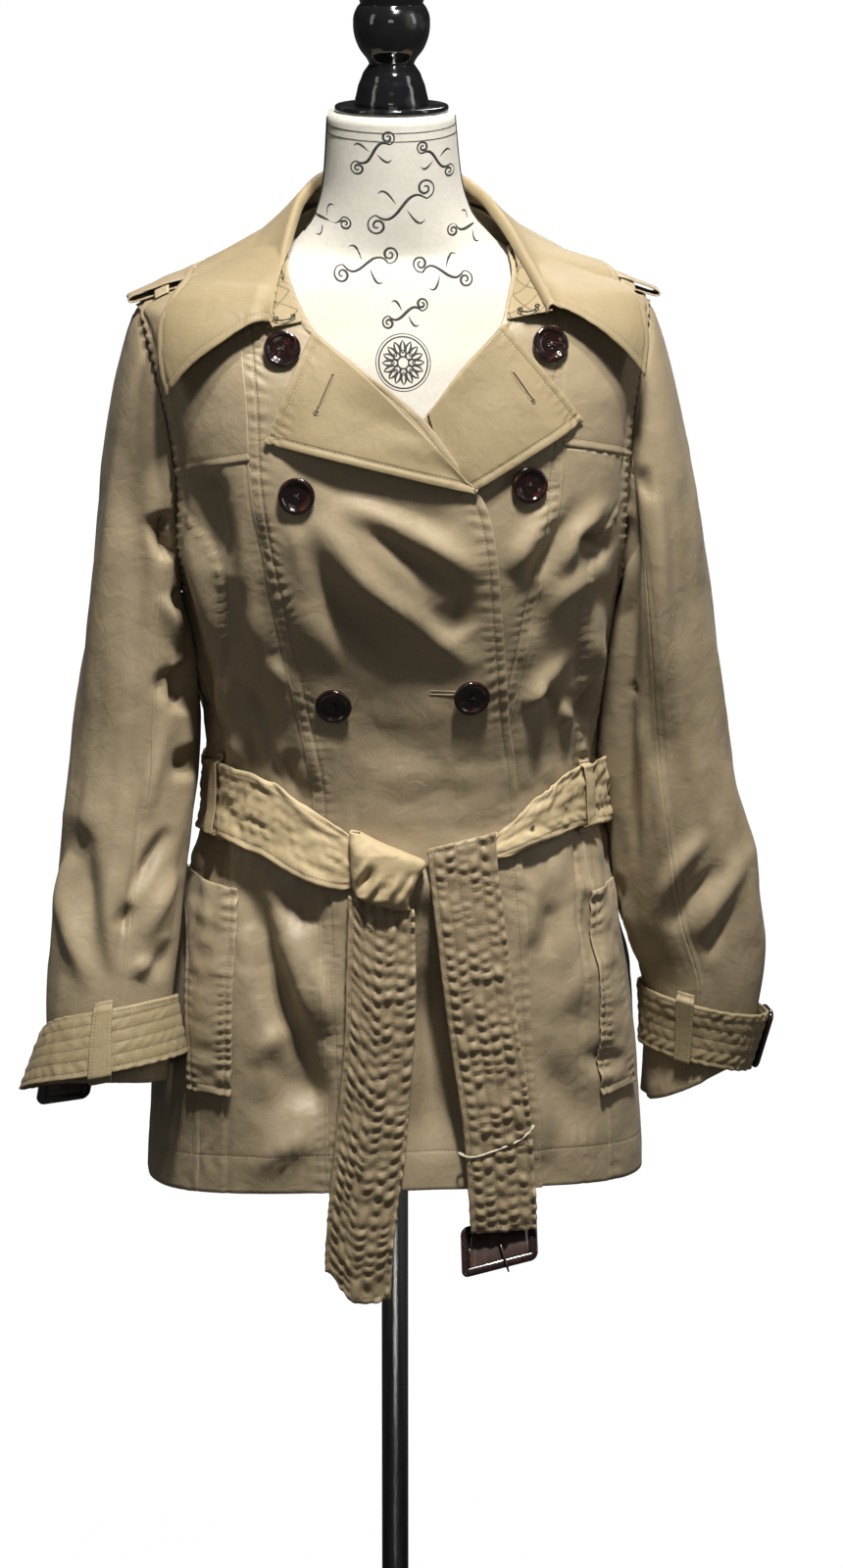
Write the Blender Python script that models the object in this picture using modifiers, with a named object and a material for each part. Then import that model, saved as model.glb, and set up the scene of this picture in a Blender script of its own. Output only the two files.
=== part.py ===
"""Short belted double-breasted coat standing on a limbless dress form.

The coat is modelled as it is cut and sewn. Its body is one smooth garment surface, worked out from a table of
girth rings, and every panel is a piece of that surface between two seam lines, given the wall of the cloth.
Lapels, pocket welts, belt, loops and buttons lie on the panels: they are made from the same surface, moved out.
The sleeves run from the armhole line through a table of sleeve sections. The form, its neck block, the turned
finial and the plain stand are solid.

Metres, +Z up. The origin is on the floor under the middle of the stand, the front of the coat faces -Y, and the
wearer's right is -X.
"""
import functools
import math

import bmesh
import bpy
from mathutils import Matrix, Vector
from mathutils.bvhtree import BVHTree

# ---- cloth and seams
CLOTH_WALL = 0.0016
TRIM_WALL = 0.0018
BELT_WALL = 0.0024
SEAM_GAP = 0.0004
LIE_GAP = 0.0004

# ---- heights
SHOULDER_MEASURE = 1.152
ARMPIT_HEIGHT = 0.915
NECK_MEASURE = 1.280
NECK_RISE_AT_BACK = 0.012
HEM_AT_SIDE = 0.433
HEM_RISE_AT_FRONT = 0.017
YOKE_SEAM_AT_ARMHOLE = 1.0170
YOKE_SEAM_AT_PRINCESS = 1.0376

# ---- armhole, on the garment surface
ARMHOLE_HALF_HEIGHT = (SHOULDER_MEASURE - ARMPIT_HEIGHT) / 2
ARMHOLE_MIDDLE = (SHOULDER_MEASURE + ARMPIT_HEIGHT) / 2
ARMHOLE_FRONT_TURN = 20.0
ARMHOLE_BACK_TURN = 22.0
SLEEVE_SEAM_LIFT = CLOTH_WALL + LIE_GAP
SLEEVE_UNDER_LIFT = 0.0022
CUFF_ROOM = 0.0056

# ---- front overlap
OVERLAP_LIFT = 0.0024
OVERLAP_EXTRA_AT_CHEST = 0.0022

# ---- belt
BELT_LOOP_WIDTH = 0.0100
BELT_SLACK = 0.0072
BELT_SLACK_TURN = 272.0
TAIL_LIFT = 0.0060
EPAULETTE_WALL = 0.0014
KEEPER_HEIGHT = 0.0070

# ---- buttons and buckles
BUTTON_DIAMETER = 0.0290
BUTTON_THICKNESS = 0.0042
BELT_BUCKLE_LONG = 0.0640
BELT_BUCKLE_HIGH = 0.0400
CUFF_BUCKLE_LONG = 0.0500
CUFF_BUCKLE_HIGH = 0.0320
BUCKLE_BAR = 0.0060
CUFF_BUCKLE_BAR = 0.0048
BUCKLE_THICKNESS = 0.0040
PRONG_RADIUS = 0.0012
HOOK_RADIUS = 0.0008

# ---- dress form and stand
FORM_BOTTOM = 0.570
NECK_TOP = 1.2930
NECK_SHIFT = -0.0015
CAP_RADIUS = 0.0447
CAP_THICKNESS = 0.0050
POLE_RADIUS = 0.0110
BASE_RADIUS = 0.1600
BASE_HEIGHT = 0.0260

# girth rings of the garment surface: "measure" runs up the side seam and over the shoulder
RING_COLUMNS = ("measure", "height", "middle", "half_width", "front", "back", "squareness")
COAT_RINGS = (
    (0.432, 0.432, 0.000, 0.201, 0.132, 0.122, 2.4),
    (0.540, 0.540, 0.001, 0.194, 0.128, 0.120, 2.4),
    (0.650, 0.650, 0.003, 0.176, 0.120, 0.112, 2.4),
    (0.715, 0.715, 0.007, 0.160, 0.112, 0.102, 2.3),
    (0.745, 0.745, 0.006, 0.155, 0.108, 0.099, 2.3),
    (0.790, 0.790, 0.006, 0.156, 0.110, 0.098, 2.3),
    (0.860, 0.860, 0.004, 0.165, 0.124, 0.101, 2.4),
    (0.915, 0.915, 0.004, 0.173, 0.133, 0.105, 2.6),
    (0.960, 0.960, 0.003, 0.179, 0.138, 0.107, 2.8),
    (1.020, 1.020, 0.001, 0.185, 0.134, 0.108, 3.0),
    (1.075, 1.075, 0.000, 0.192, 0.126, 0.107, 3.0),
    (1.128, 1.122, 0.000, 0.199, 0.112, 0.100, 2.8),
    (1.152, 1.140, 0.000, 0.1995, 0.105, 0.092, 2.5),
    (1.170, 1.150, 0.000, 0.187, 0.094, 0.086, 2.4),
    (1.192, 1.1585, 0.000, 0.165, 0.082, 0.080, 2.3),
    (1.236, 1.1745, 0.001, 0.124, 0.064, 0.070, 2.2),
    (1.280, 1.1900, 0.002, 0.087, 0.047, 0.062, 2.1),
)
FORM_RINGS = (
    (0.570, 0.5700, 0.0, 0.140, 0.090, 0.092, 2.2),
    (0.580, 0.5800, 0.0, 0.148, 0.096, 0.098, 2.2),
    (0.640, 0.6400, 0.0, 0.150, 0.097, 0.098, 2.2),
    (0.700, 0.7000, 0.0, 0.136, 0.092, 0.090, 2.2),
    (0.745, 0.7450, 0.0, 0.124, 0.088, 0.082, 2.2),
    (0.800, 0.8000, 0.0, 0.124, 0.092, 0.082, 2.2),
    (0.880, 0.8800, 0.0, 0.142, 0.108, 0.086, 2.3),
    (0.950, 0.9500, 0.0, 0.156, 0.120, 0.090, 2.4),
    (1.010, 1.0100, 0.0, 0.164, 0.115, 0.092, 2.4),
    (1.060, 1.0600, 0.0, 0.172, 0.104, 0.092, 2.4),
    (1.110, 1.1050, 0.0, 0.179, 0.090, 0.086, 2.3),
    (1.142, 1.1300, 0.0, 0.184, 0.078, 0.076, 2.2),
    (1.192, 1.1570, 0.0, 0.162, 0.066, 0.068, 2.1),
    (1.236, 1.1728, 0.001, 0.1215, 0.058, 0.062, 2.1),
    (1.280, 1.1885, 0.001, 0.0825, 0.0500, 0.0570, 2.0),
    (1.288, 1.1960, 0.001, 0.0750, 0.0500, 0.0560, 2.0),
    (1.305, 1.2120, 0.000, 0.0620, 0.0505, 0.0540, 2.0),
    (1.335, 1.2400, -0.001, 0.0540, 0.0500, 0.0510, 2.0),
    (1.388, 1.2930, -0.002, 0.0495, 0.0495, 0.0495, 2.0),
)

# seam lines across the front, as distance from the middle of the coat at each measure
LINE_COLUMNS = ("measure", "across")
PRINCESS_LINE = (
    (0.430, 0.0615), (0.478, 0.0627), (0.684, 0.0672), (0.778, 0.0715), (0.843, 0.0850),
    (0.908, 0.0980), (0.986, 0.1147), (1.030, 0.1200), (1.077, 0.1215), (1.150, 0.1260), (1.280, 0.1280),
)
OVER_FRONT_EDGE = (
    (0.430, 0.1083), (0.445, 0.1073), (0.547, 0.1007), (0.673, 0.0934), (0.776, 0.0880), (0.824, 0.0811),
    (0.906, 0.0735), (0.969, 0.0671), (1.000, 0.0605), (1.0134, 0.0533), (1.042, 0.0330), (1.0694, 0.0120),
    (1.112, -0.0360), (1.154, -0.0735), (1.192, -0.0820), (1.236, -0.0860), (1.280, -0.0830),
)
UNDER_FRONT_EDGE = (
    (0.430, -0.0560), (0.980, -0.0500), (1.030, -0.0250), (1.0694, 0.0120), (1.112, 0.0440),
    (1.154, 0.0760), (1.192, 0.0830), (1.236, 0.0880), (1.280, 0.0870),
)
NECKLINE = ((1.152, 0.0750), (1.192, 0.0825), (1.236, 0.0870), (1.280, 0.0870))

# side seams, as degrees of turn from the middle of the front
TURN_COLUMNS = ("measure", "turn")
SIDE_SEAM = ((0.430, 52.0), (0.650, 55.0), (0.745, 60.0), (0.850, 76.0), (0.915, 90.0), (1.280, 90.0))

BELT_COLUMNS = ("turn", "height", "half_width")
BELT_RUN = (
    (-354.5, 0.7215, 0.0070), (-345.0, 0.7240, 0.0080), (-337.0, 0.7280, 0.0100), (-324.0, 0.7420, 0.0180),
    (-306.0, 0.7530, 0.0240), (-265.0, 0.7455, 0.0275), (-180.0, 0.7500, 0.0275), (-95.0, 0.7490, 0.0290),
    (-66.0, 0.7540, 0.0300), (-45.0, 0.7480, 0.0300), (-30.0, 0.7310, 0.0290), (-18.0, 0.7165, 0.0232),
)

# sleeve sections below the sleeve head, for the wearer's right and left arm
SLEEVE_COLUMNS = ("height", "out", "forward", "half_width", "half_depth")
RIGHT_SLEEVE = (
    (0.860, 0.2095, 0.010, 0.0380, 0.062), (0.790, 0.2085, 0.020, 0.0495, 0.057),
    (0.720, 0.2185, 0.038, 0.0495, 0.053), (0.645, 0.2280, 0.056, 0.0492, 0.051),
    (0.580, 0.2345, 0.070, 0.0480, 0.046), (0.525, 0.2350, 0.076, 0.0460, 0.043),
)
LEFT_SLEEVE = (
    (0.860, 0.2150, -0.002, 0.0440, 0.063), (0.790, 0.2220, -0.005, 0.0500, 0.057),
    (0.720, 0.2355, -0.006, 0.0485, 0.055), (0.645, 0.2490, -0.008, 0.0500, 0.053),
    (0.580, 0.2535, -0.010, 0.0480, 0.048), (0.545, 0.2520, -0.010, 0.0445, 0.044),
    (0.470, 0.2430, -0.010, 0.0385, 0.042),
)
SLEEVE_SPLIT_FRONT = 100.0
SLEEVE_SPLIT_BACK = 250.0

# collar: fold line and outer edge from the centre back (0) to the front end (1)
COLLAR_COLUMNS = ("along", "fold_x", "fold_y", "fold_z", "edge_x", "edge_y", "edge_z")
COLLAR_LINES = (
    (0.00, 0.000, 0.0700, 1.2400, 0.000, 0.1200, 1.1580),
    (0.30, 0.046, 0.0560, 1.2380, 0.100, 0.1040, 1.1570),
    (0.50, 0.072, 0.0220, 1.2240, 0.160, 0.0560, 1.1680),
    (0.66, 0.086, -0.0180, 1.2030, 0.168, 0.0040, 1.1765),
    (0.73, 0.0905, -0.0330, 1.1935, 0.1690, -0.0200, 1.1735),
    (0.83, 0.099, -0.0600, 1.1740, 0.1735, -0.0440, 1.1480),
    (1.00, 0.110, -0.1060, 1.1480, 0.1785, -0.0880, 1.0900),
)
NECK_SHARE_AT_BACK = 0.55

# hanging belt ends
TAIL_COLUMNS = ("height", "across", "half_width")
PLAIN_TAIL = (
    (0.6785, -0.0205, 0.0245), (0.600, -0.0215, 0.0268), (0.486, -0.0310, 0.0268), (0.415, -0.0385, 0.0260),
    (0.355, -0.0410, 0.0255),
)
BUCKLE_TAIL = (
    (0.7150, 0.0430, 0.0262), (0.660, 0.0490, 0.0265), (0.600, 0.0555, 0.0265), (0.486, 0.0700, 0.0262),
    (0.400, 0.0745, 0.0250),
)

# epaulette path: distance out, height over the shoulder surface
EPAULETTE_COLUMNS = ("out", "height")
EPAULETTE_PATH = (
    (0.1380, 0.0018), (0.1560, 0.0020), (0.1740, 0.0026), (0.1880, 0.0034), (0.1980, 0.0040), (0.2060, 0.0058),
    (0.2085, 0.0085), (0.2060, 0.0115), (0.1950, 0.0128), (0.1780, 0.0108), (0.1660, 0.0080), (0.1480, 0.0062),
)


KHAKI = (0.30, 0.235, 0.125)
LIGHT_KHAKI = (0.37, 0.295, 0.165)
TORTOISE = (0.030, 0.012, 0.008)
LINEN = (0.66, 0.62, 0.53)
BLACK = (0.006, 0.006, 0.007)
STEEL = (0.45, 0.45, 0.46)


# ---------------------------------------------------------------- small tools
def clear_scene():
    for obj in list(bpy.data.objects):
        bpy.data.objects.remove(obj, do_unlink=True)


def finish_named(name, colour, roughness, metallic=0.0):
    mat = bpy.data.materials.get(name)
    if mat is None:
        mat = bpy.data.materials.new(name)
        mat.use_nodes = True
        shader = mat.node_tree.nodes["Principled BSDF"]
        shader.inputs["Base Color"].default_value = (*colour, 1.0)
        shader.inputs["Roughness"].default_value = roughness
        shader.inputs["Metallic"].default_value = metallic
    return mat


def read_table(columns, rows, column, at):
    """Smooth value of a column at a place along the first column, without overshoot."""
    k = columns.index(column)
    xs = [r[0] for r in rows]
    ys = [r[k] for r in rows]
    if at <= xs[0]:
        return ys[0]
    if at >= xs[-1]:
        return ys[-1]
    i = max(j for j in range(len(xs) - 1) if xs[j] <= at)
    steps = [xs[j + 1] - xs[j] for j in range(len(xs) - 1)]
    slopes = [(ys[j + 1] - ys[j]) / steps[j] for j in range(len(xs) - 1)]

    def tangent(j):
        if j == 0:
            return slopes[0]
        if j == len(xs) - 1:
            return slopes[-1]
        a, b = slopes[j - 1], slopes[j]
        return 0.0 if a * b <= 0 else 2 * a * b / (a + b)

    t = (at - xs[i]) / steps[i]
    m0 = tangent(i) * steps[i]
    m1 = tangent(i + 1) * steps[i]
    return ((2 * t**3 - 3 * t**2 + 1) * ys[i] + (t**3 - 2 * t**2 + t) * m0
            + (3 * t**2 - 2 * t**3) * ys[i + 1] + (t**3 - t**2) * m1)


def ease(x, low, high):
    t = min(1.0, max(0.0, (x - low) / (high - low)))
    return t * t * (3 - 2 * t)


def power(value, exponent):
    return math.copysign(abs(value) ** exponent, value)


# ---------------------------------------------------------------- the garment surface
@functools.lru_cache(maxsize=None)
def ring_values(rings, measure):
    return tuple(read_table(RING_COLUMNS, rings, column, measure) for column in RING_COLUMNS)


def ring_point(rings, measure, turn, rise=0.0):
    """Point of a surface of girth rings; turn is in radians from the middle of the front."""
    _, height, middle, half_width, front, back, squareness = ring_values(rings, measure)
    s = power(math.sin(turn), 2.0 / squareness)
    c = power(math.cos(turn), 2.0 / squareness)
    depth = front if c > 0 else back
    lift = rise * max(0.0, -c) * ease(measure, SHOULDER_MEASURE, NECK_MEASURE)
    return Vector((middle + half_width * s, -depth * c, height + lift))


def coat_base(measure, turn):
    return ring_point(COAT_RINGS, measure, turn, NECK_RISE_AT_BACK)


def coat_normal(measure, turn):
    d = 0.004
    m = min(max(measure, 0.436), 1.276)
    around = coat_base(m, turn + d) - coat_base(m, turn - d)
    up = coat_base(m + d, turn) - coat_base(m - d, turn)
    return around.cross(up).normalized()


def coat_point(measure, turn, lift=0.0):
    return coat_base(measure, turn) + coat_normal(measure, turn) * lift


def turn_at(measure, across):
    """Turn of the surface point at a given distance across the front."""
    _, _, middle, half_width, _, _, squareness = ring_values(COAT_RINGS, measure)
    share = max(-1.0, min(1.0, (across - middle) / half_width))
    return math.copysign(math.asin(abs(share) ** (squareness / 2)), share)


def line_turn(rows, measure, side=1):
    return turn_at(measure, side * read_table(LINE_COLUMNS, rows, "across", measure))


def armhole_turn(measure, front):
    """Turn of the armhole line (positive, in radians) at a height between armpit and shoulder."""
    t = max(-1.0, min(1.0, (measure - ARMHOLE_MIDDLE) / ARMHOLE_HALF_HEIGHT))
    wide = math.sqrt(max(0.0, 1 - t * t))
    swing = -ARMHOLE_FRONT_TURN if front else ARMHOLE_BACK_TURN
    return math.radians(90.0 + swing * wide)


def outer_line(measure, front):
    """Outer boundary of the front or back pieces: side seam, then armhole, then shoulder seam."""
    if measure <= ARMPIT_HEIGHT:
        return math.radians(read_table(TURN_COLUMNS, SIDE_SEAM, "turn", measure))
    if measure < SHOULDER_MEASURE:
        return armhole_turn(measure, front)
    return math.radians(90.0)


def moved_turn(measure, turn, sign, gap):
    """The turn at which the surface point lies a gap further round."""
    start = coat_base(measure, turn)
    low, high = 0.0, 0.2
    for _ in range(30):
        mid = (low + high) / 2
        if (coat_base(measure, turn + sign * mid) - start).length < gap:
            low = mid
        else:
            high = mid
    return turn + sign * high


def hem_measure(turn):
    return HEM_AT_SIDE + HEM_RISE_AT_FRONT * max(0.0, math.cos(turn)) ** 2


def over_front_lift(measure, turn):
    """How far the overlapping front and its side stand off the garment surface."""
    across = ease(math.degrees(turn), -52.0, -24.0)
    top = 1.0 - ease(measure, 1.095, 1.150)
    return across * top * (OVERLAP_LIFT + OVERLAP_EXTRA_AT_CHEST * ease(measure, 0.90, 0.99))


def no_lift(measure, turn):
    return 0.0


@functools.lru_cache(maxsize=None)
def garment_tree():
    """The outermost panels as a search tree, for keeping other pieces clear of them."""
    measures = [HEM_AT_SIDE + (NECK_MEASURE - HEM_AT_SIDE) * i / 84 for i in range(85)]
    around = 90
    points = []
    for measure in measures:
        edge = line_turn(OVER_FRONT_EDGE, measure)
        for k in range(around):
            turn = -math.pi + 2 * math.pi * k / around
            lift = over_front_lift(measure, turn) if -math.pi / 2 < turn < edge else 0.0
            points.append(coat_point(measure, turn, lift))
    faces = []
    for i in range(len(measures) - 1):
        for k in range(around):
            j = (k + 1) % around
            faces.append((i * around + k, i * around + j, (i + 1) * around + j, (i + 1) * around + k))
    return BVHTree.FromPolygons(points, faces)


def kept_clear(point, lift):
    """The point, moved out where it would lie closer than the lift to the garment surface."""
    near, normal, _, _ = garment_tree().find_nearest(point)
    off = (point - near).dot(normal)
    return point + normal * (lift - off) if off < lift else point


def roof(x, y):
    """Height of the garment surface above a point of the floor."""
    return garment_tree().ray_cast(Vector((x, y, 1.5)), Vector((0.0, 0.0, -1.0)))[0].z


# ---------------------------------------------------------------- mesh builders
PARTS = None
ROOT = None


def add_object(name, mesh, material):
    mesh.materials.append(material)
    obj = bpy.data.objects.new(name, mesh)
    PARTS.objects.link(obj)
    obj.parent = ROOT
    return obj


def sheet(name, columns, rows, place, away, material, wall=CLOTH_WALL, ring=False):
    """A wall of cloth: a grid carried onto place(u, v), facing away from a point, and thickened outward."""
    bm = bmesh.new()
    bmesh.ops.create_grid(bm, x_segments=columns, y_segments=rows, size=1.0)
    for vert in bm.verts:
        vert.co = place((vert.co.x + 1) / 2, (vert.co.y + 1) / 2)
    if ring:
        bmesh.ops.remove_doubles(bm, verts=bm.verts, dist=1e-5)
    bm.normal_update()
    facing = 0.0
    for face in bm.faces:
        middle = face.calc_center_median()
        target = away(middle) if callable(away) else Vector(away)
        facing += face.calc_area() * face.normal.dot(middle - target)
    if facing < 0:
        bmesh.ops.reverse_faces(bm, faces=bm.faces)
    mesh = bpy.data.meshes.new(name)
    bm.to_mesh(mesh)
    bm.free()
    mesh.shade_smooth()
    obj = add_object(name, mesh, material)
    thick = obj.modifiers.new("cloth_wall", "SOLIDIFY")
    thick.thickness = wall
    thick.offset = 1.0
    return obj


def lofted(name, ring_of, rows, points, material):
    """A closed solid through rings: ring_of(share) gives a function of the angle."""
    bm = bmesh.new()
    rings = []
    for i in range(rows + 1):
        at = ring_of(i / rows)
        rings.append([bm.verts.new(at(2 * math.pi * k / points)) for k in range(points)])
    for lower, upper in zip(rings, rings[1:]):
        for k in range(points):
            j = (k + 1) % points
            bm.faces.new((lower[k], lower[j], upper[j], upper[k]))
    bm.faces.new(rings[0])
    bm.faces.new(rings[-1])
    bmesh.ops.recalc_face_normals(bm, faces=bm.faces)
    mesh = bpy.data.meshes.new(name)
    bm.to_mesh(mesh)
    bm.free()
    mesh.shade_smooth()
    return add_object(name, mesh, material)


def turned(name, profile, steps, material, place=None):
    """A turned solid: (radius, height) points from the top of the axis down to its bottom."""
    mesh = bpy.data.meshes.new(name)
    mesh.from_pydata([(r, 0.0, z) for r, z in profile], [(i, i + 1) for i in range(len(profile) - 1)], [])
    obj = add_object(name, mesh, material)
    screw = obj.modifiers.new("turning", "SCREW")
    screw.steps = steps
    screw.render_steps = steps
    screw.use_merge_vertices = True
    screw.merge_threshold = 0.00001
    screw.use_smooth_shade = True
    if place is not None:
        obj.matrix_world = place
    return obj


def frame_outline(name, long, high, bar, thick, material, place, middle_bar=True):
    """A flat buckle frame from its outline and its windows."""
    curve = bpy.data.curves.new(name, "CURVE")
    curve.dimensions = "2D"
    curve.fill_mode = "BOTH"
    curve.extrude = thick / 2

    def rounded(x0, x1, y0, y1, radius):
        points = []
        for cx, cy, start in ((x1 - radius, y1 - radius, 0), (x0 + radius, y1 - radius, 90),
                              (x0 + radius, y0 + radius, 180), (x1 - radius, y0 + radius, 270)):
            for k in range(4):
                a = math.radians(start + 30 * k)
                points.append((cx + radius * math.cos(a), cy + radius * math.sin(a)))
        spline = curve.splines.new("POLY")
        spline.points.add(len(points) - 1)
        for point, (x, y) in zip(spline.points, points):
            point.co = (x, y, 0.0, 1.0)
        spline.use_cyclic_u = True

    rounded(-long / 2, long / 2, -high / 2, high / 2, 0.006)
    half_bar = bar * 0.3
    if middle_bar:
        rounded(-long / 2 + bar, long / 2 - bar, half_bar, high / 2 - bar, 0.0015)
        rounded(-long / 2 + bar, long / 2 - bar, -high / 2 + bar, -half_bar, 0.0015)
    else:
        rounded(-long / 2 + bar, long / 2 - bar, -high / 2 + bar, high / 2 - bar, 0.002)
    drawn = bpy.data.objects.new(name + "_outline", curve)
    PARTS.objects.link(drawn)
    graph = bpy.context.evaluated_depsgraph_get()
    mesh = bpy.data.meshes.new_from_object(drawn.evaluated_get(graph))
    bm = bmesh.new()
    bm.from_mesh(mesh)
    bmesh.ops.remove_doubles(bm, verts=bm.verts, dist=1e-5)
    bmesh.ops.recalc_face_normals(bm, faces=bm.faces)
    bm.to_mesh(mesh)
    bm.free()
    bpy.data.objects.remove(drawn, do_unlink=True)
    mesh.materials.clear()
    obj = add_object(name, mesh, material)
    obj.matrix_world = place
    return obj


def wire(name, points, radius, material):
    curve = bpy.data.curves.new(name, "CURVE")
    curve.dimensions = "3D"
    curve.bevel_depth = radius
    curve.bevel_resolution = 2
    curve.use_fill_caps = True
    spline = curve.splines.new("POLY")
    spline.points.add(len(points) - 1)
    for point, co in zip(spline.points, points):
        point.co = (*co, 1.0)
    curve.materials.append(material)
    obj = bpy.data.objects.new(name, curve)
    PARTS.objects.link(obj)
    obj.parent = ROOT
    return obj


def stand_on(point, normal, up=(0.0, 0.0, 1.0)):
    """Frame with +Z along the normal and +Y as near to up as it goes."""
    z = normal.normalized()
    x = Vector(up).cross(z).normalized()
    y = z.cross(x)
    frame = Matrix((x, y, z)).transposed().to_4x4()
    frame.translation = point
    return frame


# ---------------------------------------------------------------- body panels
LOW_LEVELS = (0.0, 0.490, 0.545, 0.600, 0.650, 0.690, 0.722, 0.745, 0.772, 0.820, 0.865, 0.900)


def panel(name, start, end, levels, bottom, top, lift, columns, material):
    """Panel between two seam lines start(m) < end(m), through level measures, with its own hem and top line."""

    def place(u, v):
        step = v * (len(levels) - 1)
        i = int(round(step))
        m = levels[i]
        if i == 0:
            m = bottom(u)
        if i == len(levels) - 1:
            m = top(u)
        a = moved_turn(m, start(m), 1, SEAM_GAP / 2)
        b = moved_turn(m, end(m), -1, SEAM_GAP / 2)
        turn = a + (b - a) * u
        if i == 0 and m < 0.5:
            m = hem_measure(turn)
        return coat_point(m, turn, lift(m, turn))

    return sheet(name, columns, len(levels) - 1, place, lambda c: Vector((0, 0, c.z - 0.02)), material)


def make_fronts(cloth):
    chest = (0.915, 0.921, 0.932, 0.950, 0.975, 1.0, 1.0134)
    for side, word in ((-1, "right"), (1, "left")):
        lift = over_front_lift if side < 0 else no_lift
        edge = OVER_FRONT_EDGE if side < 0 else UNDER_FRONT_EDGE

        def princess(m, s=side):
            return line_turn(PRINCESS_LINE, m, s)

        def outer(m, s=side):
            return s * outer_line(m, True)

        def middle(m, e=edge):
            return line_turn(e, m)

        def span(inner, outside, s=side):
            return (outside, inner) if s < 0 else (inner, outside)

        def yoke_seam(u, s=side, up=0.0):
            share = u if s < 0 else 1 - u
            return (YOKE_SEAM_AT_ARMHOLE * (1 - share) + YOKE_SEAM_AT_PRINCESS * share + up
                    + (0.008 if s > 0 else 0.0))

        a, b = span(princess, outer)
        levels = LOW_LEVELS + chest + (1.03,)
        under = lambda u, seam=yoke_seam: seam(u, up=-SEAM_GAP / 2)
        panel(f"{word}_side_front", a, b, levels, lambda u: 0.435, under, lift, 4, cloth)
        levels = (1.03, 1.056, 1.069, 1.095, 1.122, 1.142, 1.1520, 1.175, 1.200, 1.222)
        over = lambda u, seam=yoke_seam: seam(u, up=SEAM_GAP / 2)
        panel(f"{word}_front_yoke", a, b, levels, over, lambda u: 1.222, lift, 4, cloth)
        a, b = span(middle, princess)
        seam = YOKE_SEAM_AT_PRINCESS + (0.008 if side > 0 else 0.0)
        levels = LOW_LEVELS + (
            0.915, 0.932, 0.950, 0.975, 1.000, 1.0134, seam, 1.0560, 1.0690, 1.082, 1.095, 1.1085, 1.122,
            1.132, 1.142, 1.152, 1.1635, 1.175, 1.1875, 1.200, 1.222, 1.236, 1.254, 1.272)
        panel(f"{word}_centre_front", a, b, levels, lambda u: 0.44, lambda u: 1.272, lift, 5, cloth)


def make_backs(cloth):
    levels = LOW_LEVELS + (
        0.915, 0.921, 0.932, 0.950, 0.975, 1.010, 1.050, 1.090, 1.122, 1.142, 1.152, 1.175, 1.205, 1.240, 1.280)
    for side, word in ((-1, "right"), (1, "left")):
        def outer(m, s=side):
            return s * outer_line(m, False)

        def centre(m, s=side):
            return s * math.pi

        a, b = (centre, outer) if side < 0 else (outer, centre)
        panel(f"{word}_back", a, b, levels, lambda u: 0.435, lambda u: 1.280, no_lift, 7, cloth)


# ---------------------------------------------------------------- sleeves
def armhole_point(side, angle):
    """Start of the sleeve on the armhole line; the angle runs from the shoulder tip over the front."""
    m = ARMHOLE_MIDDLE + ARMHOLE_HALF_HEIGHT * math.cos(angle)
    wide = math.sin(angle)
    swing = ARMHOLE_FRONT_TURN if wide > 0 else ARMHOLE_BACK_TURN
    turn = side * math.radians(90.0 - swing * wide)
    return coat_point(m, turn, seam_lift(angle)), coat_normal(m, turn)


def seam_lift(angle):
    """Stand-off of the sleeve from the body: under the arm its own wall comes between."""
    return SLEEVE_SEAM_LIFT + SLEEVE_UNDER_LIFT * (1 - math.cos(angle)) / 2


def sleeve_section(rows, side, height, angle, grow=0.0):
    flipped = tuple((-r[0],) + r[1:] for r in rows)
    get = lambda column: read_table(SLEEVE_COLUMNS, flipped, column, -height)
    out = get("out") + (get("half_width") + grow) * math.cos(angle)
    forward = get("forward") + (get("half_depth") + grow) * math.sin(angle)
    return Vector((side * out, -forward, height))


def sleeve_point(rows, side, angle, share, end):
    """Sleeve surface from the armhole (share 0) to the cuff (share 1)."""
    head_share = 0.42
    first = rows[0][0]
    if share >= head_share:
        t = (share - head_share) / (1 - head_share)
        height = first + (end(angle) - first) * t
        room = CUFF_ROOM * (1 - ease(height, 0.60, 0.66))
        return kept_clear(sleeve_section(rows, side, height, angle), seam_lift(angle) + 0.0006 + room)
    t = share / head_share
    start, normal = armhole_point(side, angle)
    finish = sleeve_section(rows, side, first, angle)
    span = (finish - start).length
    top = (1 + math.cos(angle)) / 2
    out = 0.12 + 0.38 * top
    go = Vector((normal.x, normal.y, 0.0)) * out + Vector((0.0, 0.0, -1.0))
    go = go.normalized() * span * (0.9 - 0.25 * top)
    arrive = (sleeve_section(rows, side, first - 0.01, angle) - finish).normalized() * span * 1.0
    point = ((2 * t**3 - 3 * t**2 + 1) * start + (t**3 - 2 * t**2 + t) * go
             + (3 * t**2 - 2 * t**3) * finish + (t**3 - t**2) * arrive)
    return kept_clear(point, seam_lift(angle) + 0.0006 * min(1.0, 4 * t))


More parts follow.
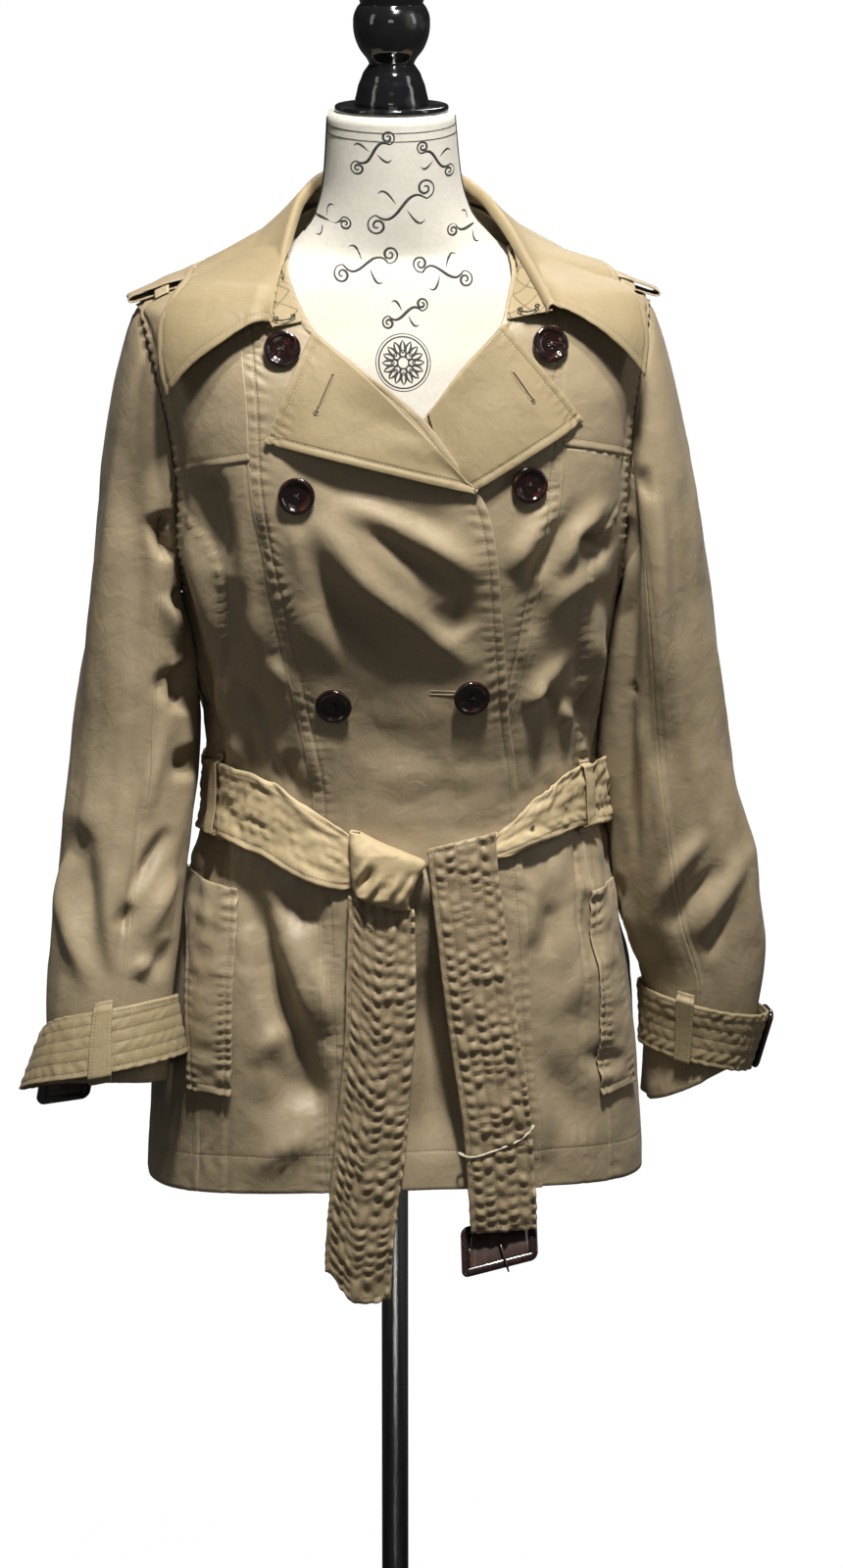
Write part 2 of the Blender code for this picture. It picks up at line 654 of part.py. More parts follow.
def make_sleeves(cloth):
    for side, word, rows in ((-1, "right", RIGHT_SLEEVE), (1, "left", LEFT_SLEEVE)):
        if side < 0:
            end = lambda angle: 0.529 + 0.012 * math.sin(angle)
        else:
            end = lambda angle: 0.503 + 0.022 * math.cos(angle)
        gap = math.radians(0.25)
        front = math.radians(SLEEVE_SPLIT_FRONT)
        back = math.radians(SLEEVE_SPLIT_BACK - 360.0)
        axis = lambda c, r=rows, s=side: Vector((s * read_table(
            SLEEVE_COLUMNS, tuple((-q[0],) + q[1:] for q in r), "out", -c.z), 0.0, c.z - 0.03))

        def upper(u, v, r=rows, s=side, e=end):
            angle = back + gap + (front - back - 2 * gap) * u
            return sleeve_point(r, s, angle, v, e)

        def under(u, v, r=rows, s=side, e=end):
            angle = front + gap + (back + 2 * math.pi - front - 2 * gap) * u
            return sleeve_point(r, s, angle, v, e)

        sheet(f"{word}_upper_sleeve", 9, 13, upper, axis, cloth)
        sheet(f"{word}_under_sleeve", 6, 13, under, axis, cloth)


# ---------------------------------------------------------------- lapels and collar
def front_patch(name, corners, columns, rows, lift, puff, material, wall=TRIM_WALL):
    """A patch lying on the fronts. Corners are (across, height): fold start, fold end, edge start, edge end."""
    f0, f1, e0, e1 = corners

    def place(u, v):
        fold = (f0[0] + (f1[0] - f0[0]) * u, f0[1] + (f1[1] - f0[1]) * u)
        edge = (e0[0] + (e1[0] - e0[0]) * u, e0[1] + (e1[1] - e0[1]) * u)
        across = fold[0] + (edge[0] - fold[0]) * v
        height = fold[1] + (edge[1] - fold[1]) * v
        turn = turn_at(height, across)
        return coat_point(height, turn, lift(height, turn) + puff(u, v))

    return sheet(name, columns, rows, place, lambda c: Vector((0, 0.05, c.z)), material, wall)


def make_lapels(cloth):
    def roll(u, v):
        return 0.0035 * math.sin(math.pi * min(1.0, u * 0.9 + 0.08)) * max(0.0, 1 - 1.6 * v) ** 2

    over = lambda m, t: over_front_lift(m, t) + CLOTH_WALL + LIE_GAP + 0.0004
    front_patch("right_lapel", ((-0.0715, 1.1430), (0.0518, 1.0150), (-0.1083, 1.0520), (0.0508, 1.0130)),
                8, 5, over, roll, cloth)
    under = lambda m, t: CLOTH_WALL + LIE_GAP
    low = lambda u, v: roll(u, v) * (1 - u)
    front_patch("left_lapel", ((0.0760, 1.1480), (0.0160, 1.0740), (0.1363, 1.0640), (0.0350, 1.0060)),
                6, 5, under, low, cloth)


def neck_point(along, lift):
    """Neckline of the coat from the centre back (0) to the front end (1), on one side (positive)."""
    if along <= NECK_SHARE_AT_BACK:
        turn = math.pi - along / NECK_SHARE_AT_BACK * math.pi / 2
        measure = NECK_MEASURE - 0.004
    else:
        t = (along - NECK_SHARE_AT_BACK) / (1 - NECK_SHARE_AT_BACK)
        measure = NECK_MEASURE - 0.004 - (NECK_MEASURE - 0.004 - 1.154) * t
        turn = turn_at(measure, read_table(LINE_COLUMNS, NECKLINE, "across", measure) + 0.004)
    return coat_point(measure, turn, lift)


def collar_line(which, along):
    side = -1 if along < 0 else 1
    get = lambda column: read_table(COLLAR_COLUMNS, COLLAR_LINES, column, abs(along))
    forward = ease(abs(along), 0.4, 1.0)
    return Vector((side * get(which + "_x") + 0.004 * forward, get(which + "_y"),
                   get(which + "_z") + 0.005 * side * forward))


def stand_point(along, share):
    """Collar stand, from the neckline (0) to under the fold (1)."""
    low = neck_point(abs(along), CLOTH_WALL + LIE_GAP + 0.0020)
    if along < 0:
        low.x = -low.x
    high = collar_line("fold", along)
    high.z -= 0.0022
    return kept_clear(low.lerp(high, share), 2 * CLOTH_WALL + LIE_GAP + 0.0008)


def make_collar(cloth):
    def stand(u, v):
        along = 2 * u - 1
        return stand_point(along, v)

    sheet("collar_stand", 22, 2, stand, lambda c: Vector((c.x * 0.4, c.y * 0.4 - 0.02, c.z - 0.03)), cloth)

    def fall(u, v):
        along = 2 * u - 1
        fold = collar_line("fold", along)
        edge = collar_line("edge", along)
        out = Vector((edge.x - fold.x, edge.y - fold.y, 0.0)).normalized()
        up = Vector((0.0, 0.0, 1.0))
        side = ease(abs(along), 0.12, 0.42) * (1 - ease(abs(along), 0.78, 1.0))
        a = fold + out * 0.0012 + up * 0.0006
        b = a + out * (0.012 + 0.011 * side) - up * (0.006 + 0.020 * side)
        c = edge - out * (0.010 + 0.005 * side) + up * (0.016 + 0.002 * side)
        t = v
        point = (1 - t)**3 * a + 3 * (1 - t)**2 * t * b + 3 * (1 - t) * t * t * c + t**3 * edge
        room = 0.0034 + 0.0030 * ease(abs(along), 0.68, 0.86)
        return kept_clear(point, CLOTH_WALL + LIE_GAP + room)

    sheet("collar_fall", 24, 5, fall, lambda c: Vector((c.x * 0.3, c.y * 0.3, c.z - 0.10)), cloth, TRIM_WALL)


def shoulder_top(side, out, y):
    """Height of the shoulder cloth under an epaulette; past the shoulder tip the slope runs straight on."""
    reach = 0.188
    inner = roof(side * min(out, reach), y)
    slope = (inner - roof(side * (min(out, reach) - 0.02), y)) / 0.02
    return inner + slope * max(0.0, out - reach) + CLOTH_WALL * 1.1 + LIE_GAP


def make_epaulettes(cloth):
    count = len(EPAULETTE_PATH)
    for side, word in ((-1, "right"), (1, "left")):
        def place(u, v, s=side):
            step = u * (count - 1)
            i = min(count - 2, int(step + 1e-9))
            f = step - i
            out = EPAULETTE_PATH[i][0] * (1 - f) + EPAULETTE_PATH[i + 1][0] * f
            high = EPAULETTE_PATH[i][1] * (1 - f) + EPAULETTE_PATH[i + 1][1] * f
            half = 0.0200 - 0.004 * ease(out, 0.17, 0.21)
            y = (2 * v - 1) * half + 0.002
            return Vector((s * out, y, shoulder_top(s, out, y) + high))

        def core(c, s=side):
            out = min(abs(c.x), 0.198)
            return Vector((s * out, c.y, shoulder_top(s, out, c.y) + 0.0052))

        sheet(f"{word}_epaulette", count - 1, 3, place, core, cloth, EPAULETTE_WALL)

        def loop(u, v, s=side):
            out = 0.1800 + 0.008 * u
            y = (2 * v - 1) * 0.0240 + 0.002
            edge = ease(abs(y - 0.002), 0.0202, 0.0236)
            return Vector((s * out, y, shoulder_top(s, out, y) + 0.0048 * (1 - edge) + 0.0006 * edge))

        sheet(f"{word}_epaulette_loop", 1, 8, loop, lambda c: Vector((c.x, 0.0, 1.10)), cloth, 0.0012)


# ---------------------------------------------------------------- pockets, belt
WELT_COLUMNS = ("height", "inner", "outer")
WELTS = {
    "right": ((0.5230, 0.1370, 0.1680), (0.6855, 0.1300, 0.1690)),
    "left": ((0.5125, 0.1564, 0.1880), (0.6765, 0.1479, 0.1715)),
}


def make_welts(cloth):
    for side, word in ((-1, "right"), (1, "left")):
        rows = WELTS[word]

        def place(u, v, s=side, r=rows):
            m = r[0][0] + (r[1][0] - r[0][0]) * v
            inner = turn_at(m, s * read_table(WELT_COLUMNS, r, "inner", m))
            outer = turn_at(m, s * read_table(WELT_COLUMNS, r, "outer", m))
            turn = inner + (outer - inner) * u
            lift = over_front_lift(m, turn) if s < 0 else 0.0
            stand_off = 0.0016 if s < 0 else 0.0003
            return coat_point(m, turn, lift + CLOTH_WALL + LIE_GAP + stand_off)

        sheet(f"{word}_pocket_welt", 4, 6, place, lambda c: Vector((0, 0, c.z)), cloth)


def belt_centre(turn_deg):
    return (read_table(BELT_COLUMNS, BELT_RUN, "height", turn_deg),
            read_table(BELT_COLUMNS, BELT_RUN, "half_width", turn_deg))


def make_belt(belt, dark, pale):
    first, last = BELT_RUN[0][0], BELT_RUN[-1][0]

    def band(u, v):
        deg = last + (first - last) * u
        centre, half = belt_centre(deg)
        measure = centre + (2 * v - 1) * half
        turn = math.radians(deg)
        over = ease(deg, -330.0, -306.0)
        extra = (1 - over) * (OVERLAP_LIFT + 0.0006)
        slack = BELT_SLACK * math.exp(-((deg + BELT_SLACK_TURN) / 18.0) ** 2)
        return coat_point(measure, turn, CLOTH_WALL + LIE_GAP + 0.0008 + slack
                          + max(extra, over_front_lift(measure, turn) if deg > -90 else 0.0))

    sheet("belt_band", 48, 2, band, lambda c: Vector((0, 0, c.z)), belt, BELT_WALL)

    for word, deg in (("right", -68.0), ("left", -360.0 + 60.0)):
        centre, half = belt_centre(deg)

        def loop(u, v, d=deg, c=centre, h=half):
            measure = c + (2 * v - 1) * (h + 0.0050)
            turn = math.radians(d) + (u - 0.5) * BELT_LOOP_WIDTH / 0.15
            off = 1 - ease(abs(2 * v - 1) * (h + 0.0050), h + 0.0006, h + 0.0030)
            base = over_front_lift(measure, turn) if d > -90 else 0.0
            base += off * BELT_SLACK * math.exp(-((d + BELT_SLACK_TURN) / 18.0) ** 2)
            return coat_point(measure, turn, base + CLOTH_WALL + LIE_GAP
                              + off * (BELT_WALL + 0.0018 + LIE_GAP) + 0.0006)

        sheet(f"{word}_belt_loop", 1, 12, loop, lambda c: Vector((0, 0, c.z)), belt)

    # the knot: one wrap of the belt, as rounded sections from its lower to its upper edge
    rows = (  # height, middle, half width
        (0.6800, -0.0050, 0.0070), (0.6850, -0.0135, 0.0145), (0.6916, -0.0195, 0.0220),
        (0.7050, -0.0180, 0.0262), (0.7165, -0.0152, 0.0295), (0.7240, -0.0222, 0.0225),
        (0.7320, -0.0326, 0.0130), (0.7400, -0.0403, 0.0045),
    )

    def knot_ring(share):
        height, middle, half = rows[int(round(share * (len(rows) - 1)))]
        deep = 0.0045 + 0.0050 * min(1.0, half / 0.022)

        def at(angle):
            x = middle + half * power(math.cos(angle), 0.62)
            surface = coat_point(height, turn_at(height, x), over_front_lift(height, 0.0) + CLOTH_WALL)
            y = surface.y - 0.0012 - deep * (1 + power(math.sin(angle), 0.7))
            return Vector((x, y, height))

        return at

    lofted("belt_knot", knot_ring, len(rows) - 1, 16, belt)

    def tail(table, low, high):
        flipped = tuple((-r[0],) + r[1:] for r in table)

        def place(u, v):
            height = low(u) + (high(u) - low(u)) * v
            across = read_table(TAIL_COLUMNS, flipped, "across", -height)
            half = read_table(TAIL_COLUMNS, flipped, "half_width", -height)
            x = across + (2 * u - 1) * half
            m = max(height, 0.460)
            lift = TAIL_LIFT - 0.0025 * ease(height, 0.69, 0.72)
            point = coat_point(m, turn_at(m, x), over_front_lift(m, 0.0) + CLOTH_WALL + lift)
            return Vector((point.x, point.y, height))

        return place

    def plain_low(u):
        return 0.3854 - 0.0262 * ease(u, 0.0, 0.48) + 0.003 * ease(u, 0.6, 1.0)

    def plain_high(u):
        return 0.6895 - 0.0105 * min(1.0, u / 0.66)

    plain = tail(PLAIN_TAIL, plain_low, plain_high)
    sheet("belt_tail_plain", 4, 12, plain, lambda c: Vector((c.x, 0, c.z)), belt, BELT_WALL)
    hanging = tail(BUCKLE_TAIL, lambda u: 0.4148, lambda u: BUCKLE_TAIL[0][0])
    sheet("belt_tail_buckle", 3, 12, hanging, lambda c: Vector((c.x, 0, c.z)), belt, BELT_WALL)

    # buckle hanging behind the end of the belt, with its prong, and the loop that keeps the belt end
    hang = hanging(0.5, 0.0)
    centre = Vector((0.0728, hang.y + 0.0013 + BUCKLE_THICKNESS / 2, 0.4027))
    facing = coat_normal(0.460, turn_at(0.460, centre.x))
    place = (Matrix.Translation(centre) @ Matrix.Rotation(math.atan2(facing.x, -facing.y), 4, "Z")
             @ Matrix.Rotation(math.radians(-12.0), 4, "Y")
             @ Matrix.Rotation(math.radians(90.0), 4, "X"))
    frame_outline("belt_buckle", BELT_BUCKLE_LONG, BELT_BUCKLE_HIGH, BUCKLE_BAR, BUCKLE_THICKNESS, dark, place)
    front_of = place @ Matrix.Translation((0.0, 0.0, BUCKLE_THICKNESS / 2 + PRONG_RADIUS + LIE_GAP))
    reach = [front_of @ Vector((0.0, y, 0.0)) for y in (0.0, -0.008, -0.016, -0.0185)]
    wire("buckle_prong", reach, PRONG_RADIUS, dark)

    def keeper(u, v):
        angle = 2 * math.pi * u
        m = 0.4865
        flipped = tuple((-r[0],) + r[1:] for r in BUCKLE_TAIL)
        across = read_table(TAIL_COLUMNS, flipped, "across", -m)
        x = across + 0.0300 * power(math.cos(angle), 0.35)
        surface = coat_point(m, turn_at(m, across), over_front_lift(m, 0.0) + CLOTH_WALL + TAIL_LIFT)
        bend = coat_point(m, turn_at(m, x), over_front_lift(m, 0.0) + CLOTH_WALL + TAIL_LIFT).y - surface.y
        y = surface.y - BELT_WALL / 2 - 0.0030 * power(math.sin(angle), 0.6) + bend
        height = m + (x - across) * 0.36 + (v - 0.5) * KEEPER_HEIGHT
        return Vector((x, y, height))

    core = keeper(0.0, 0.5).lerp(keeper(0.5, 0.5), 0.5)
    sheet("belt_keeper", 20, 1, keeper, lambda c: Vector((core.x, core.y, c.z)), pale, 0.0010, ring=True)


# ---------------------------------------------------------------- cuffs
# heights of a cuff strap on the outer and inner side of the arm, and how far its edges stand off the sleeve
CUFF_COLUMNS = ("share", "outer", "inner", "flare_out", "flare_in", "front_up", "back_down")
RIGHT_CUFF = (
    (0.0, 0.5310, 0.5520, 0.0200, 0.0100, 0.013, 0.012), (1.0, 0.5780, 0.5970, 0.0000, 0.0000, 0.013, 0.012),
)
LEFT_CUFF = (
    (0.0, 0.5050, 0.5280, 0.0000, 0.0000, 0.003, 0.000), (1.0, 0.5520, 0.5780, 0.0050, 0.0000, 0.003, 0.000),
)


def cuff_point(side, angle, share, off):
    """Point round a cuff strap; off is the distance over the outer face of the sleeve."""
    rows, sleeve = (RIGHT_CUFF, RIGHT_SLEEVE) if side < 0 else (LEFT_CUFF, LEFT_SLEEVE)
    get = lambda column: read_table(CUFF_COLUMNS, rows, column, share)
    k = (1 + math.cos(angle)) / 2
    height = get("outer") * k + get("inner") * (1 - k) + get("front_up") * math.sin(angle)
    height -= get("back_down") * max(0.0, math.cos(angle + math.radians(40.0))) ** 2
    height += (share - min(1.0, max(0.0, share))) * 0.046
    flare = get("flare_out") * k + get("flare_in") * (1 - k)
    return sleeve_section(sleeve, side, height, angle, CLOTH_WALL + off + flare)


# turn of a cuff's buckle and of its loop round the arm, the buckle's place up the strap, and its stand-off
CUFF_FITTINGS = (
    (-1, "right", -62.0, 82.0, -0.14, 0.0032),
    (1, "left", -6.0, 112.0, 0.50, 0.0015),
)


def make_cuffs(belt, dark):
    for side, word, turn, loop_turn, seat, clear in CUFF_FITTINGS:
        sleeve = RIGHT_SLEEVE if side < 0 else LEFT_SLEEVE
        axis = lambda c, s=side, r=sleeve: Vector((s * r[-2][1], -r[-2][2], c.z))

        def strap(u, v, s=side):
            point = cuff_point(s, 2 * math.pi * u, v, LIE_GAP + 0.0012)
            return kept_clear(point, CLOTH_WALL + 2 * TRIM_WALL + 2 * LIE_GAP)

        sheet(f"{word}_cuff_strap", 26, 2, strap, axis, belt, TRIM_WALL, ring=True)

        def loop(u, v, s=side, t=loop_turn):
            share = -0.16 + 1.32 * v
            angle = math.radians(t + (u - 0.5) * 9.0)
            over = 1 - ease(abs(share - 0.5), 0.53, 0.62)
            return cuff_point(s, angle, share, LIE_GAP + over * (TRIM_WALL + 6 * LIE_GAP))

        sheet(f"{word}_cuff_loop", 1, 10, loop, axis, belt)

        angle = math.radians(turn)
        off = LIE_GAP + TRIM_WALL
        middle = cuff_point(side, angle, seat, off)
        up = (cuff_point(side, angle, 0.9, off) - cuff_point(side, angle, 0.1, off)).normalized()
        round_way = cuff_point(side, angle + 0.1, 0.5, off) - cuff_point(side, angle - 0.1, 0.5, off)
        normal = round_way.cross(up).normalized()
        if normal.dot(middle - axis(middle)) < 0:
            normal = -normal
        centre = middle + normal * (BUCKLE_THICKNESS / 2 + clear)
        place = stand_on(centre, normal, up)
        if side > 0:
            place = place @ Matrix.Rotation(math.radians(90.0), 4, "Z")
        frame_outline(f"{word}_cuff_buckle", CUFF_BUCKLE_LONG, CUFF_BUCKLE_HIGH, CUFF_BUCKLE_BAR,
                      BUCKLE_THICKNESS, dark, place)


# ---------------------------------------------------------------- buttons, hooks
BUTTON_COLUMNS = ("name", "across", "height", "off the cloth")
BUTTONS = (
    ("button_collar_right", -0.0945, 1.1273, 0.0024),
    ("button_collar_left", 0.1119, 1.1284, 0.0007),
    ("button_chest_right", -0.0853, 1.0126, 0.0007),
    ("button_chest_left", 0.0937, 1.0177, 0.0007),
    ("button_waist_right", -0.0569, 0.8426, 0.0006),
    ("button_waist_left", 0.0500, 0.8491, 0.0002),
)


def make_buttons(shell):
    r = BUTTON_DIAMETER / 2
    t = BUTTON_THICKNESS
    profile = ((0.0, t * 0.62), (r * 0.62, t * 0.62), (r * 0.82, t), (r * 0.96, t * 0.85), (r, t * 0.4),
               (r * 0.90, 0.0), (0.0, 0.0))
    for name, across, height, off in BUTTONS:
        turn = turn_at(height, across)
        on_top = across < read_table(LINE_COLUMNS, OVER_FRONT_EDGE, "across", height)
        lift = over_front_lift(height, turn) if on_top else 0.0
        seat = coat_point(height, turn, lift + CLOTH_WALL + off)
        turned(name, profile, 14, shell, stand_on(seat, coat_normal(height, turn)))


def make_hooks(metal):
    for side, word in ((-1, "collar_eye"), (1, "collar_hook")):
        low = stand_point(side * 0.90, 0.0)
        next_low = stand_point(side * 0.97, 0.0)
        fold = stand_point(side * 0.93, 0.9)
        along = (next_low - low).normalized()
        up = (fold - low).normalized()
        normal = along.cross(up).normalized()
        if normal.y > 0:
            normal = -normal
        mid = stand_point(side * 0.93, 0.5) + normal * (HOOK_RADIUS + LIE_GAP + 0.0003)
        points = [mid + along * a + up * b for a, b in (
            (-0.009, 0.0016), (-0.006, -0.0008), (0.0, -0.0012), (0.006, -0.0008), (0.009, 0.0016))]
        wire(word, points, HOOK_RADIUS, metal)


# ---------------------------------------------------------------- dress form and stand
def make_form(linen, black, steel):
    first, last = FORM_RINGS[0][0], FORM_RINGS[-1][0]

    def ring(share):
        measure = first + (last - first) * share
        return lambda angle: ring_point(FORM_RINGS, measure, angle)

    lofted("form_body", ring, 27, 24, linen)

    top = NECK_TOP + 0.0003
    at = Matrix.Translation((NECK_SHIFT, 0.0, 0.0))
    cap = ((0.0, CAP_THICKNESS), (CAP_RADIUS - 0.001, CAP_THICKNESS), (CAP_RADIUS, CAP_THICKNESS - 0.001),
           (CAP_RADIUS, 0.0), (0.0, 0.0))
    turned("form_neck_cap", tuple((r, top + h) for r, h in cap), 28, black, at)
    z = top + CAP_THICKNESS + 0.0003
    profile = (  # radius, height over the cap
        (0.0, 0.1010), (0.0110, 0.1000), (0.0205, 0.0955), (0.0258, 0.0895), (0.0266, 0.0850),
        (0.0248, 0.0795), (0.0272, 0.0755), (0.0298, 0.0690), (0.0302, 0.0610),
        (0.0288, 0.0520), (0.0250, 0.0430), (0.0198, 0.0360), (0.0178, 0.0320), (0.0222, 0.0250),
        (0.0240, 0.0205), (0.0262, 0.0150), (0.0278, 0.0080), (0.0290, 0.0030), (0.0290, 0.0), (0.0, 0.0),
    )
    turned("form_finial", tuple((r, z + h) for r, h in profile), 22, black, at)

    pole_top = FORM_BOTTOM - 0.0003
    turned("form_pole", ((0.0, pole_top), (0.0300, pole_top), (0.0300, pole_top - 0.006),
                         (POLE_RADIUS, pole_top - 0.008), (POLE_RADIUS, BASE_HEIGHT + 0.0003),
                         (0.0, BASE_HEIGHT + 0.0003)), 16, steel)
    turned("form_base", ((0.0, BASE_HEIGHT), (0.0240, BASE_HEIGHT), (0.0300, BASE_HEIGHT - 0.006),
                         (0.0900, BASE_HEIGHT - 0.011), (BASE_RADIUS - 0.010, BASE_HEIGHT - 0.016),
                         (BASE_RADIUS, BASE_HEIGHT - 0.020), (BASE_RADIUS, 0.0), (0.0, 0.0)), 32, black)


def main():
    global PARTS, ROOT
    clear_scene()
    PARTS = bpy.data.collections.new("belted_coat_on_dress_form")
    bpy.context.scene.collection.children.link(PARTS)
    ROOT = bpy.data.objects.new("coat_and_form", None)
    PARTS.objects.link(ROOT)
    cloth = finish_named("khaki_cloth", KHAKI, 0.55)
    belt = finish_named("belt_cloth", LIGHT_KHAKI, 0.60)
    dark = finish_named("dark_buckle", TORTOISE, 0.30)
    shell = finish_named("tortoise_button", TORTOISE, 0.20)
    linen = finish_named("form_linen", LINEN, 0.85)
    black = finish_named("black_gloss", BLACK, 0.15)
    steel = finish_named("stand_steel", STEEL, 0.35, 1.0)
    make_form(linen, black, steel)
    make_backs(cloth)
    make_fronts(cloth)
    make_sleeves(cloth)
    make_lapels(cloth)
    make_collar(cloth)
    make_epaulettes(cloth)
    make_welts(cloth)
    make_belt(belt, dark, linen)
    make_cuffs(belt, dark)
    make_buttons(shell)
    make_hooks(black)


main()
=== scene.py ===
"""Looks of a short belted double-breasted coat that stands on a limbless dress form.

The coat is built as a maker sews it: every panel, sleeve, collar piece and strap is its own thin shell of twill,
laid on one shared garment surface and creased along listed paths. Sub-assemblies are classes that hold their own
sizes;
finishes are small frozen classes; the weave, the rows of stitches and the wear are shader node groups.

Metres, +Z up. The front of the coat faces -Y and the wearer's right is -X.
"""
from __future__ import annotations

import logging
import math
from dataclasses import dataclass, replace
from enum import Enum
from itertools import product
from typing import Callable, Sequence

import bpy
import numpy as np
from mathutils import Matrix, Vector
from mathutils.bvhtree import BVHTree

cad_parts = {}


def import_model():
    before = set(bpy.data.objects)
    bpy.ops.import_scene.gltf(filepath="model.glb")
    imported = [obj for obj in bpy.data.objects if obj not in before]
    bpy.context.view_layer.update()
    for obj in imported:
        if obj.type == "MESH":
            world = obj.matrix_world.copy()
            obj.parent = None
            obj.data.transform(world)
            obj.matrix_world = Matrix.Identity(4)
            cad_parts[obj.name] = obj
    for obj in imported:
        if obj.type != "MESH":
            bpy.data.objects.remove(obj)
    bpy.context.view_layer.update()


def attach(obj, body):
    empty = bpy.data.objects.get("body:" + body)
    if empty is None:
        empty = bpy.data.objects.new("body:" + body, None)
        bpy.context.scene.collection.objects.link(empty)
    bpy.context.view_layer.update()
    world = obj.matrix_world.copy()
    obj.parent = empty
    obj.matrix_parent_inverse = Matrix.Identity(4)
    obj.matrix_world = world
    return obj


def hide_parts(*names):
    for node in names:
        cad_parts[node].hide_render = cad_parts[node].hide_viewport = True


LOG = logging.getLogger("coat")
Array = np.ndarray
Line = Callable[[Array], Array]
Solid = tuple[Array, list[list[int]]]
Colour = tuple[float, float, float]
BODY = "root"
MM = 0.001
UP = np.array((0.0, 0.0, 1.0))
UPRIGHT = (0, 0, 1)  # keeps only a point's height
ARMPIT, SHOULDER, NECK = 0.915, 1.152, 1.280  # measures up the coat's side and over its shoulder


# ---------------------------------------------------------------- numbers
class Table:
    """A short table with named columns, read smoothly along its first column."""

    def __init__(self, columns: str, *rows: Sequence[float]) -> None:
        """Keeps the rows in rising order of the first column.

        Args:
            columns: The columns' names, with spaces between them.
            rows: One row of numbers for each section.
        """
        self.columns = {name: k for k, name in enumerate(columns.split())}
        self.data = np.array(sorted(rows), float)

    def read(self, column: str, at: Array | float) -> Array:
        """Smooth values of a column, without overshoot.

        Args:
            column: The column's name.
            at: Places along the first column.

        Returns:
            The values at those places.
        """
        xs, ys = self.data[:, 0], self.data[:, self.columns[column]]
        steps = np.diff(xs)
        slopes = np.diff(ys) / steps
        before, after = slopes[:-1], slopes[1:]
        both = np.where(np.abs(before + after) < 1e-12, 1.0, before + after)
        inside = np.where(before * after <= 0, 0.0, 2 * before * after / both)
        tangents = np.concatenate([slopes[:1], inside, slopes[-1:]])
        at = np.clip(np.asarray(at, float), xs[0], xs[-1])
        i = np.clip(np.searchsorted(xs, at, side="right") - 1, 0, len(xs) - 2)
        return hermite((at - xs[i]) / steps[i], ys[i], tangents[i] * steps[i], ys[i + 1], tangents[i + 1] * steps[i])

    def row(self, at: Array | float) -> list[Array]:
        """Smooth values of every column but the first."""
        return [self.read(column, at) for column in list(self.columns)[1:]]


def hermite(t: Array, start: Array, leave: Array, end: Array, arrive: Array) -> Array:
    """A smooth run from a start to an end.

    Args:
        t: Shares of the way, from 0 to 1.
        start: Where it starts.
        leave: How fast it leaves.
        end: Where it ends.
        arrive: How fast it arrives.

    Returns:
        The places at those shares.
    """
    return ((2 * t**3 - 3 * t**2 + 1) * start + (t**3 - 2 * t**2 + t) * leave
            + (3 * t**2 - 2 * t**3) * end + (t**3 - t**2) * arrive)


def ease(x: Array | float, low: float, high: float) -> Array:
    """Smooth step from 0 at low to 1 at high."""
    t = np.clip((np.asarray(x, float) - low) / (high - low), 0.0, 1.0)
    return t * t * (3 - 2 * t)


def bump(x: Array, at: Array | float, width: float) -> Array:
    """A soft bump of height one at a place."""
    return np.exp(-(((x - at) / width) ** 2))


def beads(beat: Array) -> Array:
    """Even swells from 0 to 1, one for each beat."""
    return 0.5 + 0.5 * np.cos(2 * np.pi * beat)


def power(value: Array, exponent: Array | float) -> Array:
    """Power of a value that keeps its sign."""
    return np.sign(value) * np.abs(value) ** exponent


def unit(vectors: Array) -> Array:
    """Vectors of length one."""
    return vectors / np.maximum(np.linalg.norm(vectors, axis=-1, keepdims=True), 1e-12)


def noise(places: Array, seed: int) -> Array:
    """Even smooth noise from -1 to 1.

    Args:
        places: Points of any number of dimensions, in cells of the noise.
        seed: Chooses one pattern.

    Returns:
        One value for each point.
    """
    cell = np.floor(places).astype(np.int64)
    part = places - cell
    part = part * part * (3 - 2 * part)
    total = np.zeros(places.shape[:-1])
    for corner in product((0, 1), repeat=places.shape[-1]):
        mixed = np.full(places.shape[:-1], seed * 2654435761 % 2147483647, np.int64)
        weight = np.ones(places.shape[:-1])
        for k, (step, prime) in enumerate(zip(corner, (73856093, 19349663, 83492791))):
            mixed ^= (cell[..., k] + step) * prime
            weight = weight * (part[..., k] if step else 1 - part[..., k])
        mixed = ((mixed ^ (mixed >> 13)) * 1274126177) & 0x7FFFFFFF
        mixed ^= mixed >> 16
        total += weight * ((mixed & 0xFFFF) / 32767.5 - 1.0)
    return total


def stacked(*parts: Array | float) -> Array:
    """Values side by side as points."""
    return np.stack(np.broadcast_arrays(*parts), axis=-1).astype(float)


def around(count: int) -> Array:
    """Angles evenly round a full turn."""
    return np.linspace(0, 2 * np.pi, count, endpoint=False)


def edge_spaced(count: int, closer: float) -> Array:
    """Places from 0 to 1, closer together at both ends."""
    t = np.linspace(0.0, 1.0, count)
    return t - closer * np.sin(2 * np.pi * t) / (2 * np.pi)


def grid_normals(points: Array) -> Array:
    """Unit normals of a grid of points, as columns crossed with rows."""
    return unit(np.cross(np.gradient(points, axis=1), np.gradient(points, axis=0)))


def outward(points: Array, core: Array | float) -> Array:
    """Unit normals of a grid of points that look away from its core."""
    normals = grid_normals(points)
    return -normals if np.einsum("ijk,ijk->", normals, points - core) < 0 else normals


def lengths(points: Array, axis: int) -> Array:
    """Distance along a grid from its first row or column, for every point."""
    total = np.cumsum(np.linalg.norm(np.diff(points, axis=axis), axis=-1), axis=axis)
    return np.concatenate([np.zeros_like(np.take(total, [0], axis=axis)), total], axis=axis)


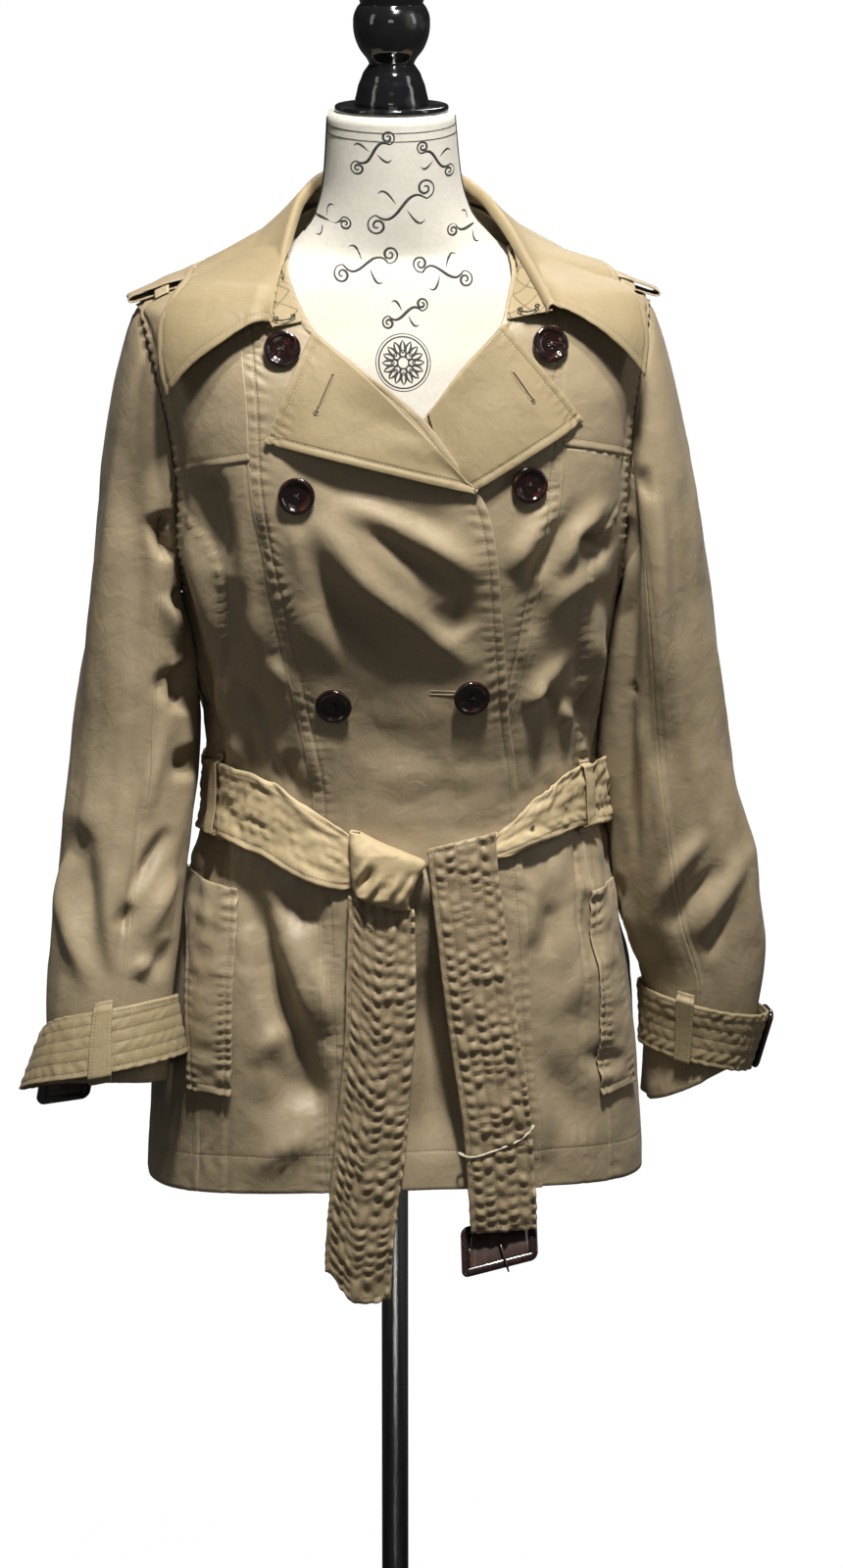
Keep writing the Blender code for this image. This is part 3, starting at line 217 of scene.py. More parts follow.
def curve(knots: Sequence, steps: int, straight_ends: bool = True) -> Array:
    """A smooth line of points through knots.

    Args:
        knots: The points that it passes.
        steps: How many points it has for each knot.
        straight_ends: Whether it runs on straight past its ends.

    Returns:
        The line's points.
    """
    knots = np.array(knots, float)
    before, after = (2 * knots[0] - knots[1], 2 * knots[-1] - knots[-2]) if straight_ends else (knots[0], knots[-1])
    padded = np.concatenate([[before], knots, [after]])[:, None]
    a, b, c, d = padded[:-3], padded[1:-2], padded[2:-1], padded[3:]
    t = np.linspace(0, 1, steps, endpoint=False)[:, None]
    line = 0.5 * (2 * b + (c - a) * t + (2 * a - 5 * b + 4 * c - d) * t**2 + (3 * b - a - 3 * c + d) * t**3)
    return np.concatenate([line.reshape(-1, knots.shape[1]), knots[-1:]])


# ---------------------------------------------------------------- creases
class Facing(Enum):
    """The side of the garment that a crease lies on, by the way it looks."""

    FRONT = (0, -1, 0)
    BACK = (0, 1, 0)
    RIGHT = (-1, 0, 0)
    LEFT = (1, 0, 0)


@dataclass(frozen=True)
class Crease:
    """One soft ridge or trough in the cloth, drawn on the side it faces.

    The depth is above zero for a ridge; the width is half the crease's; the path runs through places sideways and
    up. All are in millimetres.
    """

    facing: Facing
    depth: float
    width: float
    path: tuple[float, ...]

    def lift(self, points: Array, normals: Array) -> Array:
        """How far the crease lifts each point, in metres.

        Args:
            points: Points of the cloth, one a row.
            normals: Their unit normals.

        Returns:
            The lift of each point.
        """
        looks, width = np.array(self.facing.value, float), self.width * MM
        line, flat = curve(np.reshape(self.path, (-1, 2)), 6) * MM, points[:, (1 if looks[0] else 0, 2)]
        lift, reach = np.zeros(len(points)), 3.2 * width
        near = np.all((flat > line.min(axis=0) - reach) & (flat < line.max(axis=0) + reach), axis=1)
        near &= normals @ looks > 0.02
        if not near.any():
            return lift
        spots, runs = flat[near][:, None] - line[:-1], np.diff(line, axis=0)
        share = np.clip(np.einsum("nsk,sk->ns", spots, runs) / np.einsum("sk,sk->s", runs, runs), 0, 1)
        gap = np.linalg.norm(spots - share[..., None] * runs, axis=2)
        pick, row = gap.argmin(axis=1), np.arange(len(gap))
        along = (pick + share[row, pick]) / len(runs)
        swell = np.sin(np.minimum(along, 1 - along) * math.pi) ** 1.3
        lift[near] = self.depth * MM * swell * ease(normals[near] @ looks, 0.02, 0.4) * bump(gap[row, pick], 0, width)
        return lift


def creased(creases: Sequence[Crease], points: Array, normals: Array) -> Array:
    """The summed lift of several creases over a grid of points."""
    flat, looks = points.reshape(-1, 3), normals.reshape(-1, 3)
    return sum((crease.lift(flat, looks) for crease in creases), np.zeros(len(flat))).reshape(points.shape[:-1])


# ---------------------------------------------------------------- pieces
def fitted(name: str, mesh: bpy.types.Mesh, finish: Finish, slot: str, *nodes: str) -> bpy.types.Object:
    """A piece that rides with the coat.

    Args:
        name: The piece's name.
        mesh: Its mesh.
        finish: Its finish.
        slot: The record's material slot; not used.
        nodes: The solids it stands for.

    Returns:
        The new object.
    """
    obj = bpy.data.objects.new(name, mesh)
    bpy.context.scene.collection.objects.link(obj)
    mesh.shade_smooth()
    mesh.materials.append(finish.material())
    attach(obj, BODY)
    if nodes:
        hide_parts(*nodes)
    return obj


def add_piece(name: str, solid: Solid, finish: Finish, slot: str, *nodes: str) -> None:
    """Makes a piece from points and faces.

    Args:
        name: The piece's name.
        solid: Its points and faces.
        finish: Its finish.
        slot: The record's material slot.
        nodes: The solids it stands for.
    """
    mesh = bpy.data.meshes.new(name)
    mesh.from_pydata(solid[0].tolist(), [], solid[1])
    fitted(name, mesh, finish, slot, *nodes)
    LOG.info("%s: %d faces", name, len(solid[1]))


@dataclass
class Shell:
    """A thin closed shell of cloth, from a grid of points on its outer face.

    Rows run up the piece and columns across it. The cut is the grid that its flat size is measured on. A round
    shell's last column meets its first. The edge says how far its rim swells, as a share of its wall.
    """

    node: str
    outer: Array
    wall: float
    finish: Twill
    cut: Array
    rests_on: str = "form_body"
    held: str = "folded"
    round: bool = False
    edge: float = 0.5

    def build(self, core: Array | None = None) -> None:
        """Args:
            core: The middle of the piece, which its outer face looks away from; the upright axis if none is given.
        """
        core = self.outer * UPRIGHT if core is None else core
        normals = outward(self.outer, core)
        flip = np.einsum("ijk,ijk->", normals, grid_normals(self.outer)) < 0
        if self.round:
            normals[:, 0] = normals[:, -1] = unit(normals[:, 0] + normals[:, -1])
        left, low = lengths(self.cut, 1), lengths(self.cut, 0)
        mesh = self._mesh(self.outer - normals * self.wall, flip)
        obj = fitted(mesh.name, mesh, self.finish, self.finish.slot, self.node)
        wide, long = float(left[:, -1].max()), float(low[-1].max())
        across, up = np.diff(self.cut, axis=1)[:-1], np.diff(self.cut, axis=0)[:, :-1]
        LOG.info("%s: cut %.0f x %.0f mm, %d faces", obj.name, wide / MM, long / MM, len(mesh.polygons))

    def _mesh(self, inner: Array, flip: bool) -> bpy.types.Mesh:
        """The closed mesh: outer face, inner face and a rounded rim, with each point's distances from the edges.

        Args:
            inner: The inner face's points.
            flip: Whether the faces turn the other way round.

        Returns:
            The mesh.
        """
        outer, (rows, cols) = self.outer, self.outer.shape[:2]
        wrap = cols - 1 if self.round else cols
        grid = np.arange(rows)[:, None] * wrap + np.arange(cols)[None, :] % wrap
        where, count = np.arange(rows * cols).reshape(rows, cols), rows * wrap
        over, spot = (np.stack([n[:-1, :-1], n[:-1, 1:], n[1:, 1:], n[1:, :-1]], -1).reshape(-1, 4)
                      for n in (grid, where))
        quads, spots = [over, over[:, ::-1] + count], [spot, spot[:, ::-1]]
        vertices = [outer[:, :wrap].reshape(-1, 3), inner[:, :wrap].reshape(-1, 3)]
        if self.round:
            loops = [[(0, k) for k in range(wrap)], [(rows - 1, k) for k in reversed(range(wrap))]]
        else:
            loops = [[(0, k) for k in range(cols - 1)] + [(k, cols - 1) for k in range(rows - 1)]
                     + [(rows - 1, k) for k in range(cols - 1, 0, -1)] + [(k, 0) for k in range(rows - 1, 0, -1)]]
        start = 2 * count
        for loop in loops:
            r, k = np.array(loop).T
            back = np.clip(r, 1, rows - 2), k if self.round else np.clip(k, 1, cols - 2)
            vertices.append((outer[r, k] + inner[r, k]) / 2 + unit(outer[r, k] - outer[back]) * self.wall * self.edge)
            top, rim, spot = grid[r, k], start + np.arange(len(loop)), where[r, k]
            ring = np.stack([top, rim, np.roll(rim, -1), np.roll(top, -1)], -1)
            quads += [ring, np.stack([rim, top + count, np.roll(top, -1) + count, np.roll(rim, -1)], -1)]
            spots += [np.stack([spot, spot, np.roll(spot, -1), np.roll(spot, -1)], -1)] * 2
            start += len(loop)
        faces, places = np.concatenate(quads), np.concatenate(spots)
        if flip:
            faces, places = faces[:, ::-1], places[:, ::-1]
        mesh = bpy.data.meshes.new(self.node + "_cloth")
        mesh.from_pydata(np.concatenate(vertices).tolist(), [], faces.tolist())
        left, low = lengths(self.cut, 1), lengths(self.cut, 0)
        for layer, x, y in (("near_edges", left, low), ("far_edges", left[:, -1:] - left, low[-1:] - low)):
            away = stacked(x, y).reshape(-1, 2)[places.ravel()]
            mesh.uv_layers.new(name=layer).data.foreach_set("uv", away.astype(np.float32).ravel())
        mesh.update()
        return mesh


def ring_faces(rows: int, cols: int, caps: bool = True, closed: bool = False) -> list[list[int]]:
    """Faces of rings of points in rows, with flat ends unless the last ring meets the first.

    Args:
        rows: How many rings there are.
        cols: How many points each has.
        caps: Whether the ends are closed.
        closed: Whether the last ring meets the first.

    Returns:
        The faces.
    """
    faces = [[i * cols + k, i * cols + m, j * cols + m, j * cols + k]
             for i, j in ((i, (i + 1) % rows) for i in range(rows if closed else rows - 1))
             for k, m in ((k, (k + 1) % cols) for k in range(cols))]
    if caps and not closed:
        faces += [list(range(cols))[::-1], list(range((rows - 1) * cols, rows * cols))]
    return faces


def strand(line: Array, radius: Array | float, sides: int = 8, closed: bool = False) -> Solid:
    """A round strand along a line.

    Args:
        line: Points of its middle, in metres.
        radius: Its radius, one number or one for each point.
        sides: How many sides it has.
        closed: Whether its end meets its start.

    Returns:
        The strand's points and faces.
    """
    ways = unit(np.roll(line, -1, axis=0) - np.roll(line, 1, axis=0) if closed else np.gradient(line, axis=0))
    side = np.cross(ways[0], UP)
    if np.linalg.norm(side) < 0.1:
        side = np.cross(ways[0], (0.0, 1.0, 0.0))
    across = np.zeros_like(ways)
    for k, way in enumerate(ways):
        across[k] = side = unit(side - way * side.dot(way))
    up, turn = np.cross(ways, across), around(sides)[:, None]
    ring = across[:, None] * np.cos(turn) + up[:, None] * np.sin(turn)
    points = line[:, None] + np.broadcast_to(radius, (len(line),))[:, None, None] * ring
    return points.reshape(-1, 3), ring_faces(len(line), sides, closed=closed)


def joined(parts: Sequence[Solid]) -> Solid:
    """Several sets of points and faces as one."""
    starts = np.cumsum([0] + [len(points) for points, _ in parts])
    faces = [[k + int(start) for k in face] for start, (_, own) in zip(starts, parts) for face in own]
    return np.concatenate([points for points, _ in parts]), faces


def capped(rings: Array, top: float, low: float) -> Solid:
    """Rings of points closed on the axis.

    Args:
        rings: The rings, one below another.
        top: The axis point's height over the first.
        low: The axis point's height under the last.

    Returns:
        The solid's points and faces.
    """
    rows, steps = rings.shape[:2]
    faces = [face[::-1] for face in ring_faces(rows, steps, caps=False)]
    last, centre = (rows - 1) * steps, rows * steps
    faces += [[centre, k, (k + 1) % steps] for k in range(steps)]
    faces += [[centre + 1, last + (k + 1) % steps, last + k] for k in range(steps)]
    return np.concatenate([rings.reshape(-1, 3), [[0, 0, top], [0, 0, low]]]), faces


def lathe(profile: Sequence[Sequence[float]], steps: int) -> Solid:
    """A turned solid.

    Args:
        profile: Points of radius and height, from the top of the axis to its bottom.
        steps: How many sides it has.

    Returns:
        The solid's points and faces.
    """
    turn, body = around(steps), np.array(profile)[1:-1]
    rings = stacked(body[:, :1] * np.cos(turn), body[:, :1] * np.sin(turn), body[:, 1:])
    return capped(rings, profile[0][1], profile[-1][1])


def placed(solid: Solid, place: Matrix) -> Solid:
    """Points and faces moved by a placement."""
    turn = np.array(place)
    return solid[0] @ turn[:3, :3].T + turn[:3, 3], solid[1]


def seated(at: Array, out: Array, up: Array) -> Matrix:
    """A placement at a point.

    Args:
        at: The point.
        out: The way its last axis looks.
        up: A way that its first axis is square to.

    Returns:
        The placement.
    """
    z = Vector(out)
    x = Vector(up).cross(z).normalized()
    place = Matrix((x, z.cross(x), z)).transposed().to_4x4()
    place.translation = Vector(at)
    return place


# ---------------------------------------------------------------- the garment surface
RING_COLUMNS = "measure height middle half_width front back squareness"
COAT_RINGS = Table(
    RING_COLUMNS,
    (0.432, 0.432, 0, 0.201, 0.132, 0.122, 2.4),
    (0.54, 0.54, 0.001, 0.194, 0.128, 0.12, 2.4),
    (0.65, 0.65, 0.003, 0.176, 0.12, 0.112, 2.4),
    (0.715, 0.715, 0.007, 0.16, 0.112, 0.102, 2.3),
    (0.745, 0.745, 0.006, 0.155, 0.108, 0.099, 2.3),
    (0.79, 0.79, 0.006, 0.156, 0.11, 0.098, 2.3),
    (0.86, 0.86, 0.004, 0.165, 0.124, 0.101, 2.4),
    (0.915, 0.915, 0.004, 0.173, 0.133, 0.105, 2.6),
    (0.96, 0.96, 0.003, 0.179, 0.138, 0.107, 2.8),
    (1.02, 1.02, 0.001, 0.185, 0.134, 0.108, 3),
    (1.075, 1.075, 0, 0.192, 0.126, 0.107, 3),
    (1.128, 1.122, 0, 0.199, 0.112, 0.1, 2.8),
    (1.152, 1.14, 0, 0.1995, 0.105, 0.092, 2.5),
    (1.17, 1.15, 0, 0.187, 0.094, 0.086, 2.4),
    (1.192, 1.1585, 0, 0.165, 0.082, 0.08, 2.3),
    (1.236, 1.1745, 0.001, 0.124, 0.064, 0.07, 2.2),
    (1.28, 1.19, 0.002, 0.087, 0.047, 0.062, 2.1))
FORM_RINGS = Table(
    RING_COLUMNS,
    (0.57, 0.57, 0, 0.14, 0.09, 0.092, 2.2),
    (0.58, 0.58, 0, 0.148, 0.096, 0.098, 2.2),
    (0.64, 0.64, 0, 0.15, 0.097, 0.098, 2.2),
    (0.7, 0.7, 0, 0.136, 0.092, 0.09, 2.2),
    (0.745, 0.745, 0, 0.124, 0.088, 0.082, 2.2),
    (0.8, 0.8, 0, 0.124, 0.092, 0.082, 2.2),
    (0.88, 0.88, 0, 0.142, 0.108, 0.086, 2.3),
    (0.95, 0.95, 0, 0.156, 0.12, 0.09, 2.4),
    (1.01, 1.01, 0, 0.164, 0.115, 0.092, 2.4),
    (1.06, 1.06, 0, 0.172, 0.104, 0.092, 2.4),
    (1.11, 1.105, 0, 0.179, 0.09, 0.086, 2.3),
    (1.142, 1.13, 0, 0.184, 0.078, 0.076, 2.2),
    (1.192, 1.157, 0, 0.162, 0.066, 0.068, 2.1),
    (1.236, 1.1728, 0.001, 0.1215, 0.058, 0.062, 2.1),
    (1.28, 1.1885, 0.001, 0.0825, 0.05, 0.057, 2),
    (1.288, 1.196, 0.001, 0.075, 0.05, 0.056, 2),
    (1.305, 1.212, 0, 0.062, 0.0505, 0.054, 2),
    (1.335, 1.24, -0.001, 0.054, 0.05, 0.051, 2),
    (1.388, 1.293, -0.002, 0.0495, 0.0495, 0.0495, 2))
PRINCESS_LINE = Table(
    "measure across", (0.43, 0.0615), (0.478, 0.0627), (0.684, 0.0672), (0.778, 0.0715), (0.843, 0.085),
    (0.908, 0.098), (0.986, 0.1147), (1.03, 0.12), (1.077, 0.1215), (1.15, 0.126), (1.28, 0.128))
OVER_FRONT_EDGE = Table(
    "measure across", (0.43, 0.1083), (0.445, 0.1073), (0.547, 0.1007), (0.673, 0.0934), (0.776, 0.088),
    (0.824, 0.0811), (0.906, 0.0735), (0.969, 0.0671), (1, 0.0605), (1.0134, 0.0533), (1.042, 0.033),
    (1.0694, 0.012), (1.112, -0.036), (1.154, -0.0735), (1.192, -0.082), (1.236, -0.086), (1.28, -0.083))
UNDER_FRONT_EDGE = Table(
    "measure across", (0.43, -0.056), (0.98, -0.05), (1.03, -0.025), (1.0694, 0.012), (1.112, 0.044),
    (1.154, 0.076), (1.192, 0.083), (1.236, 0.088), (1.28, 0.087))
NECKLINE = Table("measure across", (1.152, 0.075), (1.192, 0.0825), (1.236, 0.087), (1.28, 0.087))
SIDE_SEAM = Table("measure turn", (0.43, 52), (0.65, 55), (0.745, 60), (0.85, 76), (0.915, 90), (1.28, 90))
SIDE_SEWN = Table(
    "height across", (0.43, 0.143), (0.52, 0.141), (0.72, 0.138), (0.8, 0.139), (0.9, 0.136), (0.939, 0.139),
    (0.96, 0.147), (0.985, 0.161), (1.006, 0.176))
BELT_RUN = Table(
    "turn height half_width", (-354.5, 0.7165, 0.006), (-345, 0.7195, 0.0075), (-337, 0.7255, 0.01),
    (-324, 0.742, 0.018), (-306, 0.753, 0.024), (-265, 0.7455, 0.0275), (-180, 0.75, 0.0275), (-95, 0.749, 0.029),
    (-66, 0.754, 0.03), (-45, 0.748, 0.03), (-30, 0.731, 0.029), (-18, 0.7165, 0.0232), (-12, 0.71, 0.014))


@dataclass
class GirthSurface:
    """A smooth surface through girth rings; places on it are a measure up it and a turn round it."""

    rings: Table
    rise_at_back: float = 0.0
    lowest: float = 0.436
    highest: float = 1.276

    def base(self, measure: Array, turn: Array) -> Array:
        """Points of the surface.

        Args:
            measure: Length up the side and over the shoulder, in metres.
            turn: Angle from the middle of the front, in radians.

        Returns:
            The points.
        """
        height, middle, half, front, back, square = self.rings.row(measure)
        s, c = power(np.sin(turn), 2 / square), power(np.cos(turn), 2 / square)
        lift = self.rise_at_back * np.maximum(0.0, -c) * ease(measure, SHOULDER, NECK)
        return stacked(middle + half * s, -np.where(c > 0, front, back) * c, height + lift)

    def normal(self, measure: Array, turn: Array) -> Array:
        """Outward unit normals of the surface.

        Args:
            measure: Measures up the surface.
            turn: Turns round it.

        Returns:
            One normal for each place.
        """
        d, m = 0.004, np.clip(measure, self.lowest, self.highest)
        sideways = self.base(m, turn + d) - self.base(m, turn - d)
        return unit(np.cross(sideways, self.base(m + d, turn) - self.base(m - d, turn)))

    def turn_at(self, measure: Array, across: Array) -> Array:
        """Turn of the front's point at a distance sideways.

        Args:
            measure: Measures up the surface.
            across: Distances from the middle, to the wearer's left.

        Returns:
            The turns.
        """
        _, middle, half, _, _, square = self.rings.row(measure)
        share = np.clip((across - middle) / half, -1.0, 1.0)
        return np.sign(share) * np.arcsin(np.abs(share) ** (square / 2))


class Edge(Enum):
    """An edge of a piece: the first or last column, or the first or last row."""

    START = "start"
    END = "end"
    LOW = "low"
    HIGH = "high"


@dataclass(frozen=True)
class Pucker:
    """A sewn line along an edge, which draws the cloth into small ripples and may leave a full lip at the edge."""

    edge: Edge
    offset: float = 0.0065
    depth: float = 0.0004
    spacing: float = 0.008
    reach: float = 0.0085
    groove: float = 0.0005
    lip: float = 0.0

    def lift(self, points: Array, seed: int) -> Array:
        """Lift of the cloth by the ripples and the groove of the sewn line.

        Args:
            points: The cloth's grid of points.
            seed: Chooses one pattern.

        Returns:
            The lift of each point.
        """
        upright = self.edge in (Edge.START, Edge.END)
        away, run = lengths(points, int(upright)), lengths(points, int(not upright))
        if self.edge is Edge.END:
            away = away[:, -1:] - away
        if self.edge is Edge.HIGH:
            away = away[-1:] - away
        uneven = 0.65 + 0.8 * noise(stacked(run / 0.04, 0), seed + 7)
        beat = run / self.spacing + 1.1 * noise(stacked(run / 0.024, away / 0.03), seed)
        gather = bump(away, self.offset, self.reach) * (1 - 0.7 * bump(away, self.offset, 0.0016))
        lip = self.lip * bump(away, 0.4 * self.offset, 0.42 * self.offset)
        return (self.depth * np.sin(2 * np.pi * beat) * uneven * gather + lip
                - self.groove * bump(away, self.offset, 0.0013))


def ripples(points: Array, seed: int, step: int, *puckers: Pucker) -> Array:
    """The summed lift of several sewn lines, each with a pattern of its own."""
    return sum((pucker.lift(points, seed + step * k) for k, pucker in enumerate(puckers)), 0.0)


@dataclass
class GarmentBody:
    """The coat's body surface with its creases. Every piece on the body lies on it."""

    surface: GirthSurface
    creases: Sequence[Crease]
    hidden_creases: Sequence[Crease]
    wall: float = 0.0016
    gap: float = 0.0004
    armhole_front: float = 20.0
    armhole_back: float = 22.0
    tucked: float = 4.5
    overlap_lift: float = 0.0024
    overlap_extra: float = 0.0022
    hem_at_side: float = 0.433
    hem_rise: float = 0.017
    gather_depth: float = 0.002
    crumple_depth: float = 0.0006
    slack_depth: float = 0.0085
    _tree: BVHTree | None = None

    def over_lift(self, measure: Array, turn: Array | float = 0.0) -> Array:
        """How far the overlapping front stands off the surface."""
        stands = self.overlap_lift + self.overlap_extra * ease(measure, 0.90, 0.99)
        return ease(np.degrees(turn), -52.0, -24.0) * (1.0 - ease(measure, 1.095, 1.150)) * stands

    def folds(self, measure: Array, turn: Array, hidden: bool = True) -> Array:
        """Lift of the cloth by its creases, its gathers at the belt and its small crumples.

        Args:
            measure: Measures of the places.
            turn: Their turns.
            hidden: Whether the creases under the lapels count.

        Returns:
            The lift of each place.
        """
        points, normals = self.surface.base(measure, turn), self.surface.normal(measure, turn)
        degrees = (np.degrees(turn) + 180.0) % 360.0 - 180.0
        centre, half = BELT_RUN.row(np.where(degrees > -18.0, degrees - 360.0, degrees))
        off, girth = points[..., 2] - centre, np.radians(degrees) * 0.15
        pleats = noise(stacked(girth / 0.0085, off / 0.09), 11) + 0.6 * noise(stacked(girth / 0.019, off / 0.12), 12)
        near_belt = bump(np.abs(off), half, 0.03) * (np.abs(off) > half * 0.2)
        lift = self.gather_depth * pleats * near_belt * (0.25 + 0.75 * ease(np.abs(degrees), 22.0, 60.0))
        lift += self.crumple_depth * (noise(points / 0.024, 21) + 0.45 * noise(points / 0.011, 22))
        slack = self.slack_depth * bump(off, 0, 0.13) * (0.35 + 0.65 * ease(np.abs(degrees), 12.0, 40.0))
        bent = points + 0.010 * noise(points / 0.05, 24)[..., None]
        lift += slack * (np.abs(noise(bent / (0.030, 0.030, 0.050), 25)) - 0.35)
        lift += 0.4 * slack * (np.abs(noise(bent / (0.016, 0.016, 0.026), 26)) - 0.35)
        lift += creased(self.creases, points, normals)
        lift *= 0.2 + 0.8 * ease(np.abs(off), half - 0.012, half + 0.010)
        return lift + creased(self.hidden_creases, points, normals) if hidden else lift

    def at(self, measure: Array, turn: Array, lift: Array | float, hidden: bool = True) -> Array:
        """Points at a stand-off from the creased cloth's inner face."""
        return self.smooth(measure, turn, self.folds(measure, turn, hidden) + lift)

    def smooth(self, measure: Array, turn: Array, lift: Array | float = 0.0) -> Array:
        """Points at a stand-off from the smooth surface."""
        return self.surface.base(measure, turn) + self.surface.normal(measure, turn) * np.asarray(lift)[..., None]

    def line_turn(self, line: Table, side: int = 1) -> Line:
        """Turn of a seam line, as a function of the measure."""
        return lambda m: self.surface.turn_at(m, side * line.read("across", m))

    def armhole(self, m: Array) -> Array:
        """How far the armhole has swung from the side at a measure, from 0 at its ends to 1."""
        t = np.clip((m - (SHOULDER + ARMPIT) / 2) / ((SHOULDER - ARMPIT) / 2), -1, 1)
        return np.sqrt(np.maximum(0.0, 1 - t * t))

    def outer_line(self, side: int, front: bool) -> Line:
        """Turn of a front's or back's outer boundary: side seam, armhole, then shoulder seam.

        Args:
            side: -1 for the wearer's right, 1 for the left.
            front: Whether it bounds the front.

        Returns:
            The turn as a function of the measure.
        """

        def line(m: Array) -> Array:
            """Turn at a measure."""
            swing = self.tucked - self.armhole_front if front else self.armhole_back - self.tucked
            upper = np.where(m < SHOULDER, 90.0 + swing * self.armhole(m), 90.0)
            return side * np.radians(np.where(m <= ARMPIT, SIDE_SEAM.read("turn", m), upper))

        return line

    def armhole_beads(self, m: Array, turn: Array, seed: int) -> Array:
        """Lift of the small full beads that the armhole's two sewn lines leave between them.

        Args:
            m: Measures of the places.
            turn: Their turns.
            seed: Chooses one pattern.

        Returns:
            The lift of each place.
        """
        degrees, swing = np.abs(np.degrees(turn)), self.armhole(m)
        front, back = 90.0 - self.armhole_front * swing - degrees, degrees - (90.0 + self.armhole_back * swing)
        away = np.radians(np.where(degrees < 90.0, front, back)) * 0.165
        beat = m / 0.0083 + 0.35 * noise(stacked(m / 0.03, away * 0), seed)
        full = 0.003 * beads(beat) * bump(away, 0.011, 0.005)
        lines = bump(away, 0.0015, 0.0035) + 0.8 * bump(away, 0.0215, 0.003)
        inside = ease(m, ARMPIT - 0.012, ARMPIT + 0.02) * (1 - ease(m, 1.160, 1.176))
        return (full - 0.0018 * lines) * inside * (away < 0.04)

    def side_beads(self, points: Array, seed: int) -> Array:
        """Lift of the groove and beads of the sewn line that runs from the armhole's front down to the hem.

        Args:
            points: The cloth's points.
            seed: Chooses one pattern.

        Returns:
            The lift of each point.
        """
        up = points[..., 2]
        away = np.abs(points[..., 0]) - SIDE_SEWN.read("across", up)
        beat = up / 0.0086 + 0.5 * noise(stacked(up / 0.03, np.sign(points[..., 0])), seed)
        full = 0.0019 * beads(beat) * bump(away, 0.003, 0.0022) * (0.35 + 0.65 * ease(up, 0.60, 0.78))
        shown = (points[..., 1] < 0) * (1 - ease(up, 0.985, 1.004)) * (np.abs(away) < 0.02)
        return (full - 0.0016 * bump(away, 0, 0.0013)) * shown

    def hem(self, turn: Array) -> Array:
        """Measure of the hem round the coat."""
        return self.hem_at_side + self.hem_rise * np.maximum(0.0, np.cos(turn)) ** 2

    def moved(self, line: Line, sign: int) -> Line:
        """A seam line moved half the seam's gap round the surface.

        Args:
            line: The turn as a function of the measure.
            sign: 1 to move it to a greater turn, -1 to a smaller one.

        Returns:
            The moved line.
        """
        fine = np.linspace(0.43, 1.281, 700)
        turn = line(fine)
        start = self.surface.base(fine, turn)
        low, high = np.zeros_like(fine), np.full_like(fine, 0.2)
        for _ in range(24):
            mid = (low + high) / 2
            short = np.linalg.norm(self.surface.base(fine, turn + sign * mid) - start, axis=-1) < self.gap / 2
            low, high = np.where(short, mid, low), np.where(short, high, mid)
        shifted = turn + sign * high
        return lambda m: np.interp(m, fine, shifted)

    def tree(self) -> BVHTree:
        """The outermost panels as a search tree, made once."""
        if self._tree is None:
            measures, turns = np.linspace(self.hem_at_side, NECK, 230), np.linspace(-np.pi, np.pi, 261)[:-1]
            m, t = np.meshgrid(measures, turns, indexing="ij")
            on_top = (t > -np.pi / 2) & (t < self.line_turn(OVER_FRONT_EDGE)(m))
            points = self.at(m, t, np.where(on_top, self.over_lift(m, t), 0.0))
            self._tree = BVHTree.FromPolygons(points.reshape(-1, 3).tolist(), ring_faces(*m.shape, caps=False))
        return self._tree

    def kept_clear(self, points: Array, lift: Array | float) -> Array:
        """Points, moved out where they would lie closer than the lift to the creased cloth's inner face.

        Args:
            points: A grid of points.
            lift: The least distance of each.

        Returns:
            The moved points.
        """
        tree, out = self.tree(), points.reshape(-1, 3).copy()
        lifts = np.broadcast_to(lift, points.shape[:-1]).ravel()
        for k, point in enumerate(out):
            near, normal, _, gap = tree.find_nearest(Vector(point))
            off = (Vector(point) - near).dot(normal)
            if gap <= 0.03 and off < lifts[k]:
                out[k] = point + np.array(normal) * (lifts[k] - off)
        return out.reshape(points.shape)

    def laid(self, points: Array, lift: float, share: Array) -> Array:
        """Points moved a share of the way to where they lie on the creased cloth.

        Args:
            points: A grid of points.
            lift: Their distance from the cloth's inner face once they lie on it.
            share: How much of the way each goes.

        Returns:
            The moved points.
        """
        tree, out = self.tree(), points.reshape(-1, 3).copy()
        shares = np.broadcast_to(share, points.shape[:-1]).ravel()
        for k in np.flatnonzero(shares > 0.001):
            near, normal, _, _ = tree.find_nearest(Vector(out[k]))
            off = (Vector(out[k]) - near).dot(normal)
            out[k] += np.array(normal) * (lift - off) * shares[k]
        return out.reshape(points.shape)

    def roof(self, x: Array, y: Array) -> Array:
        """Height of the cloth above points of the floor."""
        flat = [self.tree().ray_cast(Vector((a, b, 1.5)), Vector((0, 0, -1)))[0].z for a, b in zip(x.flat, y.flat)]
        return np.array(flat).reshape(x.shape)


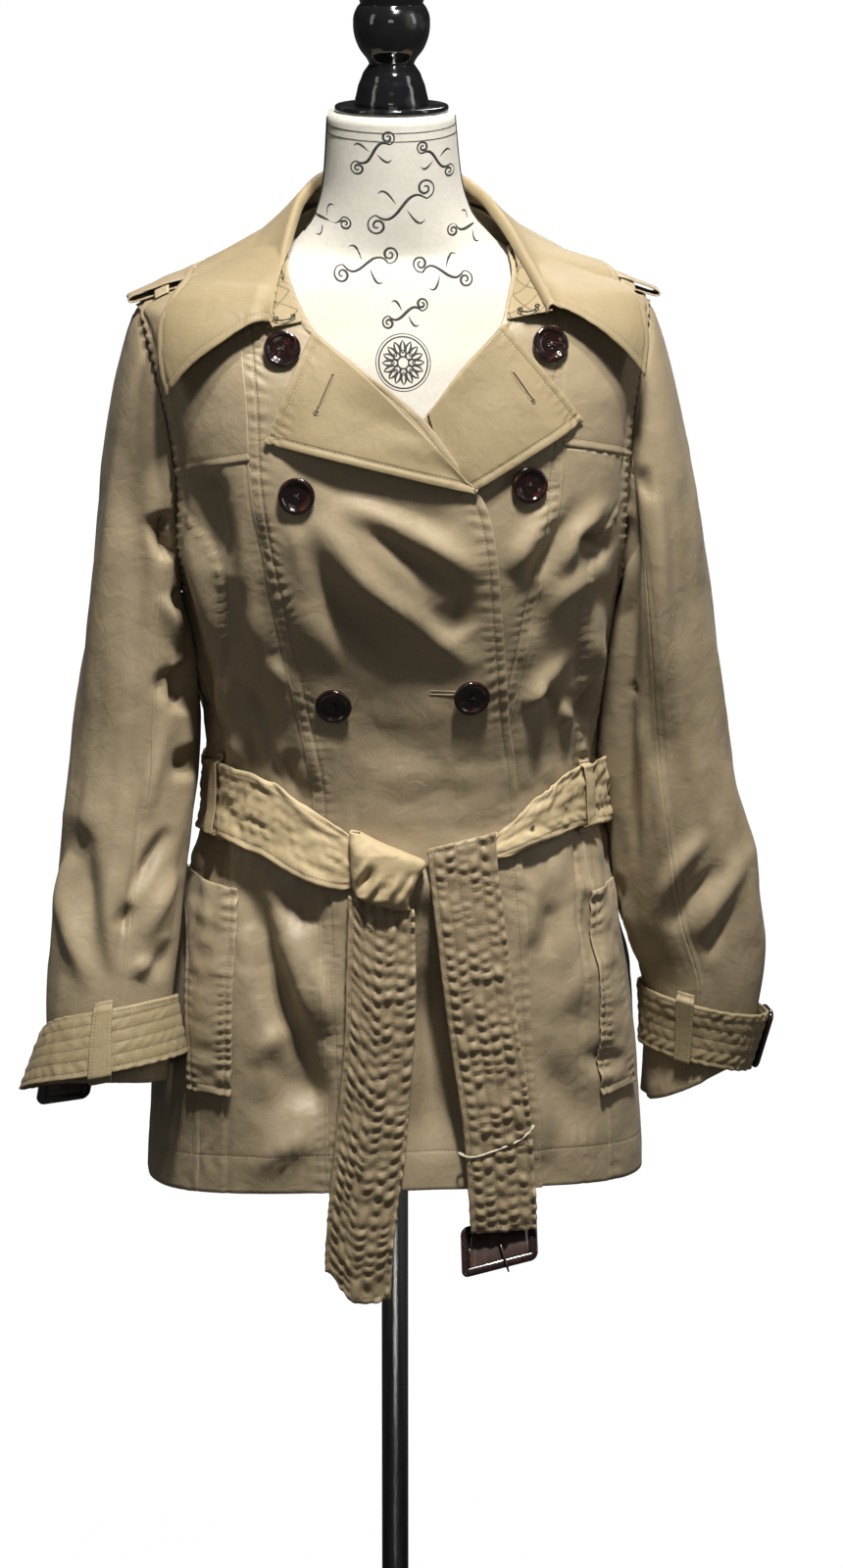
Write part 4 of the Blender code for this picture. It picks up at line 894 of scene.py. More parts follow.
@dataclass
class PanelCut:
    """One panel of the coat's body, between two seam lines, from its low line to its high line.

    A panel without a low line reaches the hem.
    """

    node: str
    start: Line
    end: Line
    low: Line | None
    high: Line
    over: bool
    columns: int
    puckers: tuple[Pucker, ...]
    finish: Twill
    row_step: float = 0.003

    def build(self, body: GarmentBody, seed: int) -> None:
        """Makes the panel on the body's surface.

        Args:
            body: The body that it lies on.
            seed: Chooses the pattern of its puckers.
        """
        u = edge_spaced(self.columns, 0.5)[None, :]
        start, end = body.moved(self.start, 1), body.moved(self.end, -1)
        near_hem = np.full(u.shape, 0.44)
        low = self.low(u) if self.low else body.hem(start(near_hem) + (end(near_hem) - start(near_hem)) * u)
        high = self.high(u)
        rows = int((high.max() - low.min()) / self.row_step) + 2
        measure = low + (high - low) * np.linspace(0, 1, rows)[:, None]
        turn = start(measure) + (end(measure) - start(measure)) * u
        lift = body.over_lift(measure, turn) * self.over
        smooth = body.smooth(measure, turn, lift)
        ripple = ripples(smooth, seed, 13, *self.puckers)
        ripple = ripple + body.armhole_beads(measure, turn, seed) + body.side_beads(smooth, seed)
        outer = body.at(measure, turn, lift + body.wall + ripple)
        Shell(self.node, outer, 0.0012, self.finish, smooth, held="hung", edge=0.45).build()


@dataclass
class CoatPanels:
    """The backs, side fronts, yokes and centre fronts."""

    body: GarmentBody
    twill: Bolt
    yoke_at_armhole: float = 1.017
    yoke_at_princess: float = 1.0376
    yoke_step_left: float = 0.008
    hem_depth: float = 0.03

    def build(self) -> None:
        """Makes all eight panels."""
        body, hem = self.body, Pucker(Edge.LOW, self.hem_depth, 0.00055, 0.011, 0.012, 0.00045)
        sewn = self.twill.sewn(hem=self.hem_depth, start=0.0075, end=0.0075)
        for side, word in ((-1, "right"), (1, "left")):
            over = side < 0
            way = 1 if over else -1  # the two sides' panels run opposite ways
            front_edge = body.line_turn(OVER_FRONT_EDGE if over else UNDER_FRONT_EDGE)
            princess, outer = body.line_turn(PRINCESS_LINE, side), body.outer_line(side, True)
            inner_edge, outer_edge = (Edge.END, Edge.START)[::way]

            def yoke(u: Array, up: float, over: bool = over) -> Array:
                """Height of the chest seam, moved up a little."""
                share = u if over else 1 - u
                step = 0.0 if over else self.yoke_step_left
                return self.yoke_at_armhole * (1 - share) + self.yoke_at_princess * share + up + step

            PanelCut(f"{word}_side_front", *(outer, princess)[::way], None,
                     lambda u: yoke(u, -body.gap / 2), over, 52,
                     (hem, Pucker(inner_edge, 0.003, 0.0005, 0.0085), Pucker(Edge.HIGH, 0.002, 0.0003)),
                     self.twill.sewn(hem=self.hem_depth)).build(body, 100 + side)
            PanelCut(f"{word}_front_yoke", *(outer, princess)[::way], lambda u: yoke(u, body.gap / 2),
                     lambda u: np.full_like(u, 1.222), over, 40,
                     (Pucker(Edge.LOW, 0.006, 0.0002, 0.012, 0.0085, 0.0007, 0.0011),),
                     self.twill.sewn(low=0.006)).build(body, 200 + side)
            PanelCut(f"{word}_centre_front", *(princess, front_edge)[::way], None, lambda u: np.full_like(u, 1.272),
                     over, 66, (hem, Pucker(outer_edge, 0.0075, 0.00085, 0.0082, 0.0075, 0.0007),
                                Pucker(inner_edge, 0.0075, 0.0006, 0.0095, 0.0085, 0.0005, 0.0006)),
                     sewn, 0.0026).build(body, 300 + side)
            centre = lambda m, s=side: np.full_like(m, s * math.pi)
            PanelCut(f"{word}_back", *(centre, body.outer_line(side, False))[::way], None,
                     lambda u: np.full_like(u, NECK), False, 52,
                     (hem, Pucker(inner_edge, 0.0075, 0.00065, 0.0085, 0.008, 0.0005, 0.0004),
                      Pucker(outer_edge, 0.0075, 0.0006, 0.009, 0.0075, 0.0005, 0.0004)),
                     sewn, 0.0035).build(body, 400 + side)


# ---------------------------------------------------------------- finishes
Socket = bpy.types.NodeSocket
Value = Socket | float


class Nodes:
    """Short ways of adding shader nodes to a tree."""

    def __init__(self, tree: bpy.types.NodeTree) -> None:
        """Works on one node tree."""
        self.tree = tree

    def put(self, value: object, socket: Socket) -> None:
        """Fills an input.

        Args:
            value: A socket to link to it, or the value that it keeps.
            socket: The input.
        """
        if isinstance(value, Socket):
            self.tree.links.new(value, socket)
        else:
            socket.default_value = value

    def add(self, kind: str, values: dict | None = None, **settings: object) -> bpy.types.Node:
        """Adds a node.

        Args:
            kind: The node's type, without its ShaderNode prefix.
            values: Numbers or sockets for its inputs, by name or place.
            settings: Its own settings.

        Returns:
            The node.
        """
        node = self.tree.nodes.new("ShaderNode" + kind)
        for key, value in settings.items():
            setattr(node, key, value)
        for key, value in (values or {}).items():
            self.put(value, node.inputs[key])
        return node

    def math(self, operation: str, *values: Value) -> Socket:
        """Adds a math node and returns its output."""
        return self.add("Math", dict(enumerate(values)), operation=operation).outputs[0]

    def times(self, value: Value, factor: float) -> Socket:
        """A value times a factor."""
        return self.math("MULTIPLY", value, factor)

    def rest(self, value: Value) -> Socket:
        """What a share leaves of one."""
        return self.math("SUBTRACT", 1.0, value)

    def ramp(self, value: Socket, low: float, high: float) -> Socket:
        """A smooth step of a value from low to high, as a socket."""
        return self.add("MapRange", {"Value": value, "From Min": low, "From Max": high},
                        interpolation_type="SMOOTHSTEP").outputs[0]

    def mix(self, factor: Value, a: Socket | Colour, b: Colour, shade: float = 1.0) -> Socket:
        """A mix of two colours.

        Args:
            factor: How much there is of the second.
            a: The first.
            b: The second.
            shade: What the second is darkened by.

        Returns:
            The mixed colour.
        """
        node = self.add("Mix", data_type="RGBA")
        self.put(factor, node.inputs[0])
        self.put(a if isinstance(a, Socket) else (*a, 1.0), node.inputs[6])
        self.put((*(c * shade for c in b), 1.0), node.inputs[7])
        return node.outputs[2]

    def grain(self, place: Socket, scale: float, detail: float, roughness: float = 0.5,
              distortion: float = 0.0) -> Socket:
        """Fractal noise at a place, from 0 to 1."""
        return self.add("TexNoise", {"Vector": place, "Scale": scale, "Detail": detail, "Roughness": roughness,
                                     "Distortion": distortion}).outputs[0]

    def place(self, scale: tuple[float, float, float] | None = None) -> Socket:
        """Places on the piece in metres, stretched by a scale if one is given."""
        here = self.add("TexCoord").outputs["Object"]
        return self.add("Mapping", {"Vector": here, "Scale": scale}).outputs[0] if scale else here

    def dress(self, base: Socket, height: Socket | None = None, strength: float = 1.0, distance: float = 1.0,
              **inputs: object) -> None:
        """Feeds the shader its colour, its bump and its other inputs.

        Args:
            base: The colour.
            height: The height of the bump, if it has one.
            strength: The bump's strength.
            distance: The bump's distance in metres.
            inputs: Values or sockets for other inputs, by their names with underscores for spaces.
        """
        shader = self.tree.nodes["Principled BSDF"]
        self.put(base, shader.inputs["Base Color"])
        if height:
            bump_map = self.add("Bump", {"Height": height, "Strength": strength, "Distance": distance})
            self.put(bump_map.outputs[0], shader.inputs["Normal"])
        for name, value in inputs.items():
            self.put(value, shader.inputs[name.replace("_", " ")])


def effect(name: str, inputs: dict[str, float | None], outputs: Sequence[str],
           fill: Callable[[Nodes, dict], Sequence[Socket]]) -> bpy.types.NodeTree:
    """A shared effect as a node group, made once.

    Args:
        name: The group's name.
        inputs: Its inputs with their usual values; a value of None is a vector.
        outputs: The names of the values that it puts out.
        fill: Builds the inside from the inputs' sockets and returns the outputs' sockets.

    Returns:
        The group.
    """
    group = bpy.data.node_groups.get(name)
    if group:
        return group
    group = bpy.data.node_groups.new(name, "ShaderNodeTree")
    for key, value in inputs.items():
        kind = "NodeSocketVector" if value is None else "NodeSocketFloat"
        socket = group.interface.new_socket(key, in_out="INPUT", socket_type=kind)
        if value is not None:
            socket.default_value = value
    for key in outputs:
        group.interface.new_socket(key, in_out="OUTPUT", socket_type="NodeSocketFloat")
    entry, leave = group.nodes.new("NodeGroupInput"), group.nodes.new("NodeGroupOutput")
    made = fill(Nodes(group), {key: entry.outputs[key] for key in inputs})
    for key, socket in zip(outputs, made):
        group.links.new(socket, leave.inputs[key])
    return group


def twill_weave() -> bpy.types.NodeTree:
    """Fine diagonal ribs of a twill, from distances across and along the cloth."""

    def fill(n: Nodes, at: dict) -> Sequence[Socket]:
        """Builds the ribs."""
        diagonal = n.math("DIVIDE", n.math("ADD", at["Across"], at["Along"]), at["Pitch"])
        rib = n.math("SINE", n.times(diagonal, 2 * math.pi))
        cross = n.math("SINE", n.times(n.math("DIVIDE", at["Along"], at["Pitch"]), 5.1))
        return (n.math("ADD", n.times(rib, 0.35), n.times(cross, 0.15)),)

    return effect("twill_weave", {"Across": 0.0, "Along": 0.0, "Pitch": 0.0006}, ("Height",), fill)


def stitch_row() -> bpy.types.NodeTree:
    """One row of stitches at a distance from an edge: its thread and the dent that it pulls, whose mask the cloth
    also uses to paint shade into its colour.
    """

    def fill(n: Nodes, at: dict) -> Sequence[Socket]:
        """Builds the stitches."""
        off = n.math("ABSOLUTE", n.math("SUBTRACT", at["Away"], at["Offset"]))
        line = n.rest(n.ramp(off, 0.0002, 0.0006))
        beat = n.math("FRACT", n.math("DIVIDE", at["Along"], at["Length"]))
        gate = n.math("MULTIPLY", n.ramp(beat, 0.02, 0.16), n.rest(n.ramp(beat, 0.72, 0.86)))
        return n.math("MULTIPLY", line, gate), n.rest(n.ramp(off, 0.0, 0.0016))

    return effect("stitch_row", {"Away": 0.0, "Along": 0.0, "Offset": 0.006, "Length": 0.003}, ("ThreadAndSlitShade", "Dent"),
                  fill)


def crumple() -> bpy.types.NodeTree:
    """Small soft wrinkles of pressed cotton."""

    def fill(n: Nodes, at: dict) -> Sequence[Socket]:
        """Builds the wrinkles."""
        return (n.math("SUBTRACT", n.grain(at["Place"], at["Scale"], 3.0, 0.55, 0.6), 0.5),)

    return effect("crumple", {"Place": None, "Scale": 60.0}, ("Height",), fill)


def wear() -> bpy.types.NodeTree:
    """Uneven tone of washed cloth, a little paler where an edge rubs."""

    def fill(n: Nodes, at: dict) -> Sequence[Socket]:
        """Builds the tone and the rubbed edges."""
        broad, fine = n.grain(at["Place"], 9.0, 4.0, 0.6), n.grain(at["Place"], 260.0, 2.0)
        rub = n.rest(n.ramp(at["Edge"], 0.0004, 0.0022))
        tone = n.math("ADD", n.times(broad, 0.7), n.times(fine, 0.3))
        return tone, n.math("MULTIPLY", rub, n.ramp(broad, 0.30, 0.62))

    return effect("wear", {"Place": None, "Edge": 0.0}, ("Tone", "Rubbed"), fill)


class Finish:
    """A surface finish. Equal finishes share one material."""

    made: dict[object, bpy.types.Material] = {}

    def material(self) -> bpy.types.Material:
        """The finish's material, built the first time."""
        if self not in Finish.made:
            mat = bpy.data.materials.new(type(self).__name__)
            mat.use_nodes = True
            self.dress(Nodes(mat.node_tree))
            Finish.made[self] = mat
        return Finish.made[self]

    def dress(self, nodes: Nodes) -> None:
        """Builds the nodes round the shader.

        Args:
            nodes: The material's nodes, with its shader among them.
        """
        raise NotImplementedError


QUILT_START, QUILT_GAP = 0.0035, 0.0092


@dataclass(frozen=True)
class Twill(Finish):
    """Satin-faced cotton twill; its rows of topstitching are edges and distances from them."""

    colour: Colour = (0.312, 0.246, 0.154)
    pale: Colour = (0.38, 0.3, 0.195)
    thread: Colour = (0.42, 0.33, 0.2)
    roughness: float = 0.42
    gloss: float = 0.42
    slot: str = "khaki_cloth"
    rows: tuple[tuple[Edge, float], ...] = ()
    quilted: Edge | None = None
    zigzag: bool = False

    def dress(self, nodes: Nodes) -> None:
        """Builds weave, wrinkles, stitches with painted shade in their dents, and wear."""
        near, far = (nodes.add("SeparateXYZ", {0: nodes.add("UVMap", uv_map=layer).outputs[0]}).outputs
                     for layer in ("near_edges", "far_edges"))
        place = nodes.place()
        away = {Edge.START: near[0], Edge.LOW: near[1], Edge.END: far[0], Edge.HIGH: far[1]}
        weave = nodes.add("Group", node_tree=twill_weave())
        nodes.put(near[0], weave.inputs["Across"])
        nodes.put(near[1], weave.inputs["Along"])
        folds, worn = nodes.add("Group", node_tree=crumple()), nodes.add("Group", node_tree=wear())
        nodes.put(place, folds.inputs["Place"])
        nodes.put(place, worn.inputs["Place"])
        nodes.put(nodes.math("MINIMUM", nodes.math("MINIMUM", near[0], far[0]),
                             nodes.math("MINIMUM", near[1], far[1])), worn.inputs["Edge"])
        sewn = [(away[edge], offset, near[1] if edge in (Edge.START, Edge.END) else near[0])
                for edge, offset in self.rows]
        if self.zigzag:
            sewn += [(nodes.math("PINGPONG", nodes.math(sign, near[0], near[1]), 0.024), 0.012, near[1])
                     for sign in ("ADD", "SUBTRACT")]
        if self.quilted:
            over, along = (near[0], near[1])[::1 if self.quilted is Edge.START else -1]
            lane = nodes.math("PINGPONG", nodes.math("SUBTRACT", over, QUILT_START), QUILT_GAP / 2)
            sewn.append((lane, 0.0, along))
        thread: Value = 0.0
        dent: Value = 0.0
        for from_row, offset, along in sewn:
            row = nodes.add("Group", node_tree=stitch_row())
            for key, value in (("Away", from_row), ("Along", along), ("Offset", offset)):
                nodes.put(value, row.inputs[key])
            thread = nodes.math("MAXIMUM", row.outputs["ThreadAndSlitShade"], thread)
            dent = nodes.math("MAXIMUM", row.outputs["Dent"], dent)
        tone = worn.outputs["Tone"]
        base = nodes.mix(nodes.ramp(tone, 0.36, 0.66), tuple(c * 0.9 for c in self.colour), self.colour)
        base = nodes.mix(nodes.times(worn.outputs["Rubbed"], 0.45), base, self.pale)
        # Painted shade: the colour darkens in the dent along each row of stitches.
        base = nodes.mix(nodes.times(dent, 0.45), base, self.colour, 0.45)
        base = nodes.mix(thread, base, self.thread)
        height = nodes.times(weave.outputs[0], 0.00004)
        height = nodes.math("ADD", height, nodes.times(folds.outputs[0], 0.00088))
        height = nodes.math("ADD", height, nodes.times(thread, 0.00025))
        height = nodes.math("SUBTRACT", height, nodes.times(dent, 0.0003))
        rough = nodes.math("ADD", self.roughness, nodes.times(tone, 0.1))
        nodes.dress(base, height, Roughness=rough, Sheen_Weight=0.06, Sheen_Roughness=0.45,
                    Specular_IOR_Level=self.gloss)


@dataclass(frozen=True)
class Linen(Finish):
    """Cream plain-woven cover of the form."""

    colour: Colour = (0.53, 0.507, 0.45)

    def dress(self, nodes: Nodes) -> None:
        """Builds slubby threads both ways and a slightly aged tone."""
        warp, weft = (nodes.grain(nodes.place(scale), 1.0, 1.0)
                      for scale in ((2600.0, 2600.0, 160.0), (160.0, 160.0, 2600.0)))
        cloth = nodes.math("MAXIMUM", warp, weft)
        worn = nodes.add("Group", {"Edge": 1.0}, node_tree=wear())
        nodes.put(nodes.place(), worn.inputs["Place"])
        tone = nodes.ramp(worn.outputs["Tone"], 0.36, 0.62)
        base = nodes.mix(tone, tuple(c * 0.86 for c in self.colour), self.colour)
        base = nodes.mix(nodes.times(nodes.ramp(cloth, 0.45, 0.75), 0.35), base, self.colour, 0.78)
        nodes.dress(base, cloth, 0.5, 0.0004, Roughness=0.85, Sheen_Weight=0.1)


@dataclass(frozen=True)
class InkAndHoleShade(Finish):
    """Dark printing ink on the linen; also the near-black disks that paint the shade in the belt's eyelet holes."""

    colour: Colour = (0.022, 0.02, 0.02)
    worn: Colour = (0.12, 0.11, 0.1)

    def dress(self, nodes: Nodes) -> None:
        """Builds ink that sits unevenly on the weave."""
        patch = nodes.ramp(nodes.grain(nodes.place(), 900.0, 2.0), 0.55, 0.80)
        nodes.dress(nodes.mix(patch, self.colour, self.worn), Roughness=0.7)


@dataclass(frozen=True)
class Lacquer(Finish):
    """Gloss black lacquer on turned wood."""

    colour: Colour = (0.006, 0.006, 0.007)
    dusty: Colour = (0.03, 0.029, 0.028)

    def dress(self, nodes: Nodes) -> None:
        """Builds a faint orange peel and dust in the gloss."""
        place = nodes.place()
        peel, dust = nodes.grain(place, 420.0, 1.0), nodes.grain(place, 60.0, 5.0)
        rough = nodes.math("ADD", 0.09, nodes.times(nodes.ramp(dust, 0.45, 0.80), 0.14))
        nodes.dress(nodes.mix(nodes.ramp(dust, 0.52, 0.85), self.colour, self.dusty), peel, 0.12, 0.0006,
                    Roughness=rough, Coat_Weight=0.6, Coat_Roughness=0.04)


@dataclass(frozen=True)
class Tortoise(Finish):
    """Dark tortoise plastic, with amber clouds in nearly black brown."""

    dark: Colour = (0.01, 0.0055, 0.005)
    amber: Colour = (0.055, 0.014, 0.008)
    clouds: float = 120.0
    share: float = 0.54
    roughness: float = 0.12

    def dress(self, nodes: Nodes) -> None:
        """Builds the clouds under a polished face."""
        place = nodes.place()
        cloud, scratch = nodes.grain(place, self.clouds, 3.0, 0.6, 1.4), nodes.grain(place, 700.0, 2.0)
        rough = nodes.math("ADD", self.roughness, nodes.times(nodes.ramp(scratch, 0.5, 0.8), 0.15))
        nodes.dress(nodes.mix(nodes.ramp(cloud, self.share, self.share + 0.14), self.dark, self.amber), scratch, 0.1,
                    0.0004, Roughness=rough, Coat_Weight=0.5, Coat_Roughness=0.05)


@dataclass(frozen=True)
class Metal(Finish):
    """Satin or blackened metal."""

    colour: Colour = (0.45, 0.45, 0.46)
    roughness: float = 0.32

    def dress(self, nodes: Nodes) -> None:
        """Builds fine brushing along the length."""
        brush = nodes.grain(nodes.place((900.0, 900.0, 12.0)), 1.0, 2.0)
        rough = nodes.math("ADD", self.roughness - 0.06, nodes.times(brush, 0.16))
        base = nodes.mix(brush, tuple(c * 0.82 for c in self.colour), self.colour)
        nodes.dress(base, Roughness=rough, Metallic=1.0)


@dataclass(frozen=True)
class ThreadAndSlitShade(Finish):
    """Sewing thread or braided cord; also the dark strand and disk that paint the shade in a buttonhole's slit and
    eye.
    """

    colour: Colour

    def dress(self, nodes: Nodes) -> None:
        """Builds the thread's twist."""
        twist = nodes.add("TexWave", {"Vector": nodes.place(), "Scale": 900.0, "Distortion": 2.0}).outputs[1]
        base = nodes.mix(twist, tuple(c * 0.75 for c in self.colour), self.colour)
        nodes.dress(base, twist, 0.4, 0.0002, Roughness=0.65)


@dataclass(frozen=True)
class Bolt:
    """One cloth, from which every piece takes its finish with its own rows of stitches."""

    cloth: Twill

    def sewn(self, hem: float = 0.0, low: float = 0.0, high: float = 0.0, start: float = 0.0, end: float = 0.0,
             quilted: Edge | None = None, zigzag: bool = False) -> Twill:
        """The cloth with rows of stitches at distances from its edges.

        Args:
            hem: Distance of the hem's row from the lowest edge.
            low: Distance of a row from the first row of points.
            high: Distance of a row from the last row of points.
            start: Distance of a row from the first column.
            end: Distance of a row from the last column.
            quilted: The edge along which rows run side by side over the whole piece.
            zigzag: Whether rows cross all over the piece, in dark thread.

        Returns:
            The finish.
        """
        wanted = ((Edge.LOW, hem), (Edge.LOW, low), (Edge.HIGH, high), (Edge.START, start), (Edge.END, end))
        rows = tuple((edge, away) for edge, away in wanted if away > 0)
        thread = (0.06, 0.04, 0.026) if zigzag else self.cloth.thread
        return replace(self.cloth, rows=rows, quilted=quilted, zigzag=zigzag, thread=thread)


KHAKI = Bolt(Twill())
# The lapels, collar and cuff straps are the coat's own cloth; this darker, duller copy of it stands in for how those
# pieces are lit, as painted shade in their colour.
TRIM_KHAKI_PAINTED_SHADE = Bolt(Twill((0.28, 0.218, 0.12), (0.39, 0.31, 0.19), (0.39, 0.31, 0.19), 0.5, 0.34, "light_cloth"))
# The belt is the coat's cloth too: its band, loops and knot take a paler copy as painted light, and its hanging ends
# take a darker copy as painted shade.
BELT_KHAKI_PAINTED_LIGHT = Bolt(Twill((0.455, 0.355, 0.205), (0.52, 0.41, 0.26), (0.5, 0.4, 0.26), 0.52, 0.3, "light_cloth"))
TAIL_KHAKI_PAINTED_SHADE = Bolt(Twill((0.285, 0.219, 0.13), (0.44, 0.34, 0.21), (0.33, 0.25, 0.15), 0.46, 0.4, "light_cloth"))


# ---------------------------------------------------------------- sleeves
@dataclass
class SleeveForm:
    """The shape of one sleeve, from the armhole line through its sections to the cuff."""

    side: int
    sections: Table
    cuff: Table
    end_middle: float
    end_front: float
    end_outer: float
    body: GarmentBody
    head_share: float = 0.42
    seam_lift: float = 0.002
    under_lift: float = 0.0022
    cuff_room: float = 0.0056
    wall: float = 0.0016
    gap: float = 0.0004
    trim_wall: float = 0.0018

    def end(self, angle: Array) -> Array:
        """Height of the sleeve's end round the arm."""
        return self.end_middle + self.end_front * np.sin(angle) + self.end_outer * np.cos(angle)

    def core(self, points: Array) -> Array:
        """Places inside the sleeve, level with its points."""
        return stacked(self.side * self.sections.read("out", points[..., 2]), 0, points[..., 2])

    def stand_off(self, angle: Array) -> Array:
        """Stand-off of the sleeve from the body, more under the arm."""
        return self.seam_lift + self.under_lift * (1 - np.cos(angle)) / 2

    def section(self, height: Array, angle: Array, grow: Array | float = 0.0) -> Array:
        """Points of the sleeve's sections.

        Args:
            height: Heights of the points.
            angle: Angles round the arm, from its outer side over the front.
            grow: How far outside the section they lie.

        Returns:
            The points.
        """
        out, forward, half_width, half_depth = self.sections.row(height)
        return stacked(self.side * (out + (half_width + grow) * np.cos(angle)),
                       -forward - (half_depth + grow) * np.sin(angle), height)

    def point(self, angle: Array, share: Array) -> Array:
        """Points of the sleeve, clear of the body.

        Args:
            angle: Angles round the arm.
            share: Places along it, from 0 at the armhole to 1 at its end.

        Returns:
            The points.
        """
        body, wide = self.body, np.sin(angle)
        m = (SHOULDER + ARMPIT) / 2 + (SHOULDER - ARMPIT) / 2 * np.cos(angle)
        turn = self.side * np.radians(90.0 - np.where(wide > 0, body.armhole_front, body.armhole_back) * wide)
        start, first = body.smooth(m, turn, self.stand_off(angle)), float(self.sections.data[-1, 0])
        finish = self.section(np.full_like(angle, first), angle)
        span, top = np.linalg.norm(finish - start, axis=-1)[..., None], ((1 + np.cos(angle)) / 2)[..., None]
        leave = unit(body.surface.normal(m, turn) * (1, 1, 0) * (0.12 + 0.38 * top) - UP) * span * (0.9 - 0.25 * top)
        arrive = unit(self.section(np.full_like(angle, first - 0.01), angle) - finish) * span
        t = np.clip(share / self.head_share, 0, 1)
        head = hermite(t[..., None], start, leave, finish, arrive)
        low = np.clip((share - self.head_share) / (1 - self.head_share), 0, 1)
        height, in_head = first + (self.end(angle) - first) * low, share < self.head_share
        points = np.where(in_head[..., None], head, self.section(height, angle))
        room = self.cuff_room * (1 - ease(height, 0.60, 0.66))
        clear = np.where(in_head, 0.0006 * np.minimum(1.0, 4 * t), 0.0006 + room)
        return body.kept_clear(points, self.stand_off(angle) + clear)

    def cuff_point(self, angle: Array, share: Array, off: Array | float) -> Array:
        """Points round the cuff strap.

        Args:
            angle: Angles round the arm.
            share: Places over the strap's width.
            off: Their distance over the sleeve's outer face.

        Returns:
            The points.
        """
        outer, inner, flare_out, flare_in, front_up, back_down = self.cuff.row(share)
        k = (1 + np.cos(angle)) / 2
        height = outer * k + inner * (1 - k) + front_up * np.sin(angle)
        height = height - back_down * np.maximum(0.0, np.cos(angle + math.radians(40.0))) ** 2
        height = height + (share - np.clip(share, 0, 1)) * 0.046
        return self.section(height, angle, self.wall + off + flare_out * k + flare_in * (1 - k))


@dataclass
class Sleeve:
    """A two-piece sleeve with its folds."""

    word: str
    form: SleeveForm
    creases: Sequence[Crease]
    twill: Bolt
    split_front: float = 100.0
    split_back: float = -110.0
    rows: int = 172
    drape: float = 0.0024

    def build(self) -> None:
        """Makes the upper and the under sleeve."""
        gap, front, back = np.radians((0.25, self.split_front, self.split_back))
        self._panel("upper", back + gap, front - gap, 96)
        self._panel("under", front + gap, back + 2 * math.pi - gap, 44)

    def _panel(self, name: str, start: float, end: float, columns: int) -> None:
        """Makes one piece of the sleeve.

        Args:
            name: Which piece it is.
            start: The angle of its first column.
            end: The angle of its last column.
            columns: How many columns it has.
        """
        form, body, seed = self.form, self.form.body, 31 + self.form.side
        u, share = np.meshgrid(edge_spaced(columns, 0.4), np.linspace(0, 1, self.rows))
        angle = start + (end - start) * u
        smooth = form.point(angle, share)
        normals, up = outward(smooth, form.core(smooth)), smooth[..., 2]
        lift = creased(self.creases, smooth, normals)
        waves = noise(stacked(angle * 2.3, up / 0.075), seed) + 0.5 * noise(stacked(angle * 5.0, up / 0.05), seed + 5)
        lift += self.drape * waves * ease(share, 0.05, 0.25)
        lift += 0.00055 * (noise(smooth / 0.024, seed + 1) + 0.4 * noise(smooth / 0.011, seed + 2))
        lift += ripples(smooth, seed, 40, Pucker(Edge.LOW, 0.005, 0.0006, 0.008, 0.006),
                        Pucker(Edge.START, 0.004, 0.00022, 0.01), Pucker(Edge.END, 0.004, 0.00022, 0.01))
        lift *= 1 - 0.75 * ease(share, 0.80, 0.90) * (1 - ease(share, 0.985, 1.0))
        bent = body.kept_clear(smooth + normals * lift[..., None], form.stand_off(angle) + 0.0004)
        outer = body.laid(bent + normals * form.wall, body.wall + 0.0004, 1 - ease(lengths(smooth, 0), 0.0, 0.0042))
        Shell(f"{self.word}_{name}_sleeve", outer, 0.0012, self.twill.sewn(), smooth, f"{self.word}_back_cloth",
              "hung", edge=0.45).build(form.core(outer))


